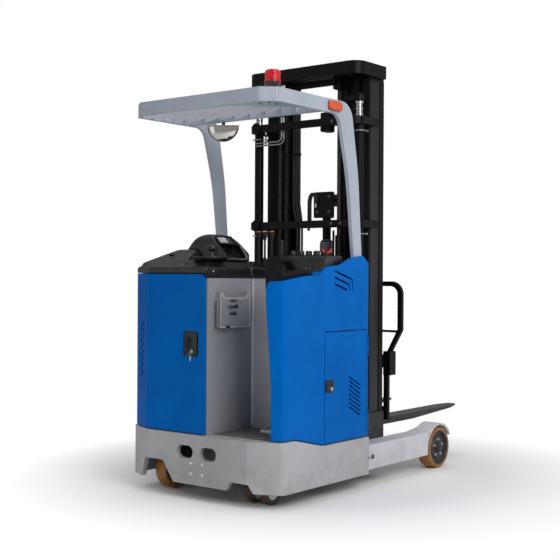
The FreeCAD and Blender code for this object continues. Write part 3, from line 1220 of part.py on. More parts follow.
def make_document_pocket():
    """Sheet pocket on the left wall with a scooped top edge, raised ears and three oval holes."""
    face_x = RECESS_LEFT + POCKET_DEPTH
    outline = [
        (POCKET_REAR, POCKET_BOTTOM, POCKET_CORNER_ROUND), (POCKET_FRONT, POCKET_BOTTOM, POCKET_CORNER_ROUND),
        (POCKET_FRONT, POCKET_TOP, POCKET_CORNER_ROUND),
        (POCKET_FRONT - POCKET_EAR / 2, POCKET_TOP, POCKET_EAR_ROUND),
        (POCKET_FRONT - POCKET_EAR, POCKET_TOP - POCKET_SCOOP, POCKET_EAR_ROUND),
        (POCKET_REAR + POCKET_EAR, POCKET_TOP - POCKET_SCOOP, POCKET_EAR_ROUND),
        (POCKET_REAR + POCKET_EAR / 2, POCKET_TOP, POCKET_EAR_ROUND),
        (POCKET_REAR, POCKET_TOP, POCKET_CORNER_ROUND),
    ]
    shell = prism("YZ", outline, RECESS_LEFT, face_x)
    room = box(RECESS_LEFT - 1, face_x - POCKET_WALL, POCKET_REAR + POCKET_WALL, POCKET_FRONT - POCKET_WALL,
               POCKET_BOTTOM + POCKET_WALL, POCKET_TOP + 1)
    shell = shell.cut(room)
    middle = POCKET_FRONT - POCKET_HOLE_FRONT_GAP
    for index, width in enumerate(POCKET_HOLE_WIDTHS):
        height = POCKET_TOP - POCKET_HOLE_TOP_GAP - index * POCKET_HOLE_PITCH
        half = (width - POCKET_HOLE_HEIGHT) / 2
        points = slot_between(middle - half, height, middle + half, height, POCKET_HOLE_HEIGHT)
        shell = shell.cut(prism("YZ", points, face_x - POCKET_WALL - 1, face_x + 1))
    return shell


def make_pedal():
    """Foot pedal at the front of the compartment floor."""
    front = RECESS_DEPTH - PEDAL_FRONT_GAP
    right = RECESS_FOOT_RIGHT - PEDAL_RIGHT_GAP
    low = FLOOR_HEIGHT + MAT_THICKNESS + 1
    return prism("YZ", [(front - PEDAL_LENGTH, low), (front, low), (front, low + PEDAL_HEIGHT, PEDAL_ROUND),
                        (front - PEDAL_FLAT, low + PEDAL_HEIGHT, PEDAL_ROUND),
                        (front - PEDAL_LENGTH, low + PEDAL_HEIGHT / 4, PEDAL_TOE_ROUND)],
                 right - PEDAL_WIDTH, right)


# ---------------------------------------------------------------- top covers and controls
def crossed(xz_points, yz_points, x_span, y_span):
    """Hood with one outline seen from behind and another seen from the side."""
    return prism("XZ", xz_points, *y_span).common(prism("YZ", yz_points, *x_span))


def make_crown():
    """Raised middle of the black cover, under the steering console."""
    foot = CAP_TOP - CROWN_LAP
    across = [(CROWN_LEFT, foot), (CROWN_LEFT + CROWN_LEFT_SLOPE, CROWN_TOP, CROWN_LEFT_ROUND),
              (CROWN_RIGHT - CROWN_RIGHT_SLOPE, CROWN_TOP, CROWN_RIGHT_ROUND), (CROWN_RIGHT, foot)]
    along = [(CROWN_REAR, foot), (CROWN_REAR + CROWN_REAR_SLOPE, CROWN_TOP, CROWN_END_ROUND),
             (CROWN_FRONT - CROWN_FRONT_SLOPE, CROWN_TOP, CROWN_END_ROUND), (CROWN_FRONT, foot)]
    return crossed(across, along, (-BODY_HALF_WIDTH, BODY_HALF_WIDTH), (0, CHASSIS_LENGTH))


def make_hump():
    """Slanted hump of the black cover that rises to the steering console's left flank."""
    foot = CAP_TOP - CROWN_LAP
    across = [(HUMP_LEFT, foot), (HUMP_LEFT + HUMP_LEFT_SLOPE, HUMP_TOP, HUMP_ROUND),
              (HUMP_RIGHT - HUMP_RIGHT_SLOPE, HUMP_TOP, HUMP_RIGHT_ROUND), (HUMP_RIGHT, foot)]
    along = [(HUMP_REAR, foot), (HUMP_REAR + HUMP_REAR_SLOPE, HUMP_TOP, HUMP_ROUND),
             (HUMP_FRONT - HUMP_FRONT_SLOPE, HUMP_TOP, HUMP_ROUND), (HUMP_FRONT, foot)]
    hump = crossed(across, along, (-BODY_HALF_WIDTH, BODY_HALF_WIDTH), (0, CHASSIS_LENGTH))
    return hump.common(prism("XY", body_outline(PANEL_INSET + HUMP_EDGE, CHASSIS_LENGTH), 0, GUARD_TOP))


def make_top_cover():
    """Black moulded cover over the left housing and the front bay, with a band around the compartment."""
    slab = prism("XY", body_outline(PANEL_INSET - 2, CHASSIS_LENGTH - 2), COVER_TOP + 2, CAP_TOP)
    top_edges = [edge for edge in slab.Edges if edge.BoundBox.ZMin > CAP_TOP - EDGE_FINDING]
    slab = slab.makeFillet(CAP_EDGE_RADIUS, top_edges)
    inner_x = RECESS_LEFT + PANEL_INSET
    inner_y = RECESS_DEPTH - PANEL_INSET
    slab = slab.cut(box(inner_x, BODY_HALF_WIDTH, -1, inner_y, 0, CAP_TOP + 1))
    slab = slab.cut(box(RECESS_RIGHT - 3, BODY_HALF_WIDTH, -1, DOOR_SEAM_Y - PANEL_THICKNESS + 3, 0, CAP_TOP + 1))
    slab = slab.cut(box(PANEL_INNER_X - 3, BODY_HALF_WIDTH, -1, CHASSIS_LENGTH, 0, CAP_TOP + 1))
    door_front = PANEL_REAR + PANEL_THICKNESS + DOOR_GAP
    side_band = box(inner_x - CAP_BAND_WIDTH, inner_x, door_front, inner_y,
                    CAP_BAND_BOTTOM, CAP_TOP - CAP_EDGE_RADIUS)
    rear_band = box(RECESS_LEFT, inner_x, PANEL_REAR, door_front + 1,
                    CAP_BAND_BOTTOM, CAP_TOP - CAP_EDGE_RADIUS)
    front_band = box(inner_x - CAP_BAND_WIDTH, RECESS_RIGHT - 3, inner_y, inner_y + CAP_BAND_WIDTH,
                     CAP_BAND_BOTTOM, CAP_TOP - CAP_EDGE_RADIUS)
    liner = join([make_recess_side(), make_recess_front()])
    bands = join([side_band, rear_band, front_band]).cut(liner)
    cover = join([slab, bands, make_crown(), make_hump()])
    for side in (-1, 1):
        x_low = min(side * GUARD_HALF_WIDTH, side * (GUARD_HALF_WIDTH - GUARD_BAR)) - 3
        cover = cover.cut(box(x_low, x_low + GUARD_BAR + 6, PILLAR_REAR_FOOT - 4, PILLAR_FRONT_FOOT + 4,
                              0, CAP_TOP + 1))
    return cover


def dash_face(share, outwards):
    """Point (x, z) on the dash's sloping face, from its foot at 0 to its top at 1, moved outwards."""
    foot = Vector(DASH_FACE_X, CROWN_TOP, 0)
    top = Vector(DASH_FACE_X - DASH_FACE_LEAN, DASH_TOP, 0)
    slope = top - foot
    normal = Vector(slope.y, -slope.x, 0)
    normal.normalize()
    point = foot + slope * share + normal * outwards
    return point.x, point.y


def make_dash():
    """Steering console hood with its tray, cut clear of the steering disc."""
    face_foot = dash_face(0, 0)
    face_top = dash_face(1, 0)
    across = [(DASH_BACK_X, CROWN_TOP), face_foot, (face_top[0], face_top[1], DASH_FACE_ROUND),
              (face_top[0] - DASH_CROWN_WIDTH, face_top[1], DASH_TOP_ROUND)]
    along = [(DASH_REAR, CROWN_TOP), (DASH_REAR + DASH_REAR_SLOPE, DASH_TOP, DASH_REAR_ROUND),
             (DASH_FRONT - DASH_FRONT_SLOPE, DASH_TOP, DASH_TOP_ROUND), (DASH_FRONT, CROWN_TOP)]
    hood = crossed(across, along, (-BODY_HALF_WIDTH, BODY_HALF_WIDTH), (0, CHASSIS_LENGTH))
    tray_low = dash_face(DASH_TRAY_LOW, DASH_TRAY_LIP)
    tray_high = dash_face(DASH_TRAY_HIGH, DASH_TRAY_LIP)
    tray_outline = [tray_low, tray_high,
                    (tray_high[0] - DASH_TRAY_DEPTH, tray_high[1] - DASH_TRAY_CEILING_DROP, DASH_TRAY_ROUND),
                    (tray_low[0] - DASH_TRAY_DEPTH, tray_low[1] + DASH_TRAY_FLOOR_RISE, DASH_TRAY_ROUND)]
    tray = prism("XZ", tray_outline, DASH_REAR + DASH_TRAY_REAR_GAP, DASH_FRONT - DASH_TRAY_FRONT_GAP)
    room = bar_z(WHEEL_DISC_RADIUS + DASH_CLEARANCE, WHEEL_DISC_X, WHEEL_DISC_Y, CROWN_TOP - 1,
                 SPINNER_TOP + DASH_CLEARANCE)
    plan = prism("XY", [(DASH_BACK_X, DASH_REAR), (DASH_FACE_X, DASH_REAR),
                        (DASH_FACE_X, DASH_FRONT - DASH_CORNER_Y, DASH_CORNER_SIDE_ROUND),
                        (DASH_FACE_X - DASH_CORNER_X, DASH_FRONT, DASH_CORNER_FRONT_ROUND),
                        (DASH_BACK_X, DASH_FRONT)], CROWN_TOP, DASH_TOP)
    return hood.common(plan).cut(tray).cut(room).cut(make_hump())


def make_display():
    """Instrument panel on the upper part of the dash's face."""
    low = dash_face(DISPLAY_LOW, 0)
    high = dash_face(DISPLAY_HIGH, 0)
    high_out = dash_face(DISPLAY_HIGH, DISPLAY_THICKNESS)
    low_out = dash_face(DISPLAY_LOW, DISPLAY_THICKNESS)
    return prism("XZ", [low, low_out, high_out, high], DASH_REAR + DISPLAY_REAR_GAP, DASH_FRONT - DISPLAY_FRONT_GAP)


def make_steering_disc():
    """Flat steering disc with its column and spinner knob."""
    half = WHEEL_DISC_THICKNESS / 2
    disc = bar_z(WHEEL_DISC_RADIUS, WHEEL_DISC_X, WHEEL_DISC_Y, WHEEL_DISC_Z - half, WHEEL_DISC_Z + half)
    disc = disc.makeFillet(WHEEL_DISC_ROUND, disc.Edges[0:1] + disc.Edges[2:3])
    column = bar_z(WHEEL_COLUMN_RADIUS, WHEEL_DISC_X, WHEEL_DISC_Y, CROWN_TOP + 1, WHEEL_DISC_Z)
    angle = math.radians(SPINNER_ANGLE)
    knob_x = WHEEL_DISC_X + SPINNER_OFFSET * math.cos(angle)
    knob_y = WHEEL_DISC_Y + SPINNER_OFFSET * math.sin(angle)
    stalk = bar_z(SPINNER_RADIUS * SPINNER_STALK_SHARE, knob_x, knob_y, WHEEL_DISC_Z, SPINNER_TOP - SPINNER_RADIUS)
    knob = bar_z(SPINNER_RADIUS, knob_x, knob_y, SPINNER_TOP - SPINNER_KNOB_SHARE * SPINNER_RADIUS, SPINNER_TOP)
    knob = knob.makeFillet(SPINNER_ROUND, knob.Edges[0:1] + knob.Edges[2:3])
    return join([disc, column, stalk, knob])


def make_levers():
    """Hydraulic levers and the auxiliary grip, with a shared boot plate."""
    plate = box(LEVER_PLACES[0] - BOOT_PLATE_LEFT, SWITCH_PANEL_LEFT - 1, LEVER_Y - BOOT_PLATE_EDGE,
                GRIP_Y + BOOT_PLATE_EDGE, CAP_TOP, CAP_TOP + BOOT_PLATE_THICKNESS)
    pieces = [plate]
    foot = CAP_TOP + LEVER_FOOT_LAP
    for x in LEVER_PLACES:
        pieces.append(bar_z(LEVER_RADIUS, x, LEVER_Y, foot, CAP_TOP + LEVER_HEIGHT - LEVER_KNOB_LAP))
    pieces.append(bar_z(GRIP_RADIUS, GRIP_X, GRIP_Y, foot, CAP_TOP + GRIP_STEM + GRIP_HEIGHT))
    return join(pieces).cut(make_crown())


def make_lever_knobs():
    """Knobs on the hydraulic levers, one solid each."""
    knobs = []
    top = CAP_TOP + LEVER_HEIGHT
    foot_half = LEVER_KNOB_RADIUS * LEVER_KNOB_FOOT_SHARE
    for x in LEVER_PLACES:
        knob = prism("XZ", [(x - foot_half, top - LEVER_KNOB_HEIGHT, LEVER_KNOB_FOOT_ROUND),
                            (x + foot_half, top - LEVER_KNOB_HEIGHT, LEVER_KNOB_FOOT_ROUND),
                            (x + LEVER_KNOB_RADIUS, top, LEVER_KNOB_TOP_ROUND),
                            (x - LEVER_KNOB_RADIUS, top, LEVER_KNOB_TOP_ROUND)],
                     LEVER_Y - LEVER_KNOB_RADIUS, LEVER_Y + LEVER_KNOB_RADIUS)
        stem = bar_z(LEVER_RADIUS, x, LEVER_Y, CAP_TOP, top - LEVER_KNOB_LAP)
        knobs.append(knob.cut(stem))
    return Part.makeCompound(knobs)


def make_switch_panel():
    """Raised switch panel ahead of the compartment."""
    return prism("YZ", [(SWITCH_PANEL_REAR, CAP_TOP), (SWITCH_PANEL_REAR + SWITCH_PANEL_LEAN, SWITCH_PANEL_LIP, SWITCH_PANEL_LIP_ROUND),
                        (SWITCH_KNOB_Y - KNOB_RADIUS - SWITCH_PANEL_LEAN, SWITCH_PANEL_TOP, SWITCH_PANEL_BEND_ROUND),
                        (SWITCH_PANEL_FRONT - SWITCH_PANEL_FRONT_SLOPE, SWITCH_PANEL_TOP, SWITCH_PANEL_FRONT_ROUND),
                        (SWITCH_PANEL_FRONT, CAP_TOP)],
                 SWITCH_PANEL_LEFT, SWITCH_PANEL_RIGHT)


def make_switch_knobs():
    """Row of round knobs, one solid each."""
    knobs = []
    for index in range(KNOB_COUNT):
        x = SWITCH_PANEL_LEFT + KNOB_PITCH * (index + KNOB_FIRST_SHARE)
        knobs.append(Part.makeCone(KNOB_RADIUS, KNOB_RADIUS * KNOB_TAPER, KNOB_HEIGHT,
                                   Vector(x, SWITCH_KNOB_Y, SWITCH_PANEL_TOP), Vector(0, 0, 1)))
    return Part.makeCompound(knobs)


def make_stop_button():
    """Mushroom stop switch."""
    stem = bar_z(STOP_BUTTON_RADIUS / 2, STOP_BUTTON_X, SWITCH_KNOB_Y, SWITCH_PANEL_TOP,
                 SWITCH_PANEL_TOP + STOP_BUTTON_STEM_HEIGHT)
    head = bar_z(STOP_BUTTON_RADIUS, STOP_BUTTON_X, SWITCH_KNOB_Y, SWITCH_PANEL_TOP + STOP_BUTTON_HEAD_LOW,
                 SWITCH_PANEL_TOP + STOP_BUTTON_HEAD_HIGH)
    return join([stem, head.makeFillet(STOP_BUTTON_ROUND, head.Edges[0:1])])


def make_backrest_pad():
    """Moulded pad on the right wall's rear top, with a hand hole."""
    lower = [(point[0], point[1] + PAD_GAP) for point in crest(0)[:3]]
    outline = [(0, CREST_REAR_Z + PAD_GAP)] + lower + [
        (PAD_TIP_Y, PAD_TIP_Z + PAD_GAP), (PAD_ARM_FRONT_Y, PAD_ARM_FRONT_Z, PAD_ARM_FRONT_ROUND),
        (PAD_ARM_REAR_Y, PAD_ARM_REAR_Z, PAD_ARM_ROUND), (PAD_SLOPE_Y, PAD_SLOPE_Z, PAD_SLOPE_ROUND),
        (PAD_TOP_FRONT_Y, PAD_TOP, PAD_TOP_FRONT_ROUND), (PAD_TOP_REAR_Y, PAD_TOP, PAD_TOP_REAR_ROUND),
        (PAD_REAR_Y, PAD_REAR_Z, PAD_REAR_ROUND),
    ]
    pad = prism("YZ", outline, RECESS_RIGHT, PANEL_OUTER_X - PAD_INSET)
    lap_outline = [(0, PAD_SEAT_LOW + PAD_GAP), (PAD_SEAT_DEPTH, PAD_SEAT_LOW + PAD_GAP),
                   (PAD_SEAT_DEPTH, PAD_LAP_TOP), (PAD_REAR_Y, PAD_LAP_TOP)]
    lap = pad_seat().common(prism("YZ", lap_outline, RECESS_RIGHT, PANEL_OUTER_X - PAD_INSET))
    plan = prism("XY", body_outline(PANEL_INSET + PAD_GAP, CHASSIS_LENGTH), 0, GUARD_TOP)
    rear_top, front_top, front_foot, foot, rear_foot = PAD_HOLE_ROUNDS
    hole = prism("YZ", [(PAD_HOLE_REAR, PAD_HOLE_HIGH - PAD_HOLE_REAR_DROP, rear_top),
                        (PAD_HOLE_FRONT - PAD_HOLE_SLANT, PAD_HOLE_HIGH, front_top),
                        (PAD_HOLE_FRONT, PAD_HOLE_LOW + PAD_HOLE_FRONT_RISE, front_foot),
                        (PAD_HOLE_FRONT - PAD_HOLE_FRONT_REACH, PAD_HOLE_LOW, foot),
                        (PAD_HOLE_REAR + PAD_HOLE_REAR_REACH, PAD_HOLE_LOW + PAD_HOLE_REAR_RISE, rear_foot)],
                 RECESS_RIGHT - 1, PANEL_OUTER_X)
    return join([pad, lap]).common(plan).cut(make_cover_right()).cut(hole)


# ---------------------------------------------------------------- battery and overhead guard
def make_battery():
    """Drive battery, one block on the battery bay's deck."""
    half_width = GUARD_HALF_WIDTH - GUARD_BAR - BATTERY_GAP
    return box(-half_width, half_width, DOOR_SEAM_Y + BATTERY_GAP, CHASSIS_LENGTH - PANEL_THICKNESS - BATTERY_GAP,
               SIDE_SILL_HEIGHT, BATTERY_TOP)


def guard_side_outline():
    """One side of the guard seen from the side: roof edge, rounded corner and the leaning pillar."""
    front = PILLAR_FRONT_FOOT
    rear = PILLAR_REAR_FOOT
    low = GUARD_TOP - GUARD_EDGE_HEIGHT
    return [
        (GUARD_CORNER_Y, GUARD_TOP),
        (front - PILLAR_FRONT_TOP_LEAN, GUARD_TOP, PILLAR_FRONT_TOP_ROUND),
        (front - PILLAR_FRONT_HIGH_LEAN, GUARD_TOP - PILLAR_FRONT_HIGH_DROP, PILLAR_FRONT_HIGH_EASE),
        (front - PILLAR_FRONT_MIDDLE_LEAN, PILLAR_FRONT_MIDDLE_Z, PILLAR_MIDDLE_EASE),
        (front - PILLAR_FRONT_LOW_LEAN, PILLAR_LOW_Z, PILLAR_LOW_EASE),
        (front, PILLAR_ELBOW_Z, PILLAR_ELBOW_EASE),
        (front, PILLAR_FOOT_HEIGHT),
        (rear, PILLAR_FOOT_HEIGHT),
        (rear, PILLAR_ELBOW_Z, PILLAR_ELBOW_EASE),
        (rear - PILLAR_REAR_LOW_LEAN, PILLAR_LOW_Z, PILLAR_LOW_EASE),
        (rear - PILLAR_REAR_MIDDLE_LEAN, PILLAR_REAR_MIDDLE_Z, PILLAR_MIDDLE_EASE),
        (rear - PILLAR_REAR_HIGH_LEAN, GUARD_TOP - PILLAR_REAR_HIGH_DROP, PILLAR_REAR_HIGH_EASE),
        (rear - PILLAR_REAR_TOP_LEAN, low, PILLAR_REAR_TOP_ROUND),
        (GUARD_CORNER_Y, low),
    ]


def guard_plan(inset, front):
    """Plan of the guard's edge with its cut rear corners."""
    half = GUARD_HALF_WIDTH - inset
    turn = math.atan2(GUARD_CORNER_Y, GUARD_CORNER_X)
    rear_x = GUARD_HALF_WIDTH - GUARD_CORNER_X - inset * math.tan(turn / 2)
    side_y = GUARD_CORNER_Y + inset * math.tan((math.pi / 2 - turn) / 2)
    radius = max(GUARD_CORNER_RADIUS - inset, 1.0)
    return [(-half, front), (-half, side_y, radius), (-rear_x, inset, radius),
            (rear_x, inset, radius), (half, side_y, radius), (half, front)]


def make_guard_frame():
    """Overhead guard: edge frame, two pillars, front crossbar and the corner gusset."""
    low = GUARD_TOP - GUARD_EDGE_HEIGHT
    overlap = GUARD_CORNER_Y + GUARD_LOOP_LAP
    loop = prism("XY", guard_plan(0, overlap), low, GUARD_TOP)
    loop = loop.cut(prism("XY", guard_plan(GUARD_BAR, overlap + 1), low - 1, GUARD_TOP + 1))
    inner = GUARD_HALF_WIDTH - GUARD_BAR
    right = prism("YZ", guard_side_outline(), inner, GUARD_HALF_WIDTH)
    crossbar = box(-inner - 1, inner + 1, GUARD_CROSSBAR_Y, GUARD_CROSSBAR_Y + GUARD_BAR, low,
                   GUARD_TOP - CROSSBAR_SINK)
    gusset = prism("XY", [(inner + 1, GUARD_BAR + GUSSET_LEG), (inner + 1, GUARD_CORNER_Y),
                          (inner - GUSSET_CORNER_CUT, GUARD_BAR - 1), (inner - GUSSET_LEG, GUARD_BAR - 1)], low, low + GUSSET_THICKNESS)
    frame = join([loop, right, mirrored(right), crossbar, gusset])
    return frame


def slat(start_x, start_y, end_x, end_y):
    """Upright blade between two points in plan."""
    direction = Vector(end_x - start_x, end_y - start_y, 0)
    side = Vector(-direction.y, direction.x, 0)
    side.normalize()
    side = side * (SLAT_THICKNESS / 2)
    low = GUARD_TOP - GUARD_EDGE_HEIGHT + GUSSET_THICKNESS
    corners = [Vector(start_x, start_y, low) - side, Vector(end_x, end_y, low) - side,
               Vector(end_x, end_y, low) + side, Vector(start_x, start_y, low) + side]
    return Part.Face(Part.makePolygon(corners + corners[:1])).extrude(Vector(0, 0, SLAT_HEIGHT))


def make_guard_slats():
    """Fan of blades from the gusset to the front crossbar and the left edge."""
    inner = GUARD_HALF_WIDTH - GUARD_BAR
    hub = Vector(GUARD_HALF_WIDTH, 0, 0)
    ends = []
    for index in range(SLATS_TO_FRONT):
        share = (index + SLAT_FIRST_SHARE) / SLATS_TO_FRONT
        ends.append(Vector(inner - share * 2 * inner * SLAT_SPREAD, GUARD_CROSSBAR_Y + 1, 0))
    for index in range(SLATS_TO_SIDE):
        share = (index + SLAT_FIRST_SHARE) / SLATS_TO_SIDE
        ends.append(Vector(-inner - 1, GUARD_CROSSBAR_Y - share * GUARD_CROSSBAR_Y, 0))
    blades = []
    rear_start = Vector(inner - GUSSET_LEG, GUARD_BAR, 0)
    front_start = Vector(inner, GUARD_BAR + GUSSET_LEG, 0)
    for index, end in enumerate(ends):
        share = (index + 0.5) / len(ends)
        start = front_start + (rear_start - front_start) * share
        aim = hub - end
        aim.normalize()
        start = start + aim * SLAT_FOOT_GAP
        blades.append(slat(start.x, start.y, end.x, end.y))
    frame = make_guard_frame()
    return Part.makeCompound([blade.cut(frame) for blade in blades])


def make_beacon():
    """Beacon base and its dome, standing on the gusset."""
    low = GUARD_TOP - GUARD_EDGE_HEIGHT + GUSSET_THICKNESS
    top = low + SLAT_HEIGHT + BEACON_BASE_HEIGHT
    base = bar_z(BEACON_RADIUS, BEACON_X, BEACON_Y, low, top)
    dome = bar_z(BEACON_RADIUS - 2, BEACON_X, BEACON_Y, top, BEACON_TOP)
    dome = dome.makeFillet(BEACON_DOME_ROUND, [edge for edge in dome.Edges if edge.BoundBox.ZMin > BEACON_TOP - 1])
    return base, dome


def make_marker_lamps():
    """Side marker lamps on the guard's outer faces."""
    middle = GUARD_TOP - GUARD_EDGE_HEIGHT / 2
    right = prism("YZ", rectangle(LAMP_Y - LAMP_LENGTH / 2, LAMP_Y + LAMP_LENGTH / 2, middle - LAMP_HEIGHT / 2,
                                  middle + LAMP_HEIGHT / 2, LAMP_ROUND),
                  GUARD_HALF_WIDTH, GUARD_HALF_WIDTH + LAMP_THICKNESS)
    return Part.makeCompound([right, mirrored(right)])


def turned_mirror(shape):
    """Mirror piece turned towards the driver and moved to its place."""
    shape.rotate(Vector(0, 0, 0), Vector(0, 0, 1), MIRROR_TURN)
    shape.translate(Vector(MIRROR_X, GUARD_CROSSBAR_Y, MIRROR_TOP))
    return shape


def make_mirror_shell():
    """Half-round mirror shell hung from the front crossbar."""
    half_disc = bar_y(MIRROR_RADIUS, 0, 0, MIRROR_THICKNESS, 0)
    half_disc = half_disc.cut(box(-MIRROR_RADIUS - 1, MIRROR_RADIUS + 1, -1, MIRROR_THICKNESS + 1, 0, MIRROR_RADIUS + 1))
    shell = turned_mirror(half_disc)
    rod = bar_z(MIRROR_ROD, MIRROR_X, GUARD_CROSSBAR_Y + MIRROR_THICKNESS / 2, MIRROR_TOP - 20,
                GUARD_TOP - GUARD_EDGE_HEIGHT)
    return join([shell, rod])


def make_mirror_glass():
    """Convex mirror face in front of the shell."""
    ball_radius = (MIRROR_RADIUS ** 2 + MIRROR_BULGE ** 2) / (2 * MIRROR_BULGE)
    ball = Part.makeSphere(ball_radius, Vector(0, ball_radius - MIRROR_BULGE, 0))
    face = ball.common(box(-MIRROR_RADIUS, MIRROR_RADIUS, -MIRROR_BULGE - 1, 0, -MIRROR_RADIUS, 0))
    return turned_mirror(face)


# ---------------------------------------------------------------- mast
ROLLER_RADIUS = RAIL_DEPTH / 2 - RAIL_FLANGE - ROLLER_CLEARANCE
MIDDLE_RAIL_X = OUTER_RAIL_X - RAIL_PITCH
INNER_RAIL_X = MIDDLE_RAIL_X - RAIL_PITCH
RAIL_GAP = RAIL_PITCH - RAIL_WIDTH


def make_rail(outer_x, rear, z0, z1):
    """Right-hand channel rail, open towards the middle."""
    rail = box(outer_x - RAIL_WIDTH, outer_x, rear, rear + RAIL_DEPTH, z0, z1)
    return rail.cut(box(outer_x - RAIL_WIDTH - 1, outer_x - RAIL_WEB, rear + RAIL_FLANGE,
                        rear + RAIL_DEPTH - RAIL_FLANGE, z0 - 1, z1 + 1))


def make_rollers(web_x, host_rear, heights):
    """Rollers that run in the next rail outwards, on stubs from a web's outer face."""
    middle = host_rear + RAIL_DEPTH / 2
    pieces = []
    for height in heights:
        start = web_x + RAIL_GAP + 2
        end = web_x + RAIL_GAP + RAIL_WIDTH - RAIL_WEB - 4
        pieces.append(bar_x(ROLLER_RADIUS, start, end, middle, height))
        pieces.append(bar_x(ROLLER_STUB_RADIUS, web_x - 2, start + 1, middle, height))
    return pieces


def strap(z0, z1, front):
    """Bar across the back of the mast with wings around the lift cylinders to the outer rails."""
    outer = prism("XY", [(-STRAP_OUTER_X, front), (-STRAP_OUTER_X, YOKE_REAR, STRAP_CORNER_RADIUS),
                         (STRAP_OUTER_X, YOKE_REAR, STRAP_CORNER_RADIUS), (STRAP_OUTER_X, front)], z0, z1)
    room_x = STRAP_OUTER_X - STRAP_THICKNESS
    room = prism("XY", [(-room_x, OUTER_REAR), (-room_x, YOKE_REAR + YOKE_DEPTH, STRAP_CORNER_RADIUS - STRAP_THICKNESS),
                        (room_x, YOKE_REAR + YOKE_DEPTH, STRAP_CORNER_RADIUS - STRAP_THICKNESS), (room_x, OUTER_REAR)],
                 z0 - 1, z1 + 1)
    rails = box(-OUTER_RAIL_X, OUTER_RAIL_X, OUTER_REAR - 1, front + 1, z0 - 1, z1 + 1)
    return outer.cut(room).cut(rails)


def both_sides(shapes):
    """Right-hand pieces and their left-hand copies."""
    shapes = list(shapes)
    return shapes + [mirrored(shape) for shape in shapes]


def make_outer_mast():
    """Fixed mast stage: channels, top yoke, ties and the chains' rear anchors."""
    pieces = both_sides([make_rail(OUTER_RAIL_X, OUTER_REAR, MAST_BOTTOM, MAST_TOP)])
    pieces.append(strap(MAST_TOP - YOKE_HEIGHT, MAST_TOP, OUTER_FRONT - YOKE_FRONT_GAP))
    for height in TIE_PLACES:
        pieces.append(strap(height, height + TIE_HEIGHT, OUTER_FRONT - TIE_FRONT_GAP))
    anchor_z = TIE_PLACES[1]
    anchor = box(MAST_CHAIN_X - CHAIN_WIDTH, MAST_CHAIN_X + CHAIN_WIDTH, YOKE_REAR + YOKE_DEPTH - 1,
                 SHEAVE_Y - SHEAVE_RADIUS + CHAIN_THICKNESS, anchor_z, anchor_z + ANCHOR_THICKNESS)
    block_middle = TIE_PLACES[1] + TIE_HEIGHT / 2
    block = prism("XZ", rectangle(STOP_BLOCK_X - STOP_BLOCK_WIDTH / 2, STOP_BLOCK_X + STOP_BLOCK_WIDTH / 2,
                                  block_middle - STOP_BLOCK_HEIGHT / 2, block_middle + STOP_BLOCK_HEIGHT / 2,
                                  STOP_BLOCK_ROUND),
                  YOKE_REAR + STOP_BLOCK_SETBACK, YOKE_REAR + STOP_BLOCK_SETBACK + STOP_BLOCK_DEPTH)
    return join(pieces + both_sides([anchor]) + [block])


def make_reach_carriage():
    """Carriage under the mast: side plates with rollers for the leg channels and cross beams."""
    plate_x = OUTER_RAIL_X + SIDE_PLATE_THICKNESS
    plate_low = LEG_BOTTOM + REACH_PLATE_LEG_GAP
    plate = prism("YZ", [(REACH_BEAM_REAR, plate_low), (OUTER_FRONT, plate_low),
                         (OUTER_FRONT, REACH_PLATE_TOP), (OUTER_REAR, REACH_PLATE_TOP, REACH_PLATE_ROUND),
                         (REACH_BEAM_REAR, REACH_PLATE_TOP - REACH_PLATE_SLOPE_DROP, REACH_PLATE_REAR_ROUND)],
                  OUTER_RAIL_X, plate_x)
    shelf_half = LIFT_CYLINDER_RADIUS + LIFT_SHELF_EDGE
    shelf = box(LIFT_CYLINDER_X - shelf_half, plate_x, LIFT_CYLINDER_Y - shelf_half, LIFT_CYLINDER_Y + shelf_half,
                LIFT_CYLINDER_FOOT - LIFT_SHELF_THICKNESS, LIFT_CYLINDER_FOOT)
    tube_room = box(LIFT_CYLINDER_X - shelf_half, plate_x + 1, LIFT_CYLINDER_Y - shelf_half,
                    LIFT_CYLINDER_Y + shelf_half, LIFT_CYLINDER_FOOT, REACH_PLATE_TOP + 1)
    channel_middle = (LEG_BOTTOM + LEG_TOP) / 2
    roller_radius = (LEG_TOP - LEG_BOTTOM) / 2 - LEG_FLANGE - ROLLER_CLEARANCE
    pieces = [plate.cut(tube_room), shelf]
    roller_start = LEG_INNER_X + REACH_ROLLER_GAP
    for y in (REACH_ROLLER_REAR, REACH_ROLLER_FRONT):
        pieces.append(bar_x(roller_radius, roller_start, roller_start + REACH_ROLLER_WIDTH, y, channel_middle))
        pieces.append(bar_x(ROLLER_STUB_RADIUS, plate_x - 2, roller_start + 1, y, channel_middle))
    pieces = both_sides(pieces)
    pieces.append(box(-OUTER_RAIL_X - 1, OUTER_RAIL_X + 1, REACH_BEAM_REAR, REACH_BEAM_REAR + REACH_BEAM_DEPTH,
                      FOOT_BAR_BOTTOM + REACH_BEAM_RISE,
                      REACH_CYLINDER_Z + REACH_CYLINDER_RADIUS + REACH_BEAM_TOP_GAP))
    return join(pieces)


def make_lift_cylinders():
    """Two lift cylinder tubes behind the outer rails, one solid each."""
    tube = bar_z(LIFT_CYLINDER_RADIUS, LIFT_CYLINDER_X, LIFT_CYLINDER_Y, LIFT_CYLINDER_FOOT, LIFT_CYLINDER_TOP)
    bore = bar_z(LIFT_ROD_RADIUS + AXLE_CLEARANCE, LIFT_CYLINDER_X, LIFT_CYLINDER_Y,
                 LIFT_CYLINDER_FOOT + LIFT_BORE_FOOT,
                 LIFT_CYLINDER_TOP + 1)
    return Part.makeCompound(both_sides([tube.cut(bore)]))


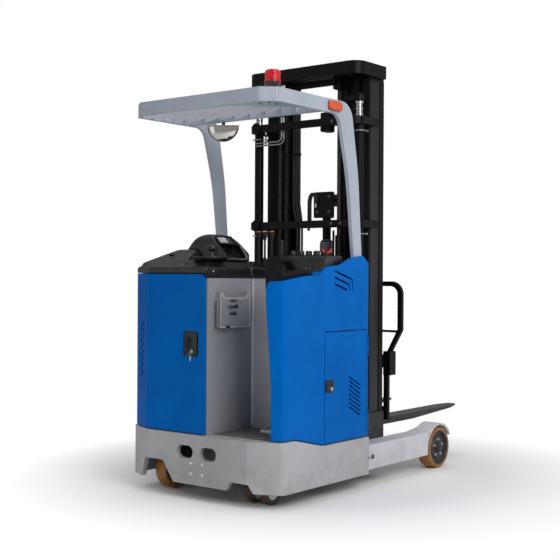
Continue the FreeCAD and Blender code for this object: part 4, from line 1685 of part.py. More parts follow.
def make_lift_rods():
    """Piston rods of the lift cylinders."""
    rod = bar_z(LIFT_ROD_RADIUS, LIFT_CYLINDER_X, LIFT_CYLINDER_Y, LIFT_CYLINDER_FOOT + LIFT_ROD_FOOT,
                ROD_CAP_BOTTOM)
    return Part.makeCompound(both_sides([rod]))


def make_middle_mast():
    """Middle stage: channels, top crossbar, foot bar, rollers and chain sheaves."""
    foot = MAST_BOTTOM + STAGE_FOOT_STEP
    right = [make_rail(MIDDLE_RAIL_X, MIDDLE_REAR, foot, CROSSBAR_BOTTOM + CROSSBAR_HEIGHT)]
    right += make_rollers(MIDDLE_RAIL_X, OUTER_REAR, (MAST_BOTTOM + ROLLER_LOW, MAST_BOTTOM + ROLLER_HIGH))
    bracket_low = ROD_CAP_BOTTOM + ROD_CAP_BRACKET_INSET
    bracket_high = ROD_CAP_TOP - ROD_CAP_BRACKET_INSET
    right.append(bar_z(ROD_CAP_RADIUS, LIFT_CYLINDER_X, LIFT_CYLINDER_Y, ROD_CAP_BOTTOM, ROD_CAP_TOP))
    right.append(box(MIDDLE_RAIL_X - RAIL_WIDTH / 2, LIFT_CYLINDER_X, LIFT_CYLINDER_Y - ROD_CAP_RADIUS / 2,
                     LIFT_CYLINDER_Y + ROD_CAP_RADIUS / 2, bracket_low, bracket_high))
    right.append(box(MIDDLE_RAIL_X - RAIL_WIDTH / 2, MIDDLE_RAIL_X, LIFT_CYLINDER_Y - ROD_CAP_RADIUS / 2,
                     MIDDLE_REAR + 1, bracket_low, bracket_high))
    ear_inner = MIDDLE_RAIL_X - RAIL_WIDTH + CROSSBAR_EAR_LAP
    for low, high in ((CROSSBAR_BOTTOM, CROSSBAR_BOTTOM + CROSSBAR_HEIGHT),
                      (FOOT_BAR_BOTTOM, FOOT_BAR_BOTTOM + FOOT_BAR_HEIGHT)):
        right.append(box(ear_inner, MIDDLE_RAIL_X - RAIL_STEP, CROSSBAR_FRONT - CROSSBAR_EAR_DEPTH, MIDDLE_REAR + 1,
                         low, high))
    for side in (-1, 1):
        middle = MAST_CHAIN_X + side * (SHEAVE_WIDTH / 2 + SHEAVE_HANGER_GAP)
        right.append(box(middle - SHEAVE_HANGER_HALF_THICKNESS, middle + SHEAVE_HANGER_HALF_THICKNESS,
                         SHEAVE_Y - SHEAVE_HANGER_HALF_DEPTH, SHEAVE_Y + SHEAVE_HANGER_HALF_DEPTH,
                         SHEAVE_Z - SHEAVE_HANGER_REACH, CROSSBAR_BOTTOM + 1))
    right.append(bar_x(SHEAVE_RADIUS - CHAIN_THICKNESS / 2, MAST_CHAIN_X - SHEAVE_WIDTH / 2 - SHEAVE_PIN_REACH,
                       MAST_CHAIN_X + SHEAVE_WIDTH / 2 + SHEAVE_PIN_REACH, SHEAVE_Y, SHEAVE_Z))
    pieces = both_sides(right)
    pieces.append(box(-MIDDLE_RAIL_X, MIDDLE_RAIL_X, CROSSBAR_REAR, CROSSBAR_FRONT,
                      CROSSBAR_BOTTOM, CROSSBAR_BOTTOM + CROSSBAR_HEIGHT))
    pieces.append(box(-MIDDLE_RAIL_X + RAIL_STEP, MIDDLE_RAIL_X - RAIL_STEP,
                      CROSSBAR_REAR + FOOT_BAR_REAR_INSET, CROSSBAR_FRONT - FOOT_BAR_FRONT_INSET,
                      FOOT_BAR_BOTTOM, FOOT_BAR_BOTTOM + FOOT_BAR_HEIGHT))
    return join(pieces)


def make_inner_mast():
    """Inner stage: channels, ties, rollers and the chains' front anchors."""
    foot = MAST_BOTTOM + 2 * STAGE_FOOT_STEP
    right = [make_rail(INNER_RAIL_X, INNER_REAR, foot, CROSSBAR_BOTTOM + CROSSBAR_HEIGHT - STAGE_FOOT_STEP)]
    right += make_rollers(INNER_RAIL_X, MIDDLE_REAR, (MAST_BOTTOM + STAGE_FOOT_STEP + ROLLER_LOW,
                                                      MAST_BOTTOM + STAGE_FOOT_STEP + ROLLER_HIGH))
    right.append(box(MAST_CHAIN_X - CHAIN_WIDTH, MAST_CHAIN_X + CHAIN_WIDTH, INNER_REAR - CHAIN_ANCHOR_REACH,
                     INNER_REAR + 1,
                     CHAIN_ANCHOR_Z - ANCHOR_THICKNESS, CHAIN_ANCHOR_Z))
    pieces = both_sides(right)
    half = INNER_RAIL_X - INNER_TIE_INSET
    tie_top = CROSSBAR_BOTTOM + CROSSBAR_HEIGHT - INNER_TIE_TOP_DROP
    pieces.append(box(-half, half, INNER_REAR, INNER_REAR + INNER_TIE_THICKNESS,
                      tie_top - INNER_TIE_HEIGHT, tie_top))
    foot_top = FOOT_BAR_BOTTOM + FOOT_BAR_HEIGHT
    foot_rear = INNER_REAR + INNER_FOOT_INSET
    pieces.append(box(-half, half, foot_rear, INNER_REAR + RAIL_FLANGE - INNER_FOOT_FRONT_INSET,
                      FOOT_BAR_BOTTOM, foot_top))
    pieces.append(box(FREE_CYLINDER_X - FREE_CYLINDER_RADIUS, FREE_CYLINDER_X + FREE_CYLINDER_RADIUS, foot_rear,
                      FREE_CYLINDER_Y + FREE_CYLINDER_RADIUS, FOOT_BAR_BOTTOM, foot_top))
    return join(pieces)


def make_free_cylinder():
    """Centre cylinder tube that raises the carriage before the mast."""
    tube = bar_z(FREE_CYLINDER_RADIUS, FREE_CYLINDER_X, FREE_CYLINDER_Y, FOOT_BAR_BOTTOM + FOOT_BAR_HEIGHT,
                 FREE_CYLINDER_TOP)
    bore = bar_z(FREE_ROD_RADIUS + AXLE_CLEARANCE, FREE_CYLINDER_X, FREE_CYLINDER_Y,
                 FOOT_BAR_BOTTOM + FREE_BORE_FOOT,
                 FREE_CYLINDER_TOP + 1)
    return tube.cut(bore)


def head_chain_places():
    """Where the carriage chains stand across the truck, on both sides of the centre cylinder."""
    return [FREE_CYLINDER_X - HEAD_CHAIN_X, FREE_CYLINDER_X + HEAD_CHAIN_X]


def make_lift_head():
    """Rod of the centre cylinder with its crosshead and chain sheaves."""
    rod = bar_z(FREE_ROD_RADIUS, FREE_CYLINDER_X, FREE_CYLINDER_Y, FREE_CYLINDER_TOP - FREE_ROD_IN_TUBE,
                HEAD_BOTTOM + HEAD_ROD_LAP)
    head = prism("XZ", rectangle(FREE_CYLINDER_X - HEAD_HALF_WIDTH, FREE_CYLINDER_X + HEAD_HALF_WIDTH,
                                 HEAD_BOTTOM, HEAD_TOP, HEAD_CORNER_ROUND),
                 FREE_CYLINDER_Y - HEAD_PLATE_REAR, FREE_CYLINDER_Y - HEAD_PLATE_FRONT)
    spine = box(FREE_CYLINDER_X - HEAD_SPINE_HALF_WIDTH, FREE_CYLINDER_X + HEAD_SPINE_HALF_WIDTH,
                FREE_CYLINDER_Y - HEAD_PLATE_FRONT - 1, FREE_CYLINDER_Y + HEAD_SPINE_REACH,
                HEAD_BOTTOM, HEAD_TOP - HEAD_SPINE_DROP)
    sheave_y = FREE_CYLINDER_Y + HEAD_SHEAVE_OFFSET
    sheave_z = HEAD_TOP - HEAD_SHEAVE_DROP
    axle = bar_x(HEAD_AXLE_RADIUS, FREE_CYLINDER_X - HEAD_AXLE_REACH, FREE_CYLINDER_X + HEAD_AXLE_REACH,
                 sheave_y, sheave_z)
    pieces = [rod, head, spine, axle]
    for middle in head_chain_places():
        pieces.append(bar_x(HEAD_SHEAVE_RADIUS - CHAIN_THICKNESS / 2, middle - SHEAVE_WIDTH / 2,
                            middle + SHEAVE_WIDTH / 2, sheave_y, sheave_z))
    return join(pieces)


def chain_run(x, y, z0, z1):
    """Straight chain run as one slim closed bar."""
    return box(x - CHAIN_WIDTH / 2, x + CHAIN_WIDTH / 2, y - CHAIN_THICKNESS / 2, y + CHAIN_THICKNESS / 2, z0, z1)


def make_mast_chains():
    """Front runs of the mast chains, from the sheaves down to the inner stage's anchors."""
    run = chain_run(MAST_CHAIN_X, SHEAVE_Y + SHEAVE_RADIUS, CHAIN_ANCHOR_Z, SHEAVE_Z)
    return Part.makeCompound(both_sides([run]))


def make_carriage_chains():
    """Front runs of the carriage chains, from the crosshead's sheaves down to the carriage."""
    chain_y = FREE_CYLINDER_Y + HEAD_SHEAVE_OFFSET + HEAD_SHEAVE_RADIUS
    sheave_z = HEAD_TOP - HEAD_SHEAVE_DROP
    return Part.makeCompound([chain_run(x, chain_y, CARRIAGE_CHAIN_Z, sheave_z) for x in head_chain_places()])


def make_mast_pipes():
    """Pair of hydraulic pipes that drop behind the upper tie and turn to the left."""
    pipes = []
    for index in range(PIPE_COUNT):
        x = PIPE_X - PIPE_PITCH * index
        low = PIPE_LOW + PIPE_PITCH * index
        y = YOKE_REAR + YOKE_DEPTH + PIPE_RADIUS + PIPE_TIE_GAP
        radius = PIPE_BEND
        start = Vector(x, y, TIE_PLACES[1] + TIE_HEIGHT + PIPE_RISE)
        corner_top = Vector(x, y, low + radius)
        corner_end = Vector(x - radius, y, low)
        middle = Vector(x - radius + radius * math.cos(math.pi / 4), y,
                        low + radius - radius * math.sin(math.pi / 4))
        end = Vector(-OUTER_RAIL_X + PIPE_END_INSET, y, low)
        path = Part.Wire([Part.makeLine(start, corner_top), Part.Arc(corner_top, middle, corner_end).toShape(),
                          Part.makeLine(corner_end, end)])
        ring = Part.Wire(Part.makeCircle(PIPE_RADIUS, start, Vector(0, 0, 1)))
        pipes.append(path.makePipeShell([ring], True, False))
    return Part.makeCompound(pipes)


def make_reach_cylinder():
    """Reach cylinder tube inside the chassis."""
    tube = bar_y(REACH_CYLINDER_RADIUS, 0, REACH_CYLINDER_START, REACH_CYLINDER_END, REACH_CYLINDER_Z)
    return tube.cut(bar_y(REACH_ROD_RADIUS + AXLE_CLEARANCE, 0, REACH_CYLINDER_START + REACH_BORE_FOOT, REACH_CYLINDER_END + 1,
                          REACH_CYLINDER_Z))


def make_reach_rod():
    """Reach cylinder rod, pinned to the carriage's beam."""
    return bar_y(REACH_ROD_RADIUS, 0, REACH_CYLINDER_START + REACH_ROD_FOOT, REACH_BEAM_REAR, REACH_CYLINDER_Z)


# ---------------------------------------------------------------- carriage and forks
CARRIAGE_REAR_Y = INNER_REAR + RAIL_DEPTH + CARRIAGE_FRONT_GAP
CARRIER_Y = CARRIAGE_REAR_Y + CARRIAGE_PLATE + TILT_GAP
SHANK_Y = CARRIER_Y + CARRIER_DEPTH
CARRIAGE_SIDE_X = INNER_RAIL_X - RAIL_WIDTH - CARRIAGE_SIDE_GAP
PIN_Y = CARRIAGE_REAR_Y + CARRIAGE_PLATE + TILT_GAP / 2


def make_fork_carriage():
    """Carriage that climbs the inner rails: side plates with rollers, front plates and tilt ears."""
    rail_middle = INNER_REAR + RAIL_DEPTH / 2
    side = box(CARRIAGE_SIDE_X - CARRIAGE_PLATE, CARRIAGE_SIDE_X, rail_middle - CARRIAGE_SIDE_REACH, CARRIAGE_REAR_Y + 1,
               CARRIAGE_BOTTOM, CARRIAGE_TOP)
    right = [side]
    start = INNER_RAIL_X - RAIL_WIDTH + CARRIAGE_ROLLER_GAP
    end = INNER_RAIL_X - RAIL_WEB - CARRIAGE_ROLLER_WEB_GAP
    for height in (CARRIAGE_BOTTOM + CARRIAGE_ROLLER_INSET, CARRIAGE_TOP - CARRIAGE_ROLLER_INSET):
        right.append(bar_x(ROLLER_RADIUS, start, end, rail_middle, height))
        right.append(bar_x(ROLLER_STUB_RADIUS, CARRIAGE_SIDE_X - 2, start + 1, rail_middle, height))
    ear_low = TILT_PIN_Z - CARRIAGE_EAR_HALF_HEIGHT
    ear_high = TILT_PIN_Z + CARRIAGE_EAR_HALF_HEIGHT
    right.append(prism("YZ", [(CARRIAGE_REAR_Y + CARRIAGE_PLATE - 1, ear_low),
                              (PIN_Y + TILT_EAR_REACH, ear_low, CARRIAGE_EAR_ROUND),
                              (PIN_Y + TILT_EAR_REACH, ear_high, CARRIAGE_EAR_ROUND),
                              (CARRIAGE_REAR_Y + CARRIAGE_PLATE - 1, ear_high)],
                       CARRIAGE_EAR_INNER, CARRIAGE_EAR_OUTER))
    pieces = both_sides(right)
    for low, high in ((CARRIAGE_BOTTOM, CARRIAGE_BOTTOM + CARRIAGE_LOWER_PLATE),
                      (CARRIAGE_TOP - CARRIAGE_UPPER_PLATE, CARRIAGE_TOP)):
        pieces.append(box(-CARRIAGE_SIDE_X, CARRIAGE_SIDE_X, CARRIAGE_REAR_Y, CARRIAGE_REAR_Y + CARRIAGE_PLATE,
                          low, high))
    chain_y = FREE_CYLINDER_Y + HEAD_SHEAVE_OFFSET + HEAD_SHEAVE_RADIUS
    for middle in head_chain_places():
        pieces.append(box(middle - CHAIN_WIDTH / 2, middle + CHAIN_WIDTH / 2, chain_y - CHAIN_THICKNESS,
                          CARRIAGE_REAR_Y + 1, CARRIAGE_CHAIN_Z - ANCHOR_THICKNESS, CARRIAGE_CHAIN_Z))
    pin = bar_x(TILT_PIN_RADIUS + AXLE_CLEARANCE, -CARRIER_HALF_WIDTH, CARRIER_HALF_WIDTH, PIN_Y, TILT_PIN_Z)
    return join(pieces).cut(pin)


def make_fork_carrier():
    """Tilting fork carrier: two bars, end plates, ears and the tilt pin."""
    pieces = []
    lower_bar = CARRIAGE_BOTTOM + CARRIER_BAR_RISE
    for low in (lower_bar, TILT_PIN_Z - CARRIER_BAR_HEIGHT / 2):
        pieces.append(box(-CARRIER_HALF_WIDTH, CARRIER_HALF_WIDTH, CARRIER_Y, SHANK_Y, low, low + CARRIER_BAR_HEIGHT))
    right = [box(CARRIER_HALF_WIDTH - CARRIER_END_WIDTH, CARRIER_HALF_WIDTH, CARRIER_Y, SHANK_Y, lower_bar,
                 TILT_PIN_Z + CARRIER_BAR_HEIGHT / 2),
             box(CARRIER_HALF_WIDTH - CARRIER_STOP_INWARDS, CARRIER_HALF_WIDTH + CARRIER_STOP_OUTWARDS, CARRIER_Y,
                 SHANK_Y + FORK_THICKNESS, TILT_PIN_Z - CARRIER_STOP_DROP, TILT_PIN_Z + CARRIER_STOP_RISE)]
    ear_tip = PIN_Y - TILT_EAR_REACH
    for start in CARRIER_EAR_PLACES:
        right.append(prism("YZ", [(CARRIER_Y + 1, TILT_PIN_Z - CARRIER_EAR_HALF_ROOT),
                                  (ear_tip, TILT_PIN_Z - CARRIER_EAR_HALF_TIP, CARRIER_EAR_ROUND),
                                  (ear_tip, TILT_PIN_Z + CARRIER_EAR_HALF_TIP, CARRIER_EAR_ROUND),
                                  (CARRIER_Y + 1, TILT_PIN_Z + CARRIER_EAR_HALF_ROOT)],
                           start, start + CARRIER_EAR_WIDTH))
    pieces += both_sides(right)
    for side in (-1, 1):
        middle = side * TILT_PIN_X
        pieces.append(bar_x(TILT_PIN_RADIUS, middle - TILT_PIN_HALF_LENGTH, middle + TILT_PIN_HALF_LENGTH,
                            PIN_Y, TILT_PIN_Z))
    return join(pieces)


def arch(foot_half, half, foot, bend, top, elbow, corner):
    """Outline that spreads from its feet to an elbow and closes over the top with round corners."""
    return [(-foot_half, foot), (-half, bend, elbow), (-half, top, corner),
            (half, top, corner), (half, bend, elbow), (foot_half, foot)]


def make_backrest():
    """Load backrest: bent outer bar, lower crossbar and upright bars."""
    tube = BACKREST_TUBE
    foot = TILT_PIN_Z + CARRIER_STOP_RISE
    outline = arch(BACKREST_FOOT_HALF_WIDTH, BACKREST_HALF_WIDTH, foot, BACKREST_BEND_Z, BACKREST_TOP,
                   BACKREST_ELBOW_ROUND, BACKREST_CORNER_ROUND)
    inner = arch(BACKREST_FOOT_HALF_WIDTH - tube, BACKREST_HALF_WIDTH - tube, foot - 1,
                 BACKREST_BEND_Z + BACKREST_INNER_ELBOW_RISE, BACKREST_TOP - tube,
                 BACKREST_INNER_ELBOW_ROUND, BACKREST_INNER_CORNER_ROUND)
    rear = SHANK_Y + BACKREST_SHANK_GAP
    front = rear + tube - BACKREST_SHANK_GAP
    frame = prism("XZ", outline, rear, front).cut(prism("XZ", inner, rear - 1, front + 1))
    half = BACKREST_HALF_WIDTH - tube / 2
    bar_rear = rear + BACKREST_BAR_INSET
    bar_front = front - BACKREST_BAR_INSET
    pieces = [frame, box(-half, half, bar_rear, bar_front, BACKREST_BEND_Z - BACKREST_CROSSBAR_HEIGHT, BACKREST_BEND_Z)]
    for index in range(-BACKREST_BARS_EACH_SIDE, BACKREST_BARS_EACH_SIDE + 1):
        x = index * BACKREST_BAR_PITCH
        pieces.append(box(x - BACKREST_BAR_WIDTH / 2, x + BACKREST_BAR_WIDTH / 2, bar_rear, bar_front,
                          BACKREST_BEND_Z - BACKREST_BAR_LAP, BACKREST_TOP - tube / 2))
    return join(pieces)


def make_fork():
    """Right fork: tapered blade, rounded heel and shank."""
    bottom = FORK_TOP - FORK_THICKNESS
    side = prism("YZ", [
        (SHANK_Y, bottom, FORK_HEEL_ROUND), (SHANK_Y, FORK_SHANK_TOP, FORK_SHANK_TOP_ROUND),
        (SHANK_Y + FORK_THICKNESS, FORK_SHANK_TOP, FORK_SHANK_TOP_ROUND),
        (SHANK_Y + FORK_THICKNESS, FORK_TOP, FORK_HEEL_INNER_ROUND), (FORK_TIP, FORK_TOP, FORK_TIP_ROUND),
        (FORK_TIP, FORK_TOP - FORK_TIP_THICKNESS, FORK_TIP_ROUND),
        (FORK_TIP - FORK_TAPER_LENGTH, bottom, FORK_TAPER_EASE),
    ], FORK_X - FORK_WIDTH / 2, FORK_X + FORK_WIDTH / 2)
    taper_start = FORK_TIP - FORK_TIP_TAPER_LENGTH
    plan = prism("XY", [(FORK_X - FORK_WIDTH / 2, SHANK_Y - 1), (FORK_X + FORK_WIDTH / 2, SHANK_Y - 1),
                        (FORK_X + FORK_WIDTH / 2, taper_start, FORK_TIP_TAPER_ROUND),
                        (FORK_X + FORK_WIDTH / 4, FORK_TIP, FORK_TIP_CORNER_ROUND),
                        (FORK_X - FORK_WIDTH / 4, FORK_TIP, FORK_TIP_CORNER_ROUND),
                        (FORK_X - FORK_WIDTH / 2, taper_start, FORK_TIP_TAPER_ROUND)],
                 0, FORK_SHANK_TOP + 1)
    return side.common(plan)


# ---------------------------------------------------------------- all nodes
def all_nodes():
    """Every node's name and shape."""
    leg = make_leg()
    load_hub, load_tyre = make_load_wheel()
    drive_hub, drive_tyre = make_drive_wheel()
    floor_plate, floor_mat = make_floor_plate()
    beacon_base, beacon_dome = make_beacon()
    fork = make_fork()
    return {
        "chassis": make_chassis(),
        "leg_right": leg,
        "leg_left": mirrored(leg),
        "load_hub_right": load_hub,
        "load_hub_left": mirrored(load_hub),
        "load_tyre_right": load_tyre,
        "load_tyre_left": mirrored(load_tyre),
        "drive_unit": make_drive_unit(),
        "drive_hub": drive_hub,
        "drive_tyre": drive_tyre,
        "caster_fork": make_caster_fork(),
        "caster_wheels": make_caster_wheels(),
        "battery": make_battery(),
        "cover_left": make_cover_left(),
        "rear_door": make_rear_door(),
        "rear_latch": make_rear_latch(),
        "cover_right": make_cover_right(),
        "side_door": make_side_door(),
        "side_latch": make_side_latch(),
        "front_panel": make_front_panel(),
        "recess_side": make_recess_side(),
        "recess_front": make_recess_front(),
        "floor_plate": floor_plate,
        "floor_mat": floor_mat,
        "document_pocket": make_document_pocket(),
        "pedal": make_pedal(),
        "top_cover": make_top_cover(),
        "dash": make_dash(),
        "display": make_display(),
        "steering_disc": make_steering_disc(),
        "levers": make_levers(),
        "lever_knobs": make_lever_knobs(),
        "switch_panel": make_switch_panel(),
        "switch_knobs": make_switch_knobs(),
        "stop_button": make_stop_button(),
        "backrest_pad": make_backrest_pad(),
        "guard_frame": make_guard_frame(),
        "guard_slats": make_guard_slats(),
        "beacon_base": beacon_base,
        "beacon_dome": beacon_dome,
        "marker_lamps": make_marker_lamps(),
        "mirror_shell": make_mirror_shell(),
        "mirror_glass": make_mirror_glass(),
        "outer_mast": make_outer_mast(),
        "reach_carriage": make_reach_carriage(),
        "lift_cylinders": make_lift_cylinders(),
        "mast_pipes": make_mast_pipes(),
        "reach_cylinder": make_reach_cylinder(),
        "reach_rod": make_reach_rod(),
        "middle_mast": make_middle_mast(),
        "lift_rods": make_lift_rods(),
        "inner_mast": make_inner_mast(),
        "free_cylinder": make_free_cylinder(),
        "lift_head": make_lift_head(),
        "mast_chains": make_mast_chains(),
        "carriage_chains": make_carriage_chains(),
        "fork_carriage": make_fork_carriage(),
        "fork_carrier": make_fork_carrier(),
        "backrest": make_backrest(),
        "forks": Part.makeCompound([fork, mirrored(fork)]),
    }


for name, shape in all_nodes().items():
    shape.translate(Vector(0, -OVERALL_LENGTH / 2, 0))
    shape.exportStep("parts/" + name + ".step")
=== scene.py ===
"""Looks of a stand-on reach truck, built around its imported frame, in metres."""
import json
import math
import bpy
import bmesh
import numpy as np
from mathutils import Matrix, Vector


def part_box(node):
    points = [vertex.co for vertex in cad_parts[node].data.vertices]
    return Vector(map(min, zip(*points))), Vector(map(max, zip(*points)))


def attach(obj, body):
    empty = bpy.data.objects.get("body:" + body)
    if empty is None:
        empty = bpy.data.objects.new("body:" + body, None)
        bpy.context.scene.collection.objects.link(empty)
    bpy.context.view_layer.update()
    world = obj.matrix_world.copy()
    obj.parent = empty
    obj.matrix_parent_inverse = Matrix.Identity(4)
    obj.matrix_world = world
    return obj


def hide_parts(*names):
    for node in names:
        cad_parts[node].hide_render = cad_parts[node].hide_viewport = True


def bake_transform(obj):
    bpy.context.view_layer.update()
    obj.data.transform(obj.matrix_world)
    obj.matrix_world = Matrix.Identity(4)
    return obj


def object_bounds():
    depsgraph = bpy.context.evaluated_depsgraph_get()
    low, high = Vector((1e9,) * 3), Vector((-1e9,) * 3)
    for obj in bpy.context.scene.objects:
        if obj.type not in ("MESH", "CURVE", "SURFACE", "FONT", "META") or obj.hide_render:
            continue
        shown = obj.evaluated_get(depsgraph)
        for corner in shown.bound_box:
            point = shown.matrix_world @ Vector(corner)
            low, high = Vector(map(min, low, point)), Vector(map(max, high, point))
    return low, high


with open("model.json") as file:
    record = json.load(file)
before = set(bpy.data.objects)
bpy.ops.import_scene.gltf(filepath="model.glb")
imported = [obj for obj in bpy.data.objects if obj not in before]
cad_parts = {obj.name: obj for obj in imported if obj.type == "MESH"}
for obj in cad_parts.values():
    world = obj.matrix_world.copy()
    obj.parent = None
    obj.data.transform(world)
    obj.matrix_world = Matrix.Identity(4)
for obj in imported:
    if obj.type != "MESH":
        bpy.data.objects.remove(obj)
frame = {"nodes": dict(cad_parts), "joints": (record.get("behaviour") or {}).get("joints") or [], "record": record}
cad_low, cad_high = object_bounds()
REAR = cad_low[1]


# ---------------------------------------------------------------- places from the frame
def corners(node):
    """Lowest and highest corner of a frame node as arrays."""
    low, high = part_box(node)
    return np.array(low), np.array(high)


def above(low, high, z):
    """Place at a height over the middle of a box."""
    return np.array([(low[0] + high[0]) / 2, (low[1] + high[1]) / 2, z])


def joint_place(name):
    """Where a joint's axis stands."""
    found = [joint for joint in frame["joints"] if joint["name"] == name]
    return np.array(found[0]["pos_m"], float)


# ---------------------------------------------------------------- shapes as arrays
# A shape is (points, quads, triangles): an N x 3 array of places and two arrays of point numbers.
X_AXIS = np.array([1.0, 0.0, 0.0])
Y_AXIS = np.array([0.0, 1.0, 0.0])
Z_AXIS = np.array([0.0, 0.0, 1.0])


def loft(loops):
    """Skin over closed loops of equal length: each point joins the same point of the next loop,
    and each end is closed by a fan to the loop's middle."""
    loops = np.asarray(loops, float)
    rows, count, _three = loops.shape
    row = np.arange(rows - 1)[:, None] * count
    here = np.arange(count)[None, :]
    ahead = (here + 1) % count
    quads = np.stack([row + here, row + ahead, row + count + ahead, row + count + here], -1).reshape(-1, 4)
    first, last = rows * count, rows * count + 1
    ring = np.arange(count)
    following = (ring + 1) % count
    start = np.stack([np.full(count, first), following, ring], -1)
    top = (rows - 1) * count
    end = np.stack([np.full(count, last), top + ring, top + following], -1)
    points = np.vstack([loops.reshape(-1, 3), loops[0].mean(0), loops[-1].mean(0)])
    return points, quads, np.vstack([start, end])


def ring_loft(loops):
    """Skin over closed loops whose last loop joins the first, as on a ring or a frame."""
    loops = np.asarray(loops, float)
    rows, count, _three = loops.shape
    row = np.arange(rows)[:, None] * count
    here = np.arange(count)[None, :]
    ahead = (here + 1) % count
    below = (row + count) % (rows * count)
    quads = np.stack([row + here, row + ahead, below + ahead, below + here], -1)
    return loops.reshape(-1, 3), quads.reshape(-1, 4), np.zeros((0, 3), int)


def together(shapes):
    """Several shapes as one set of arrays."""
    points, quads, triangles = [], [], []
    start = 0
    for shape in shapes:
        points.append(shape[0])
        quads.append(shape[1] + start)
        triangles.append(shape[2] + start)
        start += len(shape[0])
    return np.vstack(points), np.vstack(quads), np.vstack(triangles)


def copies(shape, places):
    """The shape repeated at each place."""
    places = np.asarray(places, float).reshape(-1, 3)
    count = len(shape[0])
    shift = (np.arange(len(places)) * count)[:, None, None]
    points = (shape[0][None] + places[:, None]).reshape(-1, 3)
    return points, (shape[1][None] + shift).reshape(-1, 4), (shape[2][None] + shift).reshape(-1, 3)


def moved(shape, place):
    """The shape at another place."""
    return shape[0] + np.asarray(place, float), shape[1], shape[2]


def axes_matrix(u, v, w):
    """Matrix that turns the shape's own x, y and z into the directions u, v and w."""
    return np.stack([u, v, w], -1)


def turned(shape, matrix):
    """The shape turned by a matrix."""
    return shape[0] @ matrix.T, shape[1], shape[2]


def spin(axis, degrees):
    """Turning matrix about an axis through the origin."""
    axis = np.asarray(axis, float) / np.linalg.norm(axis)
    angle = math.radians(degrees)
    cross = np.array([[0, -axis[2], axis[1]], [axis[2], 0, -axis[0]], [-axis[1], axis[0], 0]])
    return np.eye(3) + math.sin(angle) * cross + (1 - math.cos(angle)) * cross @ cross


def mirrored(shape):
    """The shape on the truck's other side."""
    return shape[0] * np.array([-1.0, 1.0, 1.0]), shape[1], shape[2]


def both(shape):
    """The shape on both sides."""
    return together([shape, mirrored(shape)])


def placed(shape, turn, place):
    """The shape turned by a matrix and moved to a place."""
    return moved(turned(shape, turn), place)


TO_X = axes_matrix(Y_AXIS, Z_AXIS, X_AXIS)
TO_Y = axes_matrix(-X_AXIS, Z_AXIS, Y_AXIS)
TO_REAR = axes_matrix(X_AXIS, Z_AXIS, -Y_AXIS)
TO_LEFT = TO_X @ np.diag([1.0, -1.0, -1.0])


def mm(*pairs):
    """Pairs of sizes given in millimetres, such as a profile's (radius, height) points."""
    return np.array(pairs, float) * 0.001


def circle(radius, segments=12):
    """Round profile."""
    angle = np.linspace(0, 2 * math.pi, segments, endpoint=False)
    return radius * np.column_stack([np.cos(angle), np.sin(angle)])


def level(loop, z):
    """Flat loop of (x, y) points at a height."""
    return np.column_stack([loop, np.full(len(loop), z)])


def lathe(profile, segments=32):
    """Round shape about its own z: each (radius, height) of the profile is turned through a full circle."""
    return loft([level(circle(radius, segments), height) for radius, height in profile])


def rounded_loop(width, height, radius, steps=6):
    """Rounded rectangle about the origin: four quarter circles joined by straight runs."""
    quarter = np.linspace(0, math.pi / 2, steps)
    radius = min(radius, width / 2 - 1e-5, height / 2 - 1e-5)
    pieces = []
    for turn, (sx, sy) in enumerate(((1, 1), (-1, 1), (-1, -1), (1, -1))):
        angle = quarter + turn * math.pi / 2
        x = sx * (width / 2 - radius) + radius * np.cos(angle)
        y = sy * (height / 2 - radius) + radius * np.sin(angle)
        pieces.append(np.stack([x, y], -1))
    return np.vstack(pieces)


def slab(width, height, depth, radius, edge=0.0015, steps=6):
    """Rounded plate in its own x and y, standing on z = 0, whose top edge is rounded by a quarter circle."""
    rows = [(0.0, 0.0)]
    for angle in np.linspace(0, math.pi / 2, 4):
        rows.append((edge * (1 - math.cos(angle)), depth - edge + edge * math.sin(angle)))
    loops = []
    for inset, z in rows:
        loop = rounded_loop(width - 2 * inset, height - 2 * inset, max(radius - inset, 1e-4), steps)
        loops.append(level(loop, z))
    return loft(loops)


def carried(profile, path, closed=False):
    """Closed profile of (side, up) points carried along a path: at each point it stands square to the path,
    and its side direction is turned as little as possible from one point to the next."""
    path = np.asarray(path, float)
    profile = np.asarray(profile, float)
    if closed:
        ahead = np.roll(path, -1, 0) - np.roll(path, 1, 0)
    else:
        ahead = np.gradient(path, axis=0)
    ahead /= np.linalg.norm(ahead, axis=1)[:, None]
    start = Z_AXIS if abs(ahead[0] @ Z_AXIS) < 0.9 else Y_AXIS
    side = np.cross(ahead[0], start)
    sides = []
    for direction in ahead:
        side = side - direction * (side @ direction)
        side = side / np.linalg.norm(side)
        sides.append(side)
    sides = np.array(sides)
    ups = np.cross(sides, ahead)
    across, up = profile[None, :, 0, None], profile[None, :, 1, None]
    loops = path[:, None] + sides[:, None] * across + ups[:, None] * up
    return ring_loft(loops) if closed else loft(loops)


def bead(loop, radius, turn, place, segments=8):
    """Round bead carried around a flat loop, which is turned and moved to a place."""
    if np.shape(loop)[1] == 2:
        loop = level(loop, 0.0)
    return carried(circle(radius, segments), loop @ turn.T + place, closed=True)


def eased(points, radius, steps=6):
    """Path with its inner corners rounded: each corner gives way to a curve that starts and ends
    at most one radius away and follows a quadratic between them."""
    points = np.asarray(points, float)
    out = [points[:1]]
    for before, corner, after in zip(points[:-2], points[1:-1], points[2:]):
        back, ahead = before - corner, after - corner
        reach = min(radius, 0.48 * np.linalg.norm(back), 0.48 * np.linalg.norm(ahead))
        start = corner + back / np.linalg.norm(back) * reach
        end = corner + ahead / np.linalg.norm(ahead) * reach
        t = np.linspace(0, 1, steps)[:, None]
        out.append((1 - t) ** 2 * start + 2 * t * (1 - t) * corner + t ** 2 * end)
    out.append(points[-1:])
    return np.vstack(out)


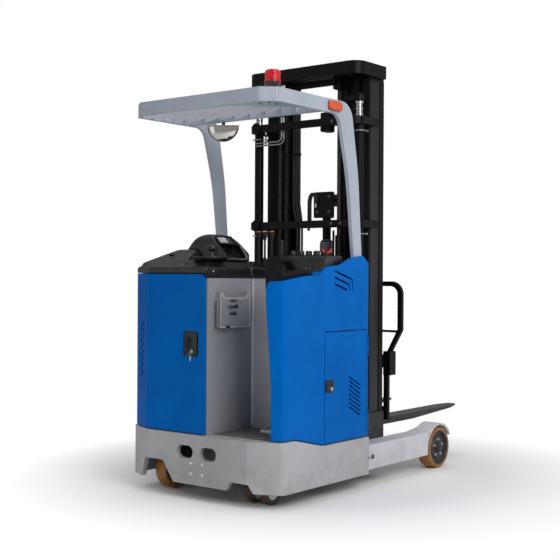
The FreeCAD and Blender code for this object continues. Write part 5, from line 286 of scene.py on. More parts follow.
def piece(name, shape, finish, body="chassis", stands_for=None, crease=35.0):
    """New object from a shape, with outward faces, riding on a body; edges sharper than crease stay sharp.
    One that stands for a node replaces it, and the node is hidden."""
    points, quads, triangles = shape
    mesh = bpy.data.meshes.new(name)
    mesh.from_pydata(points.tolist(), [], quads.tolist() + triangles.tolist())
    work = bmesh.new()
    work.from_mesh(mesh)
    bmesh.ops.recalc_face_normals(work, faces=work.faces)
    sharp = math.radians(crease)
    for edge in work.edges:
        edge.smooth = len(edge.link_faces) == 2 and edge.calc_face_angle(0.0) < sharp
    for face in work.faces:
        face.smooth = True
    work.to_mesh(mesh)
    work.free()
    thing = bpy.data.objects.new(name, mesh)
    bpy.context.scene.collection.objects.link(thing)
    mesh.materials.append(FINISHES[finish])
    if body:
        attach(thing, body)
    if stands_for:
        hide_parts(stands_for)
    return thing


# ---------------------------------------------------------------- finishes
class Finish:
    """New material, with short ways to add and join the nodes of its shader."""

    def __init__(self, name):
        self.material = bpy.data.materials.new(name)
        self.material.use_nodes = True
        self.tree = self.material.node_tree
        self.surface = self.tree.nodes["Principled BSDF"]
        self.place = self.add("ShaderNodeTexCoord").outputs["Object"]

    def give(self, node, inputs):
        """Sets a node's inputs: another node's socket is joined to them, and a plain value is written."""
        for key, value in inputs.items():
            if isinstance(value, bpy.types.NodeSocket):
                self.tree.links.new(value, node.inputs[key])
            else:
                node.inputs[key].default_value = value

    def add(self, kind, inputs=None, **settings):
        """Node with its own settings, and its inputs by name or number."""
        node = self.tree.nodes.new(kind)
        for key, value in settings.items():
            setattr(node, key, value)
        self.give(node, inputs or {})
        return node

    def mixed(self, factor, first, second):
        """Colour between two colours or sockets."""
        return self.add("ShaderNodeMix", {0: factor, 6: first, 7: second}, data_type="RGBA").outputs[2]

    def stepped(self, source, low, high, to_low=0.0, to_high=1.0):
        """Value brought from one range to another and held at its ends."""
        return self.add("ShaderNodeMapRange", {0: source, 1: low, 2: high, 3: to_low, 4: to_high}).outputs[0]

    def noise(self, scale, detail=4.0, roughness=0.55, stretch=None):
        """Noise over object places, drawn out where a stretch is given."""
        place = self.place
        if stretch:
            place = self.add("ShaderNodeMapping", {"Vector": place, "Scale": stretch}).outputs[0]
        inputs = {"Vector": place, "Scale": scale, "Detail": detail, "Roughness": roughness}
        return self.add("ShaderNodeTexNoise", inputs).outputs[0]

    def times(self, first, second):
        """Product of two values."""
        return self.add("ShaderNodeMath", {0: first, 1: second}, operation="MULTIPLY").outputs[0]

    def dot(self, first, second):
        """Dot product of two directions."""
        node = self.add("ShaderNodeVectorMath", {0: first, 1: second}, operation="DOT_PRODUCT")
        return node.outputs["Value"]

    def bevel(self, radius):
        """Normal that is rounded near edges."""
        return self.add("ShaderNodeBevel", {"Radius": radius}, samples=4).outputs[0]

    def made(self, height, strength, distance, soft_edge, **sockets):
        """The material: its surface is raised by a height and its sockets are set, with _ for a space."""
        bump = {"Height": height, "Strength": strength, "Distance": distance}
        if soft_edge:
            bump["Normal"] = self.bevel(soft_edge)
        self.give(self.surface, {"Normal": self.add("ShaderNodeBump", bump).outputs[0]})
        self.give(self.surface, {name.replace("_", " "): value for name, value in sockets.items()})
        return self.material


def rgb(red, green, blue):
    """Colour from its 0 to 255 screen values, as a linear colour with full cover."""
    values = np.array([red, green, blue]) / 255.0
    linear = np.where(values <= 0.04045, values / 12.92, ((values + 0.055) / 1.055) ** 2.4)
    return tuple(float(v) for v in linear) + (1.0,)


def shaded(colour, share, lift=0.0):
    """Colour with its light scaled by a share and lifted."""
    return tuple(min(c * share + lift, 1.0) for c in colour[:3]) + (1.0,)


DUST = rgb(120, 110, 98)


def painted(name, colour, roughness=0.35, worn=None, soft_edge=0.0025, grime=0.25, peel=0.25, coat=0.1,
            gloss=0.3):
    """Paint on steel: mottled colour, orange peel, rubbed edges, and dust that gathers low down."""
    paint = Finish(name)
    base = paint.mixed(paint.stepped(paint.noise(3.0), 0.35, 0.7), colour, shaded(colour, 0.82))
    height = paint.add("ShaderNodeSeparateXYZ", {0: paint.place}).outputs[2]
    patch = paint.stepped(paint.noise(14.0, 6.0), 0.42, 0.72)
    dust = paint.times(paint.stepped(height, 0.45, 0.05), patch)
    base = paint.mixed(paint.stepped(dust, 0.0, 1.0, 0.0, grime), base, DUST)
    if worn:
        normal = paint.add("ShaderNodeNewGeometry").outputs["Normal"]
        edge = paint.stepped(paint.dot(paint.bevel(soft_edge * 1.6), normal), 0.985, 0.86)
        rub = paint.stepped(paint.noise(55.0, 5.0), 0.48, 0.62)
        base = paint.mixed(paint.times(edge, rub), base, worn)
    dullness = paint.stepped(paint.noise(9.0, 5.0), 0.3, 0.7, roughness * 0.85, roughness * 1.2)
    return paint.made(paint.noise(420.0, 2.0), peel, 0.0004, soft_edge, Base_Color=base, Roughness=dullness,
                      Specular_IOR_Level=gloss, Coat_Weight=coat, Coat_Roughness=0.12)


def moulded(name, colour, roughness=0.5, grain=900.0, depth=0.35, soft_edge=0.004):
    """Moulded plastic or rubber: fine leather-like grain, faint scuffs and soft edges."""
    plastic = Finish(name)
    scuff = plastic.stepped(plastic.noise(22.0, 7.0, 0.65), 0.5, 0.75)
    gloss = plastic.stepped(plastic.noise(12.0, 5.0), 0.3, 0.7, roughness * 0.8, min(roughness * 1.25, 1.0))
    cells = plastic.add("ShaderNodeTexVoronoi", {"Scale": grain, "Vector": plastic.place})
    return plastic.made(cells.outputs["Distance"], depth, 0.0005, soft_edge, Roughness=gloss,
                        Base_Color=plastic.mixed(scuff, colour, shaded(colour, 1.6, 0.006)))


def metal(name, colour, roughness=0.3, stretch=(1.0, 1.0, 1.0), smear=0.5):
    """Bare or plated metal: drawn scratches, smeared gloss and a film that darkens it in patches."""
    plate = Finish(name)
    film = plate.stepped(plate.noise(18.0, 6.0), 0.45, 0.75, 0.0, smear)
    scratches = plate.noise(260.0, 3.0, 0.6, stretch)
    gloss = plate.stepped(scratches, 0.3, 0.7, roughness * 0.6, roughness * 1.5)
    return plate.made(scratches, 0.12, 0.0002, 0.001, Roughness=gloss, Metallic=1.0,
                      Base_Color=plate.mixed(film, colour, shaded(colour, 0.45)))


def tyre_finish(name, colour, scuffed):
    """Cast tread: a scuffed, dirty body with fine marks all over it."""
    rubber = Finish(name)
    patch = rubber.stepped(rubber.noise(30.0, 8.0, 0.7), 0.42, 0.7)
    gloss = rubber.stepped(rubber.noise(40.0, 4.0), 0.3, 0.7, 0.35, 0.6)
    return rubber.made(rubber.noise(160.0, 5.0), 0.3, 0.0006, None, Roughness=gloss,
                       Base_Color=rubber.mixed(patch, colour, scuffed), Subsurface_Weight=0.08,
                       Subsurface_Radius=(0.01, 0.004, 0.001))


def leather(name, colour, worn):
    """Soft moulded skin: pebbled grain, worn lighter where it is rubbed, with a dull sheen."""
    skin = Finish(name)
    rub = skin.stepped(skin.noise(12.0, 6.0, 0.6), 0.45, 0.78)
    gloss = skin.stepped(skin.noise(26.0, 4.0), 0.3, 0.7, 0.5, 0.72)
    cells = skin.add("ShaderNodeTexVoronoi", {"Scale": 420.0, "Vector": skin.place},
                     feature="DISTANCE_TO_EDGE")
    grain = skin.stepped(cells.outputs["Distance"], 0.0, 0.25)
    return skin.made(grain, 0.45, 0.0006, None, Roughness=gloss, Base_Color=skin.mixed(rub, colour, worn),
                     Specular_IOR_Level=0.2, Sheen_Weight=0.01, Sheen_Roughness=0.4)


def lens(name, colour, roughness, transmission, ribs, scale, glow):
    """Clear or tinted lamp plastic with moulded ribs across one direction."""
    glass = Finish(name)
    shade = glass.stepped(glass.noise(25.0), 0.3, 0.7)
    wave = glass.times(glass.dot(glass.place, ribs), scale * 2 * math.pi)
    ripple = glass.add("ShaderNodeMath", {0: wave}, operation="SINE").outputs[0]
    return glass.made(ripple, 0.4, 0.001, None, Roughness=roughness, Transmission_Weight=transmission,
                      Base_Color=glass.mixed(shade, colour, shaded(colour, 0.7)), IOR=1.49,
                      Emission_Strength=glow, Emission_Color=colour)


FINISHES = {
    "chassis_paint": painted("grey_chassis_paint", rgb(176, 177, 180), 0.45, rgb(96, 92, 88), 0.004, 0.35),
    "blue_paint": painted("blue_cover_paint", rgb(0, 100, 186), 0.36, None, 0.0035, 0.06, 0.2, 0.0, 0.03),
    "guard_paint": painted("silver_guard_paint", rgb(172, 180, 194), 0.36, None, 0.003, 0.0),
    "liner_paint": painted("grey_lining_paint", rgb(150, 151, 156), 0.42, None, 0.002, 0.3),
    "mast_paint": painted("black_mast_paint", rgb(11, 10, 12), 0.42, rgb(46, 44, 45), 0.002, 0.12, coat=0.0,
                          gloss=0.15),
    "leg_paint": painted("pale_leg_paint", rgb(206, 208, 214), 0.4, rgb(110, 106, 102), 0.004, 0.3),
    # Lighter copy of the guard paint: painted light on the undersides of the roof blades, which face down.
    "slats_lit_paint": painted("pale_blade_paint_as_painted_light", rgb(224, 226, 234), 0.4, None, 0.001, 0.0),
    # Lighter copy of the lining paint: painted light on the compartment's front wall.
    "front_wall_lit_paint": painted("pale_wall_paint_as_painted_light", rgb(186, 187, 193), 0.42, None, 0.002, 0.3),
    "carriage_paint": painted("dark_carriage_paint", rgb(34, 33, 36), 0.45, rgb(100, 98, 96), 0.003, 0.25),
    "fork_steel": painted("worn_fork_paint", rgb(44, 42, 42), 0.42, rgb(120, 116, 110), 0.003, 0.3),
    "cover_plastic": moulded("black_cover_plastic", rgb(23, 24, 27), 0.3, soft_edge=0.006),
    "control_plastic": moulded("black_control_plastic", rgb(15, 15, 17), 0.36, 1400.0, 0.2, 0.002),
    "pad_skin": leather("dark_brown_pad_skin", rgb(10, 8, 9), rgb(20, 17, 18)),
    "mat_rubber": moulded("grey_mat_rubber", rgb(98, 98, 100), 0.75, 260.0, 0.8, 0.001),
    # Amber tread colour darkened below its own, as painted shade on the treads.
    "tyre": tyre_finish("amber_tread_darkened_as_painted_shade", rgb(168, 112, 44), rgb(112, 76, 40)),
    "hub_metal": painted("black_hub_paint", rgb(34, 35, 38), 0.38, rgb(80, 80, 82), 0.002, 0.3),
    "chrome": metal("bright_chrome", rgb(158, 160, 164), 0.2, (1.0, 1.0, 0.05), 0.35),
    "chain_steel": metal("oiled_chain_steel", rgb(96, 92, 86), 0.38, smear=0.7),
    "battery_case": painted("dark_battery_case", rgb(70, 72, 76), 0.5, rgb(110, 108, 104), 0.003, 0.3),
    "screen": moulded("pale_screen", rgb(168, 172, 168), 0.25, 2200.0, 0.05, 0.001),
    "beacon_red": lens("red_beacon_dome", rgb(225, 20, 40), 0.14, 0.45, (0.0, 0.0, 1.0), 150.0, 0.12),
    "beacon_base": lens("smoked_beacon_base", rgb(72, 72, 76), 0.12, 0.55, (1.0, 0.0, 0.0), 180.0, 0.0),
    "lamp_orange": lens("orange_lamp_lens", rgb(222, 92, 48), 0.22, 0.1, (0.0, 1.0, 0.0), 140.0, 0.08),
    "mirror_face": metal("mirror_silver", rgb(214, 210, 204), 0.03, smear=0.08),
    "stop_red": moulded("red_switch_plastic", rgb(205, 24, 34), 0.3, 1600.0, 0.1, 0.001),
    "latch_black": moulded("black_latch_plastic", rgb(9, 11, 11), 0.36, 1400.0, 0.2, 0.001),
    "drive_metal": painted("black_drive_paint", rgb(46, 46, 48), 0.5, rgb(90, 88, 86), 0.002, 0.4),
    "orange_plastic": moulded("orange_knob_plastic", rgb(214, 104, 44), 0.4, 1600.0, 0.1, 0.001),
    "silver_metal": metal("silver_fastener_plating", rgb(190, 190, 192), 0.24, smear=0.3),
    "brass": metal("yellow_key_brass", rgb(190, 168, 112), 0.28, smear=0.3),
    "gap_black": moulded("dark_gap_rubber", rgb(14, 14, 15), 0.8, 900.0, 0.1, 0.001),
    "hose_rubber": moulded("black_hose_rubber", rgb(14, 14, 15), 0.55, 700.0, 0.4, 0.001),
    "pale_plastic": moulded("pale_grey_plastic", rgb(196, 198, 202), 0.35, 1200.0, 0.15, 0.002),
    # Dark grey paint a little lighter than the mast's, partly a painted highlight on the rails' side faces.
    "rail_paint_and_highlight": painted("grey_rail_face_paint_and_highlight", rgb(24, 23, 28), 0.45, rgb(56, 54, 58), 0.001, 0.1),
    "button_grey": moulded("grey_button_plastic", rgb(84, 88, 90), 0.4, 1500.0, 0.1, 0.001),
    "lip_grey": moulded("grey_lip_plastic", rgb(98, 108, 110), 0.4, 1500.0, 0.1, 0.001),
    "bolt_dark": metal("dark_bolt_plating", rgb(92, 92, 96), 0.35),
    "pale_metal": painted("pale_cylinder_paint", rgb(120, 120, 124), 0.35, None, 0.002, 0.1),
    "caster_tread": tyre_finish("brown_caster_tread", rgb(84, 62, 48), rgb(60, 46, 38)),
    "strip_light": painted("light_strip_paint", rgb(222, 224, 228), 0.35, None, 0.001, 0.1),
}
# Nodes with a finish of their own; the blades' and the front wall's are lighter copies of their slot's paint, as
# painted light.
OWN_FINISH = {"leg_right": "leg_paint", "leg_left": "leg_paint", "guard_slats": "slats_lit_paint",
              "recess_front": "front_wall_lit_paint", "pedal": "pale_plastic"}


def dress_frame():
    """Gives every frame node the finish of its slot, or a finish of its own; the roof blades and the compartment's
    front wall get lighter copies of their paint, as painted light.
    """
    slots = {entry["node"]: entry["material_slot"] for entry in frame["record"]["subparts"]}
    for node, thing in frame["nodes"].items():
        thing.data.materials.clear()
        thing.data.materials.append(FINISHES[OWN_FINISH.get(node, slots[node])])


dress_frame()


# ---------------------------------------------------------------- placing
def set_on(shape, place, across, up):
    """The shape with its own x along one direction and its own y along another, standing at a place."""
    across = np.asarray(across, float) / np.linalg.norm(across)
    out = np.cross(across, np.asarray(up, float))
    out = out / np.linalg.norm(out)
    return placed(shape, axes_matrix(across, np.cross(out, across), out), place)


def softened(node, voxel, rounds):
    """Moulded look for a frame node: its skin is redrawn on an even grid and smoothed a little."""
    grid = frame["nodes"][node].modifiers.new("even_grid", "REMESH")
    grid.mode = "VOXEL"
    grid.voxel_size = voxel
    grid.use_smooth_shade = True
    ease = frame["nodes"][node].modifiers.new("ease", "SMOOTH")
    ease.factor = 0.5
    ease.iterations = rounds


def dome_head(radius, height):
    """Round button head on z = 0: radius r (1 - t^4)^(1/4) at height h t."""
    t = np.linspace(0, 0.97, 6)
    return lathe(np.column_stack([radius * (1 - t ** 4) ** 0.25, height * t]), 20)


def hex_bolt(radius, height):
    """Hexagon head with a chamfered top and a washer under it."""
    rows = [(radius, 0.25 * height), (radius, 0.85 * height), (radius * 0.88, height)]
    washer = lathe([(radius * 1.3, 0.0), (radius * 1.3, 0.2 * height), (radius * 1.22, 0.25 * height)], 16)
    return together([washer, lathe(rows, 6)])


# ---------------------------------------------------------------- steering console
LEVER_PLATE = (0.180, 0.075)
GRIP_PLACE = (0.150, REAR + 0.560, 0.0)
GRIP_TOP = 1.427
BAND_LAMP = (0.125, REAR + 0.0035, 1.243)
HUMP_RECESS = (0.215, 0.150, 1.3375)
KNOB_ANGLE = math.radians(-39)
KNOB_REACH = 0.062
FACE_LEAN = 0.150
DASH_LOW, DASH_HIGH = corners("dash")
FACE_FOOT = np.array([DASH_HIGH[0], 0.0, DASH_LOW[2]])
FACE_UP = np.array([-FACE_LEAN, 0.0, DASH_HIGH[2] - DASH_LOW[2]])
FACE_LENGTH = float(np.linalg.norm(FACE_UP))
FACE_UP = FACE_UP / FACE_LENGTH
FACE_OUT = np.array([FACE_UP[2], 0.0, -FACE_UP[0]])


def on_face(share, y, out=0.0):
    """Place on the console's sloping face: a share of its length up, at y, moved outwards."""
    return FACE_FOOT + FACE_UP * FACE_LENGTH * share + FACE_OUT * out + Y_AXIS * y


def make_display_unit():
    """Instrument cluster: rounded bezel carried around a rounded rectangle, screen, buttons and lamps."""
    low, high = corners("display")
    width, tall = high[1] - low[1] + 0.030, 0.062
    middle = on_face(0.75, (low[1] + high[1]) / 2, 0.0005)

    def spot(along, up, out=0.003):
        """Place on the cluster, from its middle."""
        return middle + Y_AXIS * along + FACE_UP * up + FACE_OUT * out

    def facing(shape, place=(0, 0, 0)):
        """Shape that looks out of the console's face."""
        return set_on(shape, place, Y_AXIS, FACE_UP)

    path = np.array([spot(along, up, 0.004) for along, up in rounded_loop(width, tall, 0.012, 8)])
    rim = carried(rounded_loop(0.009, 0.009, 0.003, 4), path, closed=True)
    back = facing(slab(width - 0.004, tall - 0.004, 0.0035, 0.010), middle)
    piece("display_bezel", together([rim, back]), "control_plastic")
    screen = facing(slab(0.068, 0.040, 0.0032, 0.003, 0.0008), spot(-0.024, 0))
    piece("display_screen", screen, "screen", stands_for="display")
    buttons = [spot(0.020 + 0.015 * column, 0.011 - 0.014 * row) for column in range(2) for row in range(3)]
    piece("display_buttons", copies(facing(slab(0.011, 0.009, 0.003, 0.003, 0.001)), buttons), "button_grey")
    lamps = [spot(-0.050 + 0.012 * index, 0.0235) for index in range(5)]
    piece("display_lamps", copies(facing(dome_head(0.0022, 0.0016)), lamps), "lamp_orange")


def make_tray():
    """Light lip of the open tray in the console: a rounded bead carried along a sagging curve that
    rises at the front end, v = a + b u^2 + c max(u, 0)^8."""
    y_rear, y_front = DASH_LOW[1] + 0.052, DASH_HIGH[1] - 0.046
    u = np.linspace(-1, 1, 41)
    share = 0.05 + 0.04 * u ** 2 + 0.46 * np.clip(u, 0, 1) ** 8
    y = (y_rear + y_front) / 2 + (y_front - y_rear) / 2 * u
    path = [on_face(s, value, 0.0015) for s, value in zip(share, y)]
    piece("tray_lip", carried(rounded_loop(0.009, 0.006, 0.0028, 4), path), "lip_grey")


def make_steering():
    """Steering disc with a rounded rim, a dished middle and a mushroom knob on a narrow neck."""
    low, high = corners("steering_disc")
    centre = joint_place("steering")
    radius, edge, hub = (high[0] - low[0]) / 2, 0.006, 0.022
    t = np.linspace(-math.pi / 2, math.pi / 2, 9)
    rim = np.column_stack([radius - edge + edge * np.cos(t), edge * np.sin(t)])
    dish = [(radius * 0.86, 0.004), (radius * 0.6, 0.002), (radius * 0.3, 0.003), (0.012, 0.005)]
    profile = [(hub, low[2] - centre[2]), (hub, -edge), (radius * 0.5, -edge), *rim, *dish]
    knob = lathe(mm((16, 0), (14, 8), (10.5, 18), (11, 30), (20, 37), (24.5, 43), (25, 54), (22.5, 61),
                    (12, 64), (3, 64.5)), 32)
    knob_place = (KNOB_REACH * math.cos(KNOB_ANGLE), KNOB_REACH * math.sin(KNOB_ANGLE), 0.003)
    shape = moved(together([lathe(profile, 64), moved(knob, knob_place)]), centre)
    piece("steering_wheel", shape, "control_plastic", "steering_disc", "steering_disc", crease=30.0)


def make_lever_set():
    """Three hydraulic levers with ribbed rubber boots, slim stems and flared knobs with coloured tops, and a
    ribbed grip beside them."""
    low, high = corners("levers")
    knob_low, knob_high = corners("lever_knobs")
    base, top, radius = low[2], knob_high[2], 0.015
    y = (knob_low[1] + knob_high[1]) / 2
    first, last = knob_low[0] + radius, knob_high[0] - radius
    places = np.array([(first + (last - first) * share, y, 0) for share in (0.0, 0.48, 1.0)])
    t = np.linspace(0, 1, 25)
    folds = 0.021 - 0.012 * t + 0.0022 * np.cos(t * 4 * 2 * math.pi)
    boot = np.column_stack([folds, base + 0.010 + 0.046 * t])
    piece("lever_boots", copies(lathe(boot, 24), places), "hose_rubber")
    stem = lathe([(0.006, base), (0.006, top - 0.040)], 16)
    tray = moved(slab(*LEVER_PLATE, 0.010, 0.014, 0.003), above(low, high, base) + (0.012, 0, 0))
    piece("lever_stems", together([copies(stem, places), tray]), "control_plastic", stands_for="levers")
    rows = mm((7, 52), (8.8, 44), (10, 32), (12.8, 18), (14.8, 9), (14.6, 5))
    knob = loft([level(rounded_loop(2 * half, 1.84 * half, 0.55 * half, 5), top - drop)
                 for half, drop in rows])
    piece("lever_handles", copies(knob, places), "control_plastic", stands_for="lever_knobs")
    cap = turned(slab(0.0270, 0.0250, 0.006, 0.009, 0.003), spin(X_AXIS, 8))
    piece("lever_caps", copies(cap, places + (0, 0, top - 0.0065)), "orange_plastic")
    t = np.linspace(0, 1, 49)
    swell = 0.0118 + 0.0028 * np.sin(t * math.pi) ** 0.5 + 0.0006 * np.cos(t * 14 * 2 * math.pi)
    grip = np.vstack([[(0.020, base), (0.019, base + 0.016), (0.010, base + 0.022)],
                      np.column_stack([swell, base + 0.030 + (GRIP_TOP - base - 0.034) * t]),
                      [(0.009, GRIP_TOP - 0.001), (0.002, GRIP_TOP)]])
    piece("auxiliary_grip", moved(lathe(grip, 24), GRIP_PLACE), "hose_rubber")


def knurled(radius, height, ridges):
    """Round knob whose side waves in and out: r (1 + 0.035 cos(n a)), with a rounded top edge."""
    round_loop = circle(radius, ridges * 6)
    wave = 0.035 * np.cos(ridges * np.linspace(0, 2 * math.pi, ridges * 6, endpoint=False))[:, None]
    loops = []
    for share, z in ((1.12, 0.0), (1.12, 0.12), (0.98, 0.2), (0.94, 0.75), (0.88, 0.92), (0.74, 1.0)):
        loops.append(level(round_loop * share * (1 + (wave if 0.15 < z < 0.95 else 0.0)), height * z))
    return loft(loops)


def make_switches():
    """Row of knurled knobs with white pointers, and a winged red switch with a black hub."""
    low, high = corners("switch_knobs")
    radius, tall = (high[1] - low[1]) / 2, high[2] - low[2]
    pitch = (high[0] - low[0] - 2 * radius) / 3
    y = (low[1] + high[1]) / 2
    places = np.array([(low[0] + radius + pitch * index, y, low[2]) for index in range(4)])
    piece("switch_row", copies(knurled(radius, tall + 0.004, 12), places), "control_plastic",
          stands_for="switch_knobs")
    marks = places + (0, -radius * 0.3, tall + 0.0034)
    piece("switch_marks", copies(slab(0.0026, 0.012, 0.0012, 0.001, 0.0004), marks), "pale_plastic")
    low, high = corners("stop_button")
    foot, half = above(low, high, low[2]), (high[0] - low[0]) / 2 + 0.006
    wing = []
    for value in np.linspace(-1, 1, 15):
        rise = 0.012 * value ** 2
        loop = rounded_loop(0.016 * (1 - 0.25 * abs(value)), 0.011 + rise, 0.003, 4) + (0, 0.014 + rise)
        wing.append(np.column_stack([np.full(len(loop), value * half), loop]))
    piece("stop_wings", moved(loft(wing), foot), "stop_red", stands_for="stop_button")
    hub = [(0.95, 0), (0.95, 0.004), (0.55, 0.007), (0.5, 0.017), (0.36, 0.020), (0.1, 0.0205)]
    piece("stop_hub", moved(lathe([(half * share, z) for share, z in hub], 24), foot), "control_plastic")


def make_cover_details():
    """Trim of the black cover: an oval dished recess on its hump and a small bright sensor in its band."""
    along, back, height = HUMP_RECESS
    place = (corners("top_cover")[0][0] + along, REAR + back, height)
    dish = lathe(mm((20, 0), (20, 2.2), (16.5, 2.6), (12, 1.2), (2, 0.6)), 32)
    oval = turned(dish, np.diag([1.0, 0.55, 1.0]))
    piece("hump_recess", set_on(oval, place, X_AXIS, (0, 1, 0.27)), "gap_black")
    piece("band_sensor", set_on(dome_head(0.0045, 0.003), BAND_LAMP, X_AXIS, Z_AXIS), "pale_plastic")


softened("dash", 0.004, 6)
softened("top_cover", 0.007, 5)
softened("switch_panel", 0.004, 5)
make_display_unit()
make_tray()
make_steering()
make_lever_set()
make_switches()
make_cover_details()


# ---------------------------------------------------------------- mast
MAST_LOW, MAST_HIGH = corners("outer_mast")
MAST_REAR = MAST_LOW[1]
RAIL_FACE = MAST_HIGH[0] - 0.0365
RAIL_REAR = MAST_REAR + 0.171
RAIL_FRONT = RAIL_REAR + 0.160
TIE_TOPS = (1.555, 2.165)
CLAMP_HEIGHTS = (1.472, 2.082, 0.620)
CLAMP_REACH = 0.034
LINK_PLATE = 0.0022
HOSE_Y = MAST_REAR + 0.145
HOSE_CLIP_HEIGHTS = (2.30, 1.98, 1.30, 0.90)


def make_rail_faces():
    """Faces of the outer rails between their flanges, in a paint lighter than the mast's that is partly a painted
    highlight for the light these side faces catch, with rounded edges, and a black guide strip along each front
    flange."""
    for name, width, bottom, top, y, depth, radius, edge, finish in (
            ("rail_faces", 0.092, 0.330, 2.405, RAIL_REAR + 0.058, 0.0035, 0.004, 0.0012, "rail_paint_and_highlight"),
            ("rail_strips", 0.046, 0.335, 2.400, RAIL_FRONT - 0.025, 0.0045, 0.003, 0.002, "mast_paint")):
        face = slab(width, top - bottom, depth, radius, edge)
        piece(name, both(placed(face, TO_X, (RAIL_FACE, y, (bottom + top) / 2))), finish, "reach_body")


def make_tie_fittings():
    """Round-ended black blocks at the straps' left ends, and hexagon bolts."""
    block = turned(slab(0.060, 0.072, 0.016, 0.030, 0.005, 8), TO_REAR)
    blocks = copies(block, [(-0.340, MAST_REAR + 0.001, top - 0.022) for top in TIE_TOPS])
    piece("tie_blocks", blocks, "mast_paint", "reach_body")
    places = [(x, MAST_REAR - 0.0005, top - 0.0225) for top in TIE_TOPS for x in (0.236, 0.300)]
    piece("tie_bolts", copies(turned(hex_bolt(0.0085, 0.008), TO_REAR), places), "bolt_dark", "reach_body")


def make_cylinder_fittings():
    """Gland nuts, plated rings, elbows and U-bolt clamps of the two lift cylinders, and their rods' caps."""
    low, high = corners("lift_cylinders")
    x, y, top = high[0] - 0.028, (low[1] + high[1]) / 2, high[2]
    rod_top = corners("lift_rods")[1][2]

    def fit(name, base, profiles, finish, body, segments=36):
        """Turned parts around both cylinders, whose profiles start from a height."""
        shape = together([lathe(profile, segments) for profile in profiles])
        piece(name, both(moved(shape, (x, y, base))), finish, body)

    gland = mm((28.5, -52), (32, -50), (32, -12), (30, -6), (27, -2), (22.5, 4), (21.5, 4), (21.5, -10))
    fit("cylinder_glands", top, [gland], "mast_paint", "reach_body")
    fit("gland_rings", top, [mm((20.6, 6), (24, 7), (24, 15), (20.6, 16))], "silver_metal", "reach_body")
    collar = mm((20.5, -52), (22.5, -50), (22.5, -40), (20.5, -38))
    upper = mm((20.5, -13), (25, -12), (25, -1), (20.5, 0))
    fit("rod_rings", rod_top, [collar, upper], "silver_metal", "middle_mast", 32)
    dome = mm((25.5, 1), (28, 4), (28, 30), (26.2, 40), (21.5, 47.5), (12, 51), (2, 52))
    fit("rod_caps", rod_top, [dome], "mast_paint", "middle_mast")
    reach = CLAMP_REACH
    hoop = [(x - reach, y + 0.030, 0), (x - reach, y - reach, 0), (x + reach, y - reach, 0),
            (x + reach, y + 0.030, 0)]
    bent = eased(hoop, 0.033, 10)
    nut = turned(hex_bolt(0.0085, 0.010), TO_Y)
    clamps = []
    for height in CLAMP_HEIGHTS:
        clamps.append(carried(circle(0.0042, 8), bent + (0, 0, height)))
        clamps += [moved(nut, (x + side * reach, y + 0.028, height)) for side in (-1, 1)]
    piece("cylinder_clamps", both(together(clamps)), "silver_metal", "reach_body")
    port = top - 0.030
    bend = eased([(x, y, port), (x - 0.052, y, port), (x - 0.052, y, port - 0.090)], 0.020, 8)
    union = placed(hex_bolt(0.010, 0.016), TO_X, (x - 0.046, y, port))
    joint = together([carried(circle(0.006, 10), bend), union])
    piece("cylinder_elbows", both(joint), "silver_metal", "reach_body")


def chain_links(x, y, low, high, pitch=0.0191):
    """Leaf chain: at every pitch two outer and one inner link plate, each an eight-sided waisted plate,
    on round pins that run through them."""
    t = np.linspace(0, 2 * math.pi, 8, endpoint=False) + math.pi / 8
    half_tall, half_wide = pitch * 0.92, 0.0072
    outline = np.column_stack([half_wide * np.cos(t) / math.cos(math.pi / 8),
                               np.sign(np.sin(t)) * (half_tall - half_wide) + half_wide * np.sin(t)])
    pin = turned(lathe([(0.0030, -0.0096), (0.0030, 0.0096)], 8), TO_X)

    def link(*offsets):
        """Link plates at these places across x, and their pin."""
        plates = []
        for offset in offsets:
            faces = (offset - LINK_PLATE / 2, offset + LINK_PLATE / 2)
            plates.append(loft([np.column_stack([np.full(8, face), outline]) for face in faces]))
        return together(plates + [pin])

    heights = np.arange(low + half_tall, high - half_tall, pitch)
    links = (link(-0.0074, -0.0002, 0.0070), link(-0.0045, 0.0040))
    return together([copies(links[k], [(x, y, z) for z in heights[k::2]]) for k in range(2)])


def make_chains():
    """Leaf chains of the mast and of the fork carriage, standing for the frame's chain nodes on no body."""
    low, high = corners("mast_chains")
    y = (low[1] + high[1]) / 2
    shape = both(chain_links(high[0] - 0.010, y, low[2] + 0.004, high[2]))
    chains = piece("mast_leaf_chains", shape, "chain_steel", None, "mast_chains")
    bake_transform(chains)
    low, high = corners("carriage_chains")
    y = (low[1] + high[1]) / 2
    shape = together([chain_links(x, y, low[2] + 0.004, high[2]) for x in (low[0] + 0.010, high[0] - 0.010)])
    chains = piece("carriage_leaf_chains", shape, "chain_steel", None, "carriage_chains")
    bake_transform(chains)


def make_head_fittings():
    """Centre cylinder's gland, and the bolts of the lift head's cover plate."""
    low, high = corners("free_cylinder")
    radius = (high[0] - low[0]) / 2
    gland = [(1.01, -0.075), (1.12, -0.072), (1.12, -0.020), (1.05, -0.010), (0.80, -0.001), (0.75, 0.006),
             (0.72, 0.006), (0.72, -0.01)]
    shape = lathe([(radius * share, z) for share, z in gland], 40)
    piece("centre_gland", moved(shape, above(low, high, high[2])), "pale_metal", "inner_mast")
    low, high = corners("lift_head")
    middle = (low[0] + high[0]) / 2
    places = [(middle + side * 0.045, low[1], high[2] - drop) for side in (-1, 1) for drop in (0.030, 0.125)]
    piece("head_bolts", copies(turned(hex_bolt(0.0085, 0.007), TO_REAR), places), "bolt_dark", "lift_head")


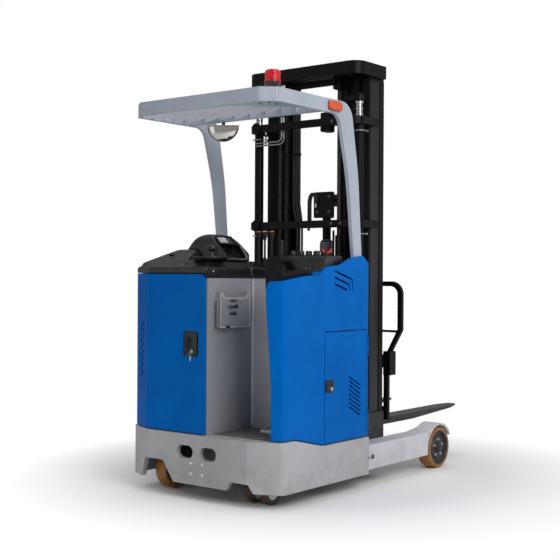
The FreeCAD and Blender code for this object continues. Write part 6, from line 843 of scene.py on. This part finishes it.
def make_hoses():
    """Hydraulic hoses on the mast: each hose is a round profile carried along an eased path, and on the lift
    head a pair of arches with a crimped end."""
    hoses = []
    for index in range(3):
        x = -0.118 - 0.020 * index
        hoses.append([(x, HOSE_Y, 2.36), (x, HOSE_Y, 1.70 - 0.03 * index), (x + 0.025, HOSE_Y + 0.004, 1.55),
                      (x + 0.025, HOSE_Y + 0.004, 0.62)])
    for index in range(2):
        x = 0.150 + 0.020 * index
        hoses.append([(x, HOSE_Y, 1.50 - 0.03 * index), (x, HOSE_Y, 0.40)])
    shape = together([carried(circle(0.0068, 10), eased(path, 0.09, 10)) for path in hoses])
    piece("mast_hoses", shape, "hose_rubber", "inner_mast")
    clip = turned(slab(0.072, 0.018, 0.020, 0.006, 0.002), TO_REAR)
    clips = copies(clip, [(-0.138, HOSE_Y + 0.006, z) for z in HOSE_CLIP_HEIGHTS])
    piece("hose_clips", clips, "mast_paint", "inner_mast")
    low, high = corners("lift_head")
    start = np.array([(low[0] + high[0]) / 2 - 0.050, low[1] - 0.004, high[2] - 0.070])
    arcs = []
    t = np.linspace(0, math.pi, 21)
    for index in range(2):
        drop = 0.060 + 0.018 * index
        path = start + np.column_stack([-0.016 + 0.026 * np.cos(t) - 0.012 * index, np.full(21, -0.004),
                                        0.060 * np.sin(t)])
        tail = path[-1] - np.array([[0, 0, drop], [0, 0, drop + 0.09]])
        arcs.append(carried(circle(0.0085, 10), np.vstack([path, tail])))
    piece("head_hoses", together(arcs), "hose_rubber", "lift_head")
    crimp = lathe(mm((9.5, 0), (9.5, 24), (7.2, 27), (7.2, 0)), 12)
    piece("hose_crimps", moved(crimp, start + (0, -0.002, -0.026)), "silver_metal", "lift_head")


def make_pipe_clips():
    """Clamp and union nuts on the rigid pipes that come down the left of the mast."""
    low, high = corners("mast_pipes")
    x, y = high[0] - 0.0135, (low[1] + high[1]) / 2
    clamp = placed(slab(0.046, 0.020, 0.014, 0.005, 0.003), TO_REAR, (x, y + 0.005, 2.215))
    piece("pipe_clamp", clamp, "mast_paint", "reach_body")
    nut = lathe(mm((9.8, 0), (10.4, 2), (10.4, 16), (9.8, 18), (6, 19)), 6)
    nuts = copies(nut, [(x + side * 0.0085, y, high[2] - 0.012) for side in (-1, 1)])
    piece("pipe_unions", nuts, "silver_metal", "reach_body")


make_rail_faces()
make_tie_fittings()
make_cylinder_fittings()
make_chains()
make_head_fittings()
make_hoses()
make_pipe_clips()


# ---------------------------------------------------------------- wheels
def dish_hub(radius, width, bolts, ring, cap):
    """Wheel centre about its own z: outer flange, dished web, raised boss with a domed cap. Its profile
    starts at the back, and each part of it goes from one of the three radii."""
    profile = [(radius + r, z - width) for r, z in mm((-12, 0), (-4, 0), (0, 4))]
    for start, steps in ((radius, mm((0, -4), (-3, 0), (-10, 0), (-13, -3), (-17, -16), (-28, -20))),
                         (ring, mm((22, -20), (17, -14), (-13, -12))),
                         (cap, mm((12, -12), (8, -4), (4, 0), (0, 1)))):
        profile += [(start + r, z) for r, z in steps]
    profile += [(cap * share, z) for share, z in ((0.9, 0.004), (0.6, 0.0065), (0.2, 0.0075))]
    hub = moved(lathe(profile, 56), (0, 0, width / 2))
    angle = np.arange(bolts) * 2 * math.pi / bolts + 0.3
    places = [(ring * math.cos(a), ring * math.sin(a), width / 2 - 0.0128) for a in angle]
    return hub, copies(hex_bolt(0.0078, 0.008), places)


def tread(outer, inner, width, crown):
    """Tyre about its own z: straight sides, rounded shoulders and a face that falls from its middle by
    crown (t^2 + |t|^12 / 2)."""
    half, corner = width / 2, 0.006
    t = np.linspace(-1, 1, 15)
    face = outer - crown * t ** 2 - 0.5 * crown * np.abs(t) ** 12
    z = (half - corner) * t
    low = [(face[0] - corner + corner * math.sin(a), -half + corner - corner * math.cos(a))
           for a in np.linspace(0, math.pi / 2, 5)]
    high = [(r, -h) for r, h in low[::-1]]
    sides = [(inner, -half + 0.002), (inner + 0.003, -half)]
    profile = sides + low + list(zip(face[1:-1], z[1:-1])) + high + [(r, -h) for r, h in sides[::-1]]
    angle = np.linspace(0, 2 * math.pi, 72, endpoint=False)
    return ring_loft(np.array([[(r * math.cos(a), r * math.sin(a), h) for r, h in profile] for a in angle]))


def make_load_wheels():
    """Load wheels: dished black hubs with plated bolts, and cast amber treads with a moulding line."""
    for side, turn, outwards in (("right", TO_X, 1), ("left", TO_LEFT, -1)):
        low, high = corners("load_tyre_" + side)
        hub_low, hub_high = corners("load_hub_" + side)
        outer, hub_radius = (high[2] - low[2]) / 2, (hub_high[2] - hub_low[2]) / 2
        middle = joint_place("load_spin_" + side)
        middle[0] = (hub_low[0] + hub_high[0]) / 2
        hub, bolts = dish_hub(hub_radius - 0.0004, hub_high[0] - hub_low[0], 5, 0.052, 0.026)
        body = "load_wheel_" + side
        piece("load_hub_dish_" + side, placed(hub, turn, middle), "hub_metal", body, "load_hub_" + side)
        piece("load_bolts_" + side, placed(bolts, turn, middle), "silver_metal", body)
        ring = tread(outer, hub_radius - 0.001, high[0] - low[0], 0.0035)
        piece("load_tread_" + side, placed(ring, turn, middle), "tyre", body, "load_tyre_" + side)
        line = bead(level(circle(outer - 0.0012, 64), outwards * 0.030), 0.0011, TO_X, middle, 6)
        piece("load_mould_line_" + side, line, "tyre", body)


def make_drive_wheel():
    """Drive wheel: amber tread, and bolts on its dark hub's outer face."""
    low, high = corners("drive_tyre")
    hub_low, hub_high = corners("drive_hub")
    middle = joint_place("drive_spin")
    middle[0] = (low[0] + high[0]) / 2
    ring = tread((high[2] - low[2]) / 2, (hub_high[2] - hub_low[2]) / 2 - 0.001, high[0] - low[0], 0.003)
    piece("drive_tread", placed(ring, TO_X, middle), "tyre", "drive_wheel", "drive_tyre")
    places = [(hub_low[0] + 0.001, middle[1] + y, middle[2] + z) for y, z in circle(0.060, 6)]
    bolt = turned(hex_bolt(0.008, 0.008), TO_LEFT)
    piece("drive_bolts", copies(bolt, places), "silver_metal", "drive_wheel")


def make_caster():
    """Pair of caster wheels with rounded dark treads, steel discs and a nut on the axle."""
    low, high = corners("caster_wheels")
    radius, half = (high[2] - low[2]) / 2, 0.026
    profile = [(0.012, -half + 0.003), (radius * 0.67, -half + 0.003), (radius * 0.67, half - 0.003),
               (radius * 0.60, half - 0.008), (0.022, half - 0.008), (0.019, half - 0.001), (0.012, half)]
    treads, discs = [], []
    for x, turn in ((low[0] + half, TO_LEFT), (high[0] - half, TO_X)):
        place = joint_place("caster_spin")
        place[0] = x
        treads.append(placed(tread(radius, radius * 0.66, 2 * half, 0.0045), TO_X, place))
        discs.append(placed(lathe(profile, 40), turn, place))
    piece("caster_treads", together(treads), "caster_tread", "caster_wheels", "caster_wheels")
    piece("caster_discs", together(discs), "silver_metal", "caster_wheels")


# ---------------------------------------------------------------- covers and chassis
LOCK = lathe(mm((11.5, 0), (11.5, 3), (9.5, 4.5), (8, 4), (7, 5.5), (1, 5.5)), 28)


def make_rear_latch():
    """Rear latch: rounded plate, dished grip, key lock, and two keys on their ring."""
    low, high = corners("rear_latch")
    x, z, rear = (low[0] + high[0]) / 2, (low[2] + high[2]) / 2, low[1]
    plate = slab(0.092, high[2] - low[2], high[1] - rear - 0.002, 0.016, 0.004)
    plate = placed(plate, TO_REAR, (x, high[1], z))
    piece("rear_latch_plate", plate, "latch_black", "rear_door", "rear_latch")
    dish_place = np.array([x - 0.008, rear + 0.0015, z - 0.006])
    rim = bead(rounded_loop(0.040, 0.082, 0.014, 6), 0.0022, TO_REAR, dish_place)
    piece("rear_latch_rim", rim, "control_plastic", "rear_door")
    dish = placed(slab(0.037, 0.079, 0.0016, 0.013, 0.0008), TO_REAR, dish_place + (0, 0.0007, 0))
    piece("rear_latch_dish", dish, "gap_black", "rear_door")
    place = np.array([x + 0.012, rear + 0.001, z - 0.040])
    piece("rear_lock", placed(LOCK, TO_REAR, place), "silver_metal", "rear_door")
    key = placed(slab(0.0095, 0.020, 0.0018, 0.004, 0.0006), TO_X, place + (-0.001, -0.010, 0))
    path = [place + (0.009 * math.sin(a), -0.013, -0.016 + 0.011 * math.cos(a))
            for a in np.linspace(0, 2 * math.pi, 28, endpoint=False)]
    ring = carried(circle(0.0009, 6), path, closed=True)
    spare = placed(slab(0.010, 0.024, 0.0016, 0.0045, 0.0005), TO_REAR, place + (0.001, -0.0125, -0.040))
    piece("rear_keys", together([key, ring, spare]), "silver_metal", "rear_door")


def make_side_latch():
    """Side latch: rounded plate, rim of its grip and key lock."""
    low, high = corners("side_latch")
    y, z, face = (low[1] + high[1]) / 2, (low[2] + high[2]) / 2, high[0]
    plate = slab(high[1] - low[1], high[2] - low[2], face - low[0] - 0.002, 0.010, 0.003)
    piece("side_latch_plate", placed(plate, TO_X, (low[0], y, z)), "latch_black", "side_door", "side_latch")
    rim = bead(rounded_loop(0.050, 0.042, 0.008, 6), 0.0020, TO_X, (face - 0.0015, y - 0.004, z))
    piece("side_latch_rim", rim, "control_plastic", "side_door")
    piece("side_lock", placed(LOCK, TO_X, (face - 0.003, y + 0.018, z - 0.014)), "silver_metal", "side_door")


def make_chassis_details():
    """Button bolts on the chassis's rear face, and bolts on the legs."""
    low, high = corners("chassis")
    bolt = turned(dome_head(0.0085, 0.005), TO_REAR)
    places = [(x, low[1], z) for x, z in ((-0.028, 0.201), (0.054, 0.201), (-0.029, 0.144), (0.053, 0.144))]
    piece("chassis_bolts", copies(bolt, places), "strip_light")
    low, high = corners("leg_right")
    places = [(high[0] - 0.0005, low[1] + 0.030 + 0.050 * k, 0.172) for k in range(2)]
    piece("leg_bolts", both(copies(turned(hex_bolt(0.011, 0.009), TO_X), places)), "bolt_dark")


def make_corner_strip():
    """Joint strip with rivets in the corner of the driver's compartment."""
    low, high = corners("recess_side")
    x, y = high[0] + 0.011, corners("recess_front")[0][1]
    bottom, top = low[2] + 0.020, high[2] - 0.002
    strip = placed(slab(0.014, top - bottom, 0.0022, 0.002, 0.0009), TO_REAR, (x, y, (bottom + top) / 2))
    piece("corner_strip", strip, "strip_light")
    rivets = [(x, y - 0.0022, z) for z in np.linspace(top - 0.030, bottom + 0.030, 7)]
    piece("corner_rivets", copies(turned(dome_head(0.0030, 0.0018), TO_REAR), rivets), "silver_metal")


def make_cover_seal():
    """Round rubber seal between the left cover's panels and the top cover's rim."""
    low, high = corners("cover_left")
    inset, radius = 0.030, 0.0085
    left, rear, z = low[0] + inset, low[1] + inset, high[2] + 0.002 - radius
    path = [(corners("recess_side")[0][0] - 0.010, rear, z), (left + 0.160, rear, z), (left, rear + 0.072, z),
            (left, high[1] - inset, z)]
    piece("cover_seal", carried(circle(radius, 12), path), "gap_black")


def make_pocket_details():
    """Document pocket's rolled hem, whose top edge rises to an ear at each end as a bell curve,
    its folded flange and its clip."""
    low, high = corners("document_pocket")
    face, foot = high[0] - 0.001, low[2] + 0.002
    t = np.linspace(0, 1, 33)
    y = low[1] + 0.004 + (high[1] - low[1] - 0.008) * t
    z = high[2] - 0.036 + sum(0.030 * np.exp(-((t - middle) / 0.055) ** 2) for middle in (0.03, 0.97))
    top = np.column_stack([np.full(33, face), y, z])
    hem = np.vstack([[(face, low[1] + 0.002, foot)], top, [(face, high[1] - 0.002, foot)]])
    # The hem uses the roof blades' paint, which is lightened as painted light.
    piece("pocket_hem", carried(circle(0.0022, 8), hem, closed=True), "slats_lit_paint")
    flange = slab(0.026, high[2] - low[2] - 0.040, 0.0018, 0.003, 0.0006)
    place = (high[0] - 0.010, low[1] - 0.010, (low[2] + high[2]) / 2 - 0.018)
    piece("pocket_flange", placed(flange, spin(Z_AXIS, 28) @ TO_X, place), "liner_paint")
    clip = placed(slab(0.030, 0.012, 0.006, 0.003, 0.002), TO_X, (face, low[1] + 0.060, low[2] + 0.004))
    piece("pocket_clip", clip, "latch_black")


def make_floor_details():
    """Grip strips on the pedal and ribs on the mat."""
    low, high = corners("pedal")
    tall = high[2] - low[2]
    slope = np.array([0.0, high[1] - 0.024 - low[1], tall * 0.75])
    slope = slope / np.linalg.norm(slope)
    bar = set_on(slab(high[0] - low[0] - 0.016, 0.006, 0.003, 0.003, 0.0015, 4), (0, 0, 0), X_AXIS, slope)
    base = np.array([(low[0] + high[0]) / 2, low[1], low[2] + tall / 4 + 0.0004])
    piece("pedal_grips", copies(bar, [base + slope * (0.018 + 0.014 * k) for k in range(6)]), "mat_rubber")
    low, high = corners("floor_mat")
    pitch = 0.014
    rib = slab(high[0] - low[0] - 0.012, 0.007, 0.0016, 0.003, 0.0008, 3)
    count = int((high[1] - low[1] - 0.02) / pitch)
    ribs = [((low[0] + high[0]) / 2, low[1] + 0.012 + pitch * k, high[2] - 0.0002) for k in range(count)]
    piece("mat_ribs", copies(rib, ribs), "mat_rubber")


# ---------------------------------------------------------------- roof
MIRROR_PLACE = (-0.215, REAR + 0.465)
MIRROR_TURN = 32
MIRROR_ROD_TOP = 2.122


def make_beacon():
    """Beacon: ribbed red dome with a raised collar, a smoked base with a rim, and the lamp inside."""
    low, high = corners("beacon_dome")
    base_low, base_high = corners("beacon_base")
    foot, radius, tall = above(low, high, low[2]), (high[0] - low[0]) / 2, high[2] - low[2]
    profile = [(radius + r, z) for r, z in mm((1, 0), (1.5, 8), (-1.5, 10.5), (-1, 30), (-0.2, 32), (-1, 34))]
    profile += [(radius - 0.018 + 0.018 * math.cos(a), tall - 0.016 + 0.016 * math.sin(a))
                for a in np.linspace(0, math.pi / 2, 9)[:-1]]
    dome = lathe(profile + [(radius - 0.020, tall - 0.0002), (0.002, tall)], 64)
    piece("beacon_lens", moved(dome, foot), "beacon_red", stands_for="beacon_dome")
    radius = (base_high[0] - base_low[0]) / 2
    rows = [(0.90, base_low[2] - low[2]), (0.90, -0.050), (0.96, -0.046), (0.99, -0.012), (1.0, -0.010),
            (1.0, -0.003), (0.96, -0.0005)]
    stand = lathe([(radius * share, z) for share, z in rows] + [(0.02, -0.0004)], 64)
    piece("beacon_stand", moved(stand, foot), "beacon_base", stands_for="beacon_base")
    lamp = [(0.008, 0.001), (0.008, 0.012)]
    lamp += [(0.014 * math.cos(a), 0.026 + 0.014 * math.sin(a))
             for a in np.linspace(-math.pi / 2 + 0.5, math.pi / 2 - 0.05, 12)]
    piece("beacon_lamp", moved(lathe(lamp, 24), foot), "pale_plastic")


def make_marker_lamps():
    """Side marker lamps on dark bases: each lens is a superellipse whose width is waisted by a bell curve,
    1 - 0.2 exp(-(y / 0.16 a)^2)."""
    low, high = corners("marker_lamps")
    y, z = (low[1] + high[1]) / 2, (low[2] + high[2]) / 2
    half_long, half_tall, depth = (high[1] - low[1]) / 2, (high[2] - low[2]) / 2, 0.0215
    u = np.linspace(0, 2 * math.pi, 48, endpoint=False)
    ring_y = half_long * np.sign(np.cos(u)) * np.abs(np.cos(u)) ** 0.55
    ring_z = half_tall * np.sign(np.sin(u)) * np.abs(np.sin(u)) ** 0.55
    ring_z = ring_z * (1 - 0.20 * np.exp(-(ring_y / (0.16 * half_long)) ** 2))
    foot = high[0] - 0.022
    rows = []
    for share, out in ((1.0, 0.004), (1.0, depth * 0.62), (0.96, depth * 0.85), (0.86, depth),
                       (0.55, depth * 1.03)):
        rows.append(np.column_stack([np.full(48, foot + out), y + ring_y * share, z + ring_z * share]))
    piece("marker_lenses", both(loft(rows)), "lamp_orange", stands_for="marker_lamps")
    base = slab(2 * half_long - 0.004, 2 * half_tall - 0.004, 0.006, 0.010, 0.002)
    piece("marker_bases", both(placed(base, TO_X, (high[0] - 0.0222, y, z))), "control_plastic")


def make_mirror():
    """Half-dome mirror: silvered shell r = R sin(a) swept over half a turn, black back and rim, and a rod
    with ball joints."""
    height = corners("mirror_glass")[1][2]
    centre, turn = (*MIRROR_PLACE, height), spin(Z_AXIS, MIRROR_TURN)
    radius, rod_y, rod_long = 0.090, 0.012, MIRROR_ROD_TOP - height
    a = np.linspace(0.02, math.pi / 2, 14)[:, None]
    b = np.linspace(math.pi, 2 * math.pi, 33)[None]
    x, z = radius * np.sin(a) * np.cos(b), radius * np.sin(a) * np.sin(b)

    def half_dome(depth, back):
        """Closed half dome whose skin stands off its flat back by a depth in each row."""
        outer = np.stack([x, depth + 0 * x, z], -1)
        flat = np.stack([x[:, ::-1] * 0.98, np.full_like(x, back), z[:, ::-1] * 0.98], -1)
        return loft(np.concatenate([outer, flat], 1))

    glass = half_dome(-0.034 * np.cos(a), 0.002)
    piece("mirror_dome", placed(glass, turn, centre), "mirror_face", stands_for="mirror_glass")
    arc = np.column_stack([x[-1], np.zeros(33), z[-1]])
    straight = [(along, 0, 0) for along in np.linspace(radius, -radius, 17)[1:-1]]
    ball = lathe(mm((3, -10), (8.5, -6), (10, 0), (8.5, 6), (3, 10)), 20)
    nut = lathe(mm((12, 0), (12, 10), (7, 14), (5, 14)), 6)
    shell = together([carried(circle(0.0038, 10), np.vstack([arc, straight]), closed=True),
                      half_dome(0.020 * np.cos(a) + 0.001, 0.0),
                      carried(circle(0.0050, 10), [(0, rod_y, 0.001), (0, rod_y, rod_long)]),
                      moved(ball, (0, rod_y, 0.010)), moved(ball, (0, rod_y, rod_long - 0.006)),
                      moved(nut, (0, rod_y, -0.002))])
    piece("mirror_housing", placed(shell, turn, centre), "control_plastic", stands_for="mirror_shell")


def make_roof_details():
    """Bolts of the roof's corner gusset and silver retaining clips at the blades' ends."""
    high = corners("guard_frame")[1]
    bolt = turned(dome_head(0.0075, 0.005), np.diag([1.0, -1.0, -1.0]))
    places = [(x, REAR + y, high[2] - 0.0745) for x, y in ((0.455, 0.060), (0.395, 0.060), (0.455, 0.120))]
    piece("gusset_bolts", copies(bolt, places), "bolt_dark")
    inner, height = high[0] - 0.022, corners("guard_slats")[0][2] + 0.012
    shares = (np.arange(8) + 0.35) / 8
    places = [(inner * (1 - 1.88 * share) - 0.006, REAR + 0.4645, height) for share in shares]
    clip = turned(slab(0.014, 0.020, 0.004, 0.002, 0.001), TO_REAR)
    piece("slat_clips", copies(clip, places), "silver_metal")


# ---------------------------------------------------------------- backrest pad
PAD_CUT_X = 0.365
PAD_CUT_SLOPE = 0.4444
PAD_GRID = 0.005
PAD_FILL_LIMIT = 0.005
CLOTH_STEPS = 20


def settled(thing):
    """Mesh of an object with its modifiers applied, which then come off."""
    bpy.context.view_layer.update()
    graph = bpy.context.evaluated_depsgraph_get()
    mesh = bpy.data.meshes.new_from_object(thing.evaluated_get(graph), depsgraph=graph)
    thing.modifiers.clear()
    return mesh


def places_of(mesh):
    """Vertex places of a mesh as an array."""
    flat = np.empty(len(mesh.vertices) * 3)
    mesh.vertices.foreach_get("co", flat)
    return flat.reshape(-1, 3)


def pad_outline(high):
    """Side outline of the rest and of its hand hole as (y, z): a tall rounded rear part that steps down
    to a low shelf, over the curved top of the side cover."""
    rear, front = np.array([REAR, high[2]]), high[1:]
    outline = [rear + mm((0, -176), (2, -70), (8, -28), (34, 0), (190, 0), (212, -14), (232, -48),
                         (252, -58)),
               front + mm((-20, -68), (-2, -86), (-98, -94), (-214, -109)),
               rear + mm((100, -118))]
    return np.vstack(outline), rear + mm((72, -26), (164, -12), (212, -62), (192, -74), (110, -60))


def make_pad():
    """Padded rest on the right wall: its outline and hand hole are thickened with rounded edges, joined by
    the lap that wraps over the wall's inner corner, and filled by a short cloth run like foam in a skin."""
    low, high = corners("backrest_pad")
    plan = bpy.data.curves.new("pad_plan", "CURVE")
    plan.dimensions = "2D"
    plan.fill_mode = "BOTH"
    round_edge = 0.012
    plan.extrude = (high[0] - low[0]) / 2 - round_edge
    plan.bevel_depth = round_edge
    plan.bevel_resolution = 3
    plan.offset = -round_edge
    for loop in pad_outline(high):
        seam = (loop[-1] + loop[0]) / 2
        closed = eased(np.vstack([seam, loop, seam])[:, [0, 1, 1]], 0.016, 5)[:-1, :2]
        spline = plan.splines.new("POLY")
        spline.points.add(len(closed) - 1)
        flat = np.column_stack([closed, np.zeros(len(closed)), np.ones(len(closed))])
        spline.points.foreach_set("co", flat.astype(np.float32).ravel())
        spline.use_cyclic_u = True
    shape = bpy.data.objects.new("pad_plan", plan)
    bpy.context.scene.collection.objects.link(shape)
    mesh = settled(shape)
    bpy.data.objects.remove(shape)
    flat = places_of(mesh)
    body = np.column_stack([flat[:, 2] + (low[0] + high[0]) / 2, flat[:, 0], flat[:, 1]])
    mesh.vertices.foreach_set("co", body.ravel())
    side = np.linspace(0, math.pi / 2, 9)
    curve = [(low[0] + 0.003 + 0.066 * (1 - math.cos(a)), low[2] + 0.004 + 0.095 * math.sin(a)) for a in side]
    wrap = [(low[0] + 0.001, low[2] + 0.003), *curve, (low[0] + 0.070, high[2] - 0.100),
            (low[0] + 0.001, high[2] - 0.100)]
    lap = loft([[(x, y, z) for x, z in wrap] for y in (REAR + 0.002, REAR + 0.106)])
    thing = bpy.data.objects.new("rest_pad", mesh)
    bpy.context.scene.collection.objects.link(thing)
    work = bmesh.new()
    work.from_mesh(mesh)
    added = [work.verts.new(point) for point in lap[0].tolist()]
    for face in lap[1].tolist() + lap[2].tolist():
        work.faces.new([added[index] for index in face])
    bmesh.ops.recalc_face_normals(work, faces=work.faces)
    work.to_mesh(mesh)
    work.free()
    grid = thing.modifiers.new("grid", "REMESH")
    grid.mode = "VOXEL"
    grid.voxel_size = PAD_GRID
    ease = thing.modifiers.new("ease", "SMOOTH")
    ease.iterations = 5
    thing.data = settled(thing)
    base = places_of(thing.data)
    fill = thing.modifiers.new("fill", "CLOTH")
    fill.settings.use_pressure = True
    fill.settings.uniform_pressure_force = 4.0
    fill.settings.effector_weights.gravity = 0.0
    fill.settings.tension_stiffness = 20.0
    fill.settings.compression_stiffness = 20.0
    fill.point_cache.frame_start = 1
    fill.point_cache.frame_end = CLOTH_STEPS
    for step in range(1, CLOTH_STEPS + 1):
        bpy.context.scene.frame_set(step)
    shift = places_of(settled(thing)) - base
    bpy.context.scene.frame_set(1)
    size = np.linalg.norm(shift, axis=1)[:, None]
    base = base + shift * np.minimum(1.0, PAD_FILL_LIMIT / np.maximum(size, 1e-6))
    cut = REAR + 0.012 + (base[:, 0] - PAD_CUT_X) * PAD_CUT_SLOPE
    base[:, 1] = np.maximum(base[:, 1], np.where(base[:, 0] > PAD_CUT_X, cut, -9.0))
    base = np.clip(base, low - 0.004, high + 0.004)
    thing.data.vertices.foreach_set("co", base.ravel())
    thing.data.polygons.foreach_set("use_smooth", np.ones(len(thing.data.polygons), bool))
    thing.data.materials.clear()
    thing.data.materials.append(FINISHES["pad_skin"])
    finer = thing.modifiers.new("finer", "SUBSURF")
    finer.levels = 1
    finer.render_levels = 1
    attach(thing, "chassis")
    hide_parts("backrest_pad")


make_load_wheels()
make_drive_wheel()
make_caster()
make_rear_latch()
make_side_latch()
make_chassis_details()
make_corner_strip()
make_cover_seal()
make_pocket_details()
make_floor_details()
make_beacon()
make_marker_lamps()
make_mirror()
make_roof_details()
make_pad()


# ---------------------------------------------------------------- camera, light and floor
CAMERA_PLACE = (3.908, -5.435, 1.217)
CAMERA_AZIMUTH = 38.07
CAMERA_PITCH = -0.195
CAMERA_ROLL = 0.329
LENS = 68.5
FLOOR_SIZE = 60.0
FLOOR_FADE = (1.05, 1.9)
WORLD_LEVEL = 0.34


def make_camera():
    """Camera from behind and to the right of the truck, at waist height."""
    azimuth, pitch = math.radians(CAMERA_AZIMUTH), math.radians(CAMERA_PITCH)
    flat = math.cos(pitch)
    forward = np.array([-math.sin(azimuth) * flat, math.cos(azimuth) * flat, math.sin(pitch)])
    right = np.cross(forward, Z_AXIS)
    right /= np.linalg.norm(right)
    up = np.cross(right, forward)
    roll = math.radians(CAMERA_ROLL)
    right, up = right * math.cos(roll) + up * math.sin(roll), up * math.cos(roll) - right * math.sin(roll)
    data = bpy.data.cameras.new("camera")
    data.lens = LENS
    data.sensor_width = 36.0
    data.clip_end = 100.0
    camera = bpy.data.objects.new("camera", data)
    matrix = np.eye(4)
    matrix[:3, 0], matrix[:3, 1], matrix[:3, 2], matrix[:3, 3] = right, up, -forward, CAMERA_PLACE
    bpy.context.scene.collection.objects.link(camera)
    camera.matrix_world = Matrix(matrix.tolist())
    bpy.context.scene.camera = camera


def make_light(name, place, target, size, power):
    """Soft square lamp aimed at a target."""
    data = bpy.data.lights.new(name, "AREA")
    data.shape = "SQUARE"
    data.size = size
    data.energy = power
    lamp = bpy.data.objects.new(name, data)
    bpy.context.scene.collection.objects.link(lamp)
    lamp.location = place
    aim = np.array(target) - np.array(place)
    lamp.rotation_euler = Vector(aim).to_track_quat("-Z", "Y").to_euler()


def make_world():
    """White to the camera and through glass, and a plain grey level of light on the object."""
    world = bpy.data.worlds.new("studio")
    bpy.context.scene.world = world
    world.use_nodes = True
    tree = world.node_tree
    background = tree.nodes["Background"]
    path = tree.nodes.new("ShaderNodeLightPath")
    seen = tree.nodes.new("ShaderNodeMath")
    seen.operation = "MAXIMUM"
    tree.links.new(path.outputs["Is Camera Ray"], seen.inputs[0])
    tree.links.new(path.outputs["Is Transmission Ray"], seen.inputs[1])
    level = tree.nodes.new("ShaderNodeMapRange")
    level.inputs[3].default_value = WORLD_LEVEL
    level.inputs[4].default_value = 1.0
    tree.links.new(seen.outputs[0], level.inputs[0])
    background.inputs["Color"].default_value = (1.0, 1.0, 1.0, 1.0)
    tree.links.new(level.outputs[0], background.inputs["Strength"])


def make_floor():
    """Pale floor that keeps the truck's soft shadow and turns to plain white away from it."""
    half = FLOOR_SIZE / 2
    mesh = bpy.data.meshes.new("floor")
    points = [(x * half, y * half, 0) for x, y in ((-1, -1), (1, -1), (1, 1), (-1, 1))]
    mesh.from_pydata(points, [], [(0, 1, 2, 3)])
    floor = bpy.data.objects.new("floor", mesh)
    bpy.context.scene.collection.objects.link(floor)
    paint = Finish("pale_floor")
    pale = (0.9, 0.9, 0.9, 1.0)
    paint.give(paint.surface, {"Base Color": pale, "Roughness": 0.9, "Specular IOR Level": 0.1})
    white = paint.add("ShaderNodeEmission", {"Strength": 1.0}).outputs[0]
    away = paint.add("ShaderNodeVectorMath", {0: paint.place}, operation="LENGTH").outputs["Value"]
    camera_ray = paint.add("ShaderNodeLightPath").outputs["Is Camera Ray"]
    seen = paint.times(camera_ray, paint.stepped(away, *FLOOR_FADE))
    blend = paint.add("ShaderNodeMixShader", {0: seen, 1: paint.surface.outputs[0], 2: white}).outputs[0]
    paint.give(paint.tree.nodes["Material Output"], {"Surface": blend})
    mesh.materials.append(paint.material)


make_camera()
make_world()
make_floor()
make_light("key", (5.5, -2.6, 4.4), (0.3, -0.5, 1.0), 3.2, 240.0)
make_light("rear_fill", (-2.6, -6.0, 1.8), (0.0, -0.6, 1.2), 3.5, 26.0)
make_light("top", (0.0, 0.5, 6.2), (0.0, -0.2, 0.0), 4.0, 80.0)
make_light("side", (6.0, 5.5, 2.2), (0.4, 0.0, 1.2), 3.6, 40.0)
bpy.context.scene.view_settings.view_transform = "Standard"
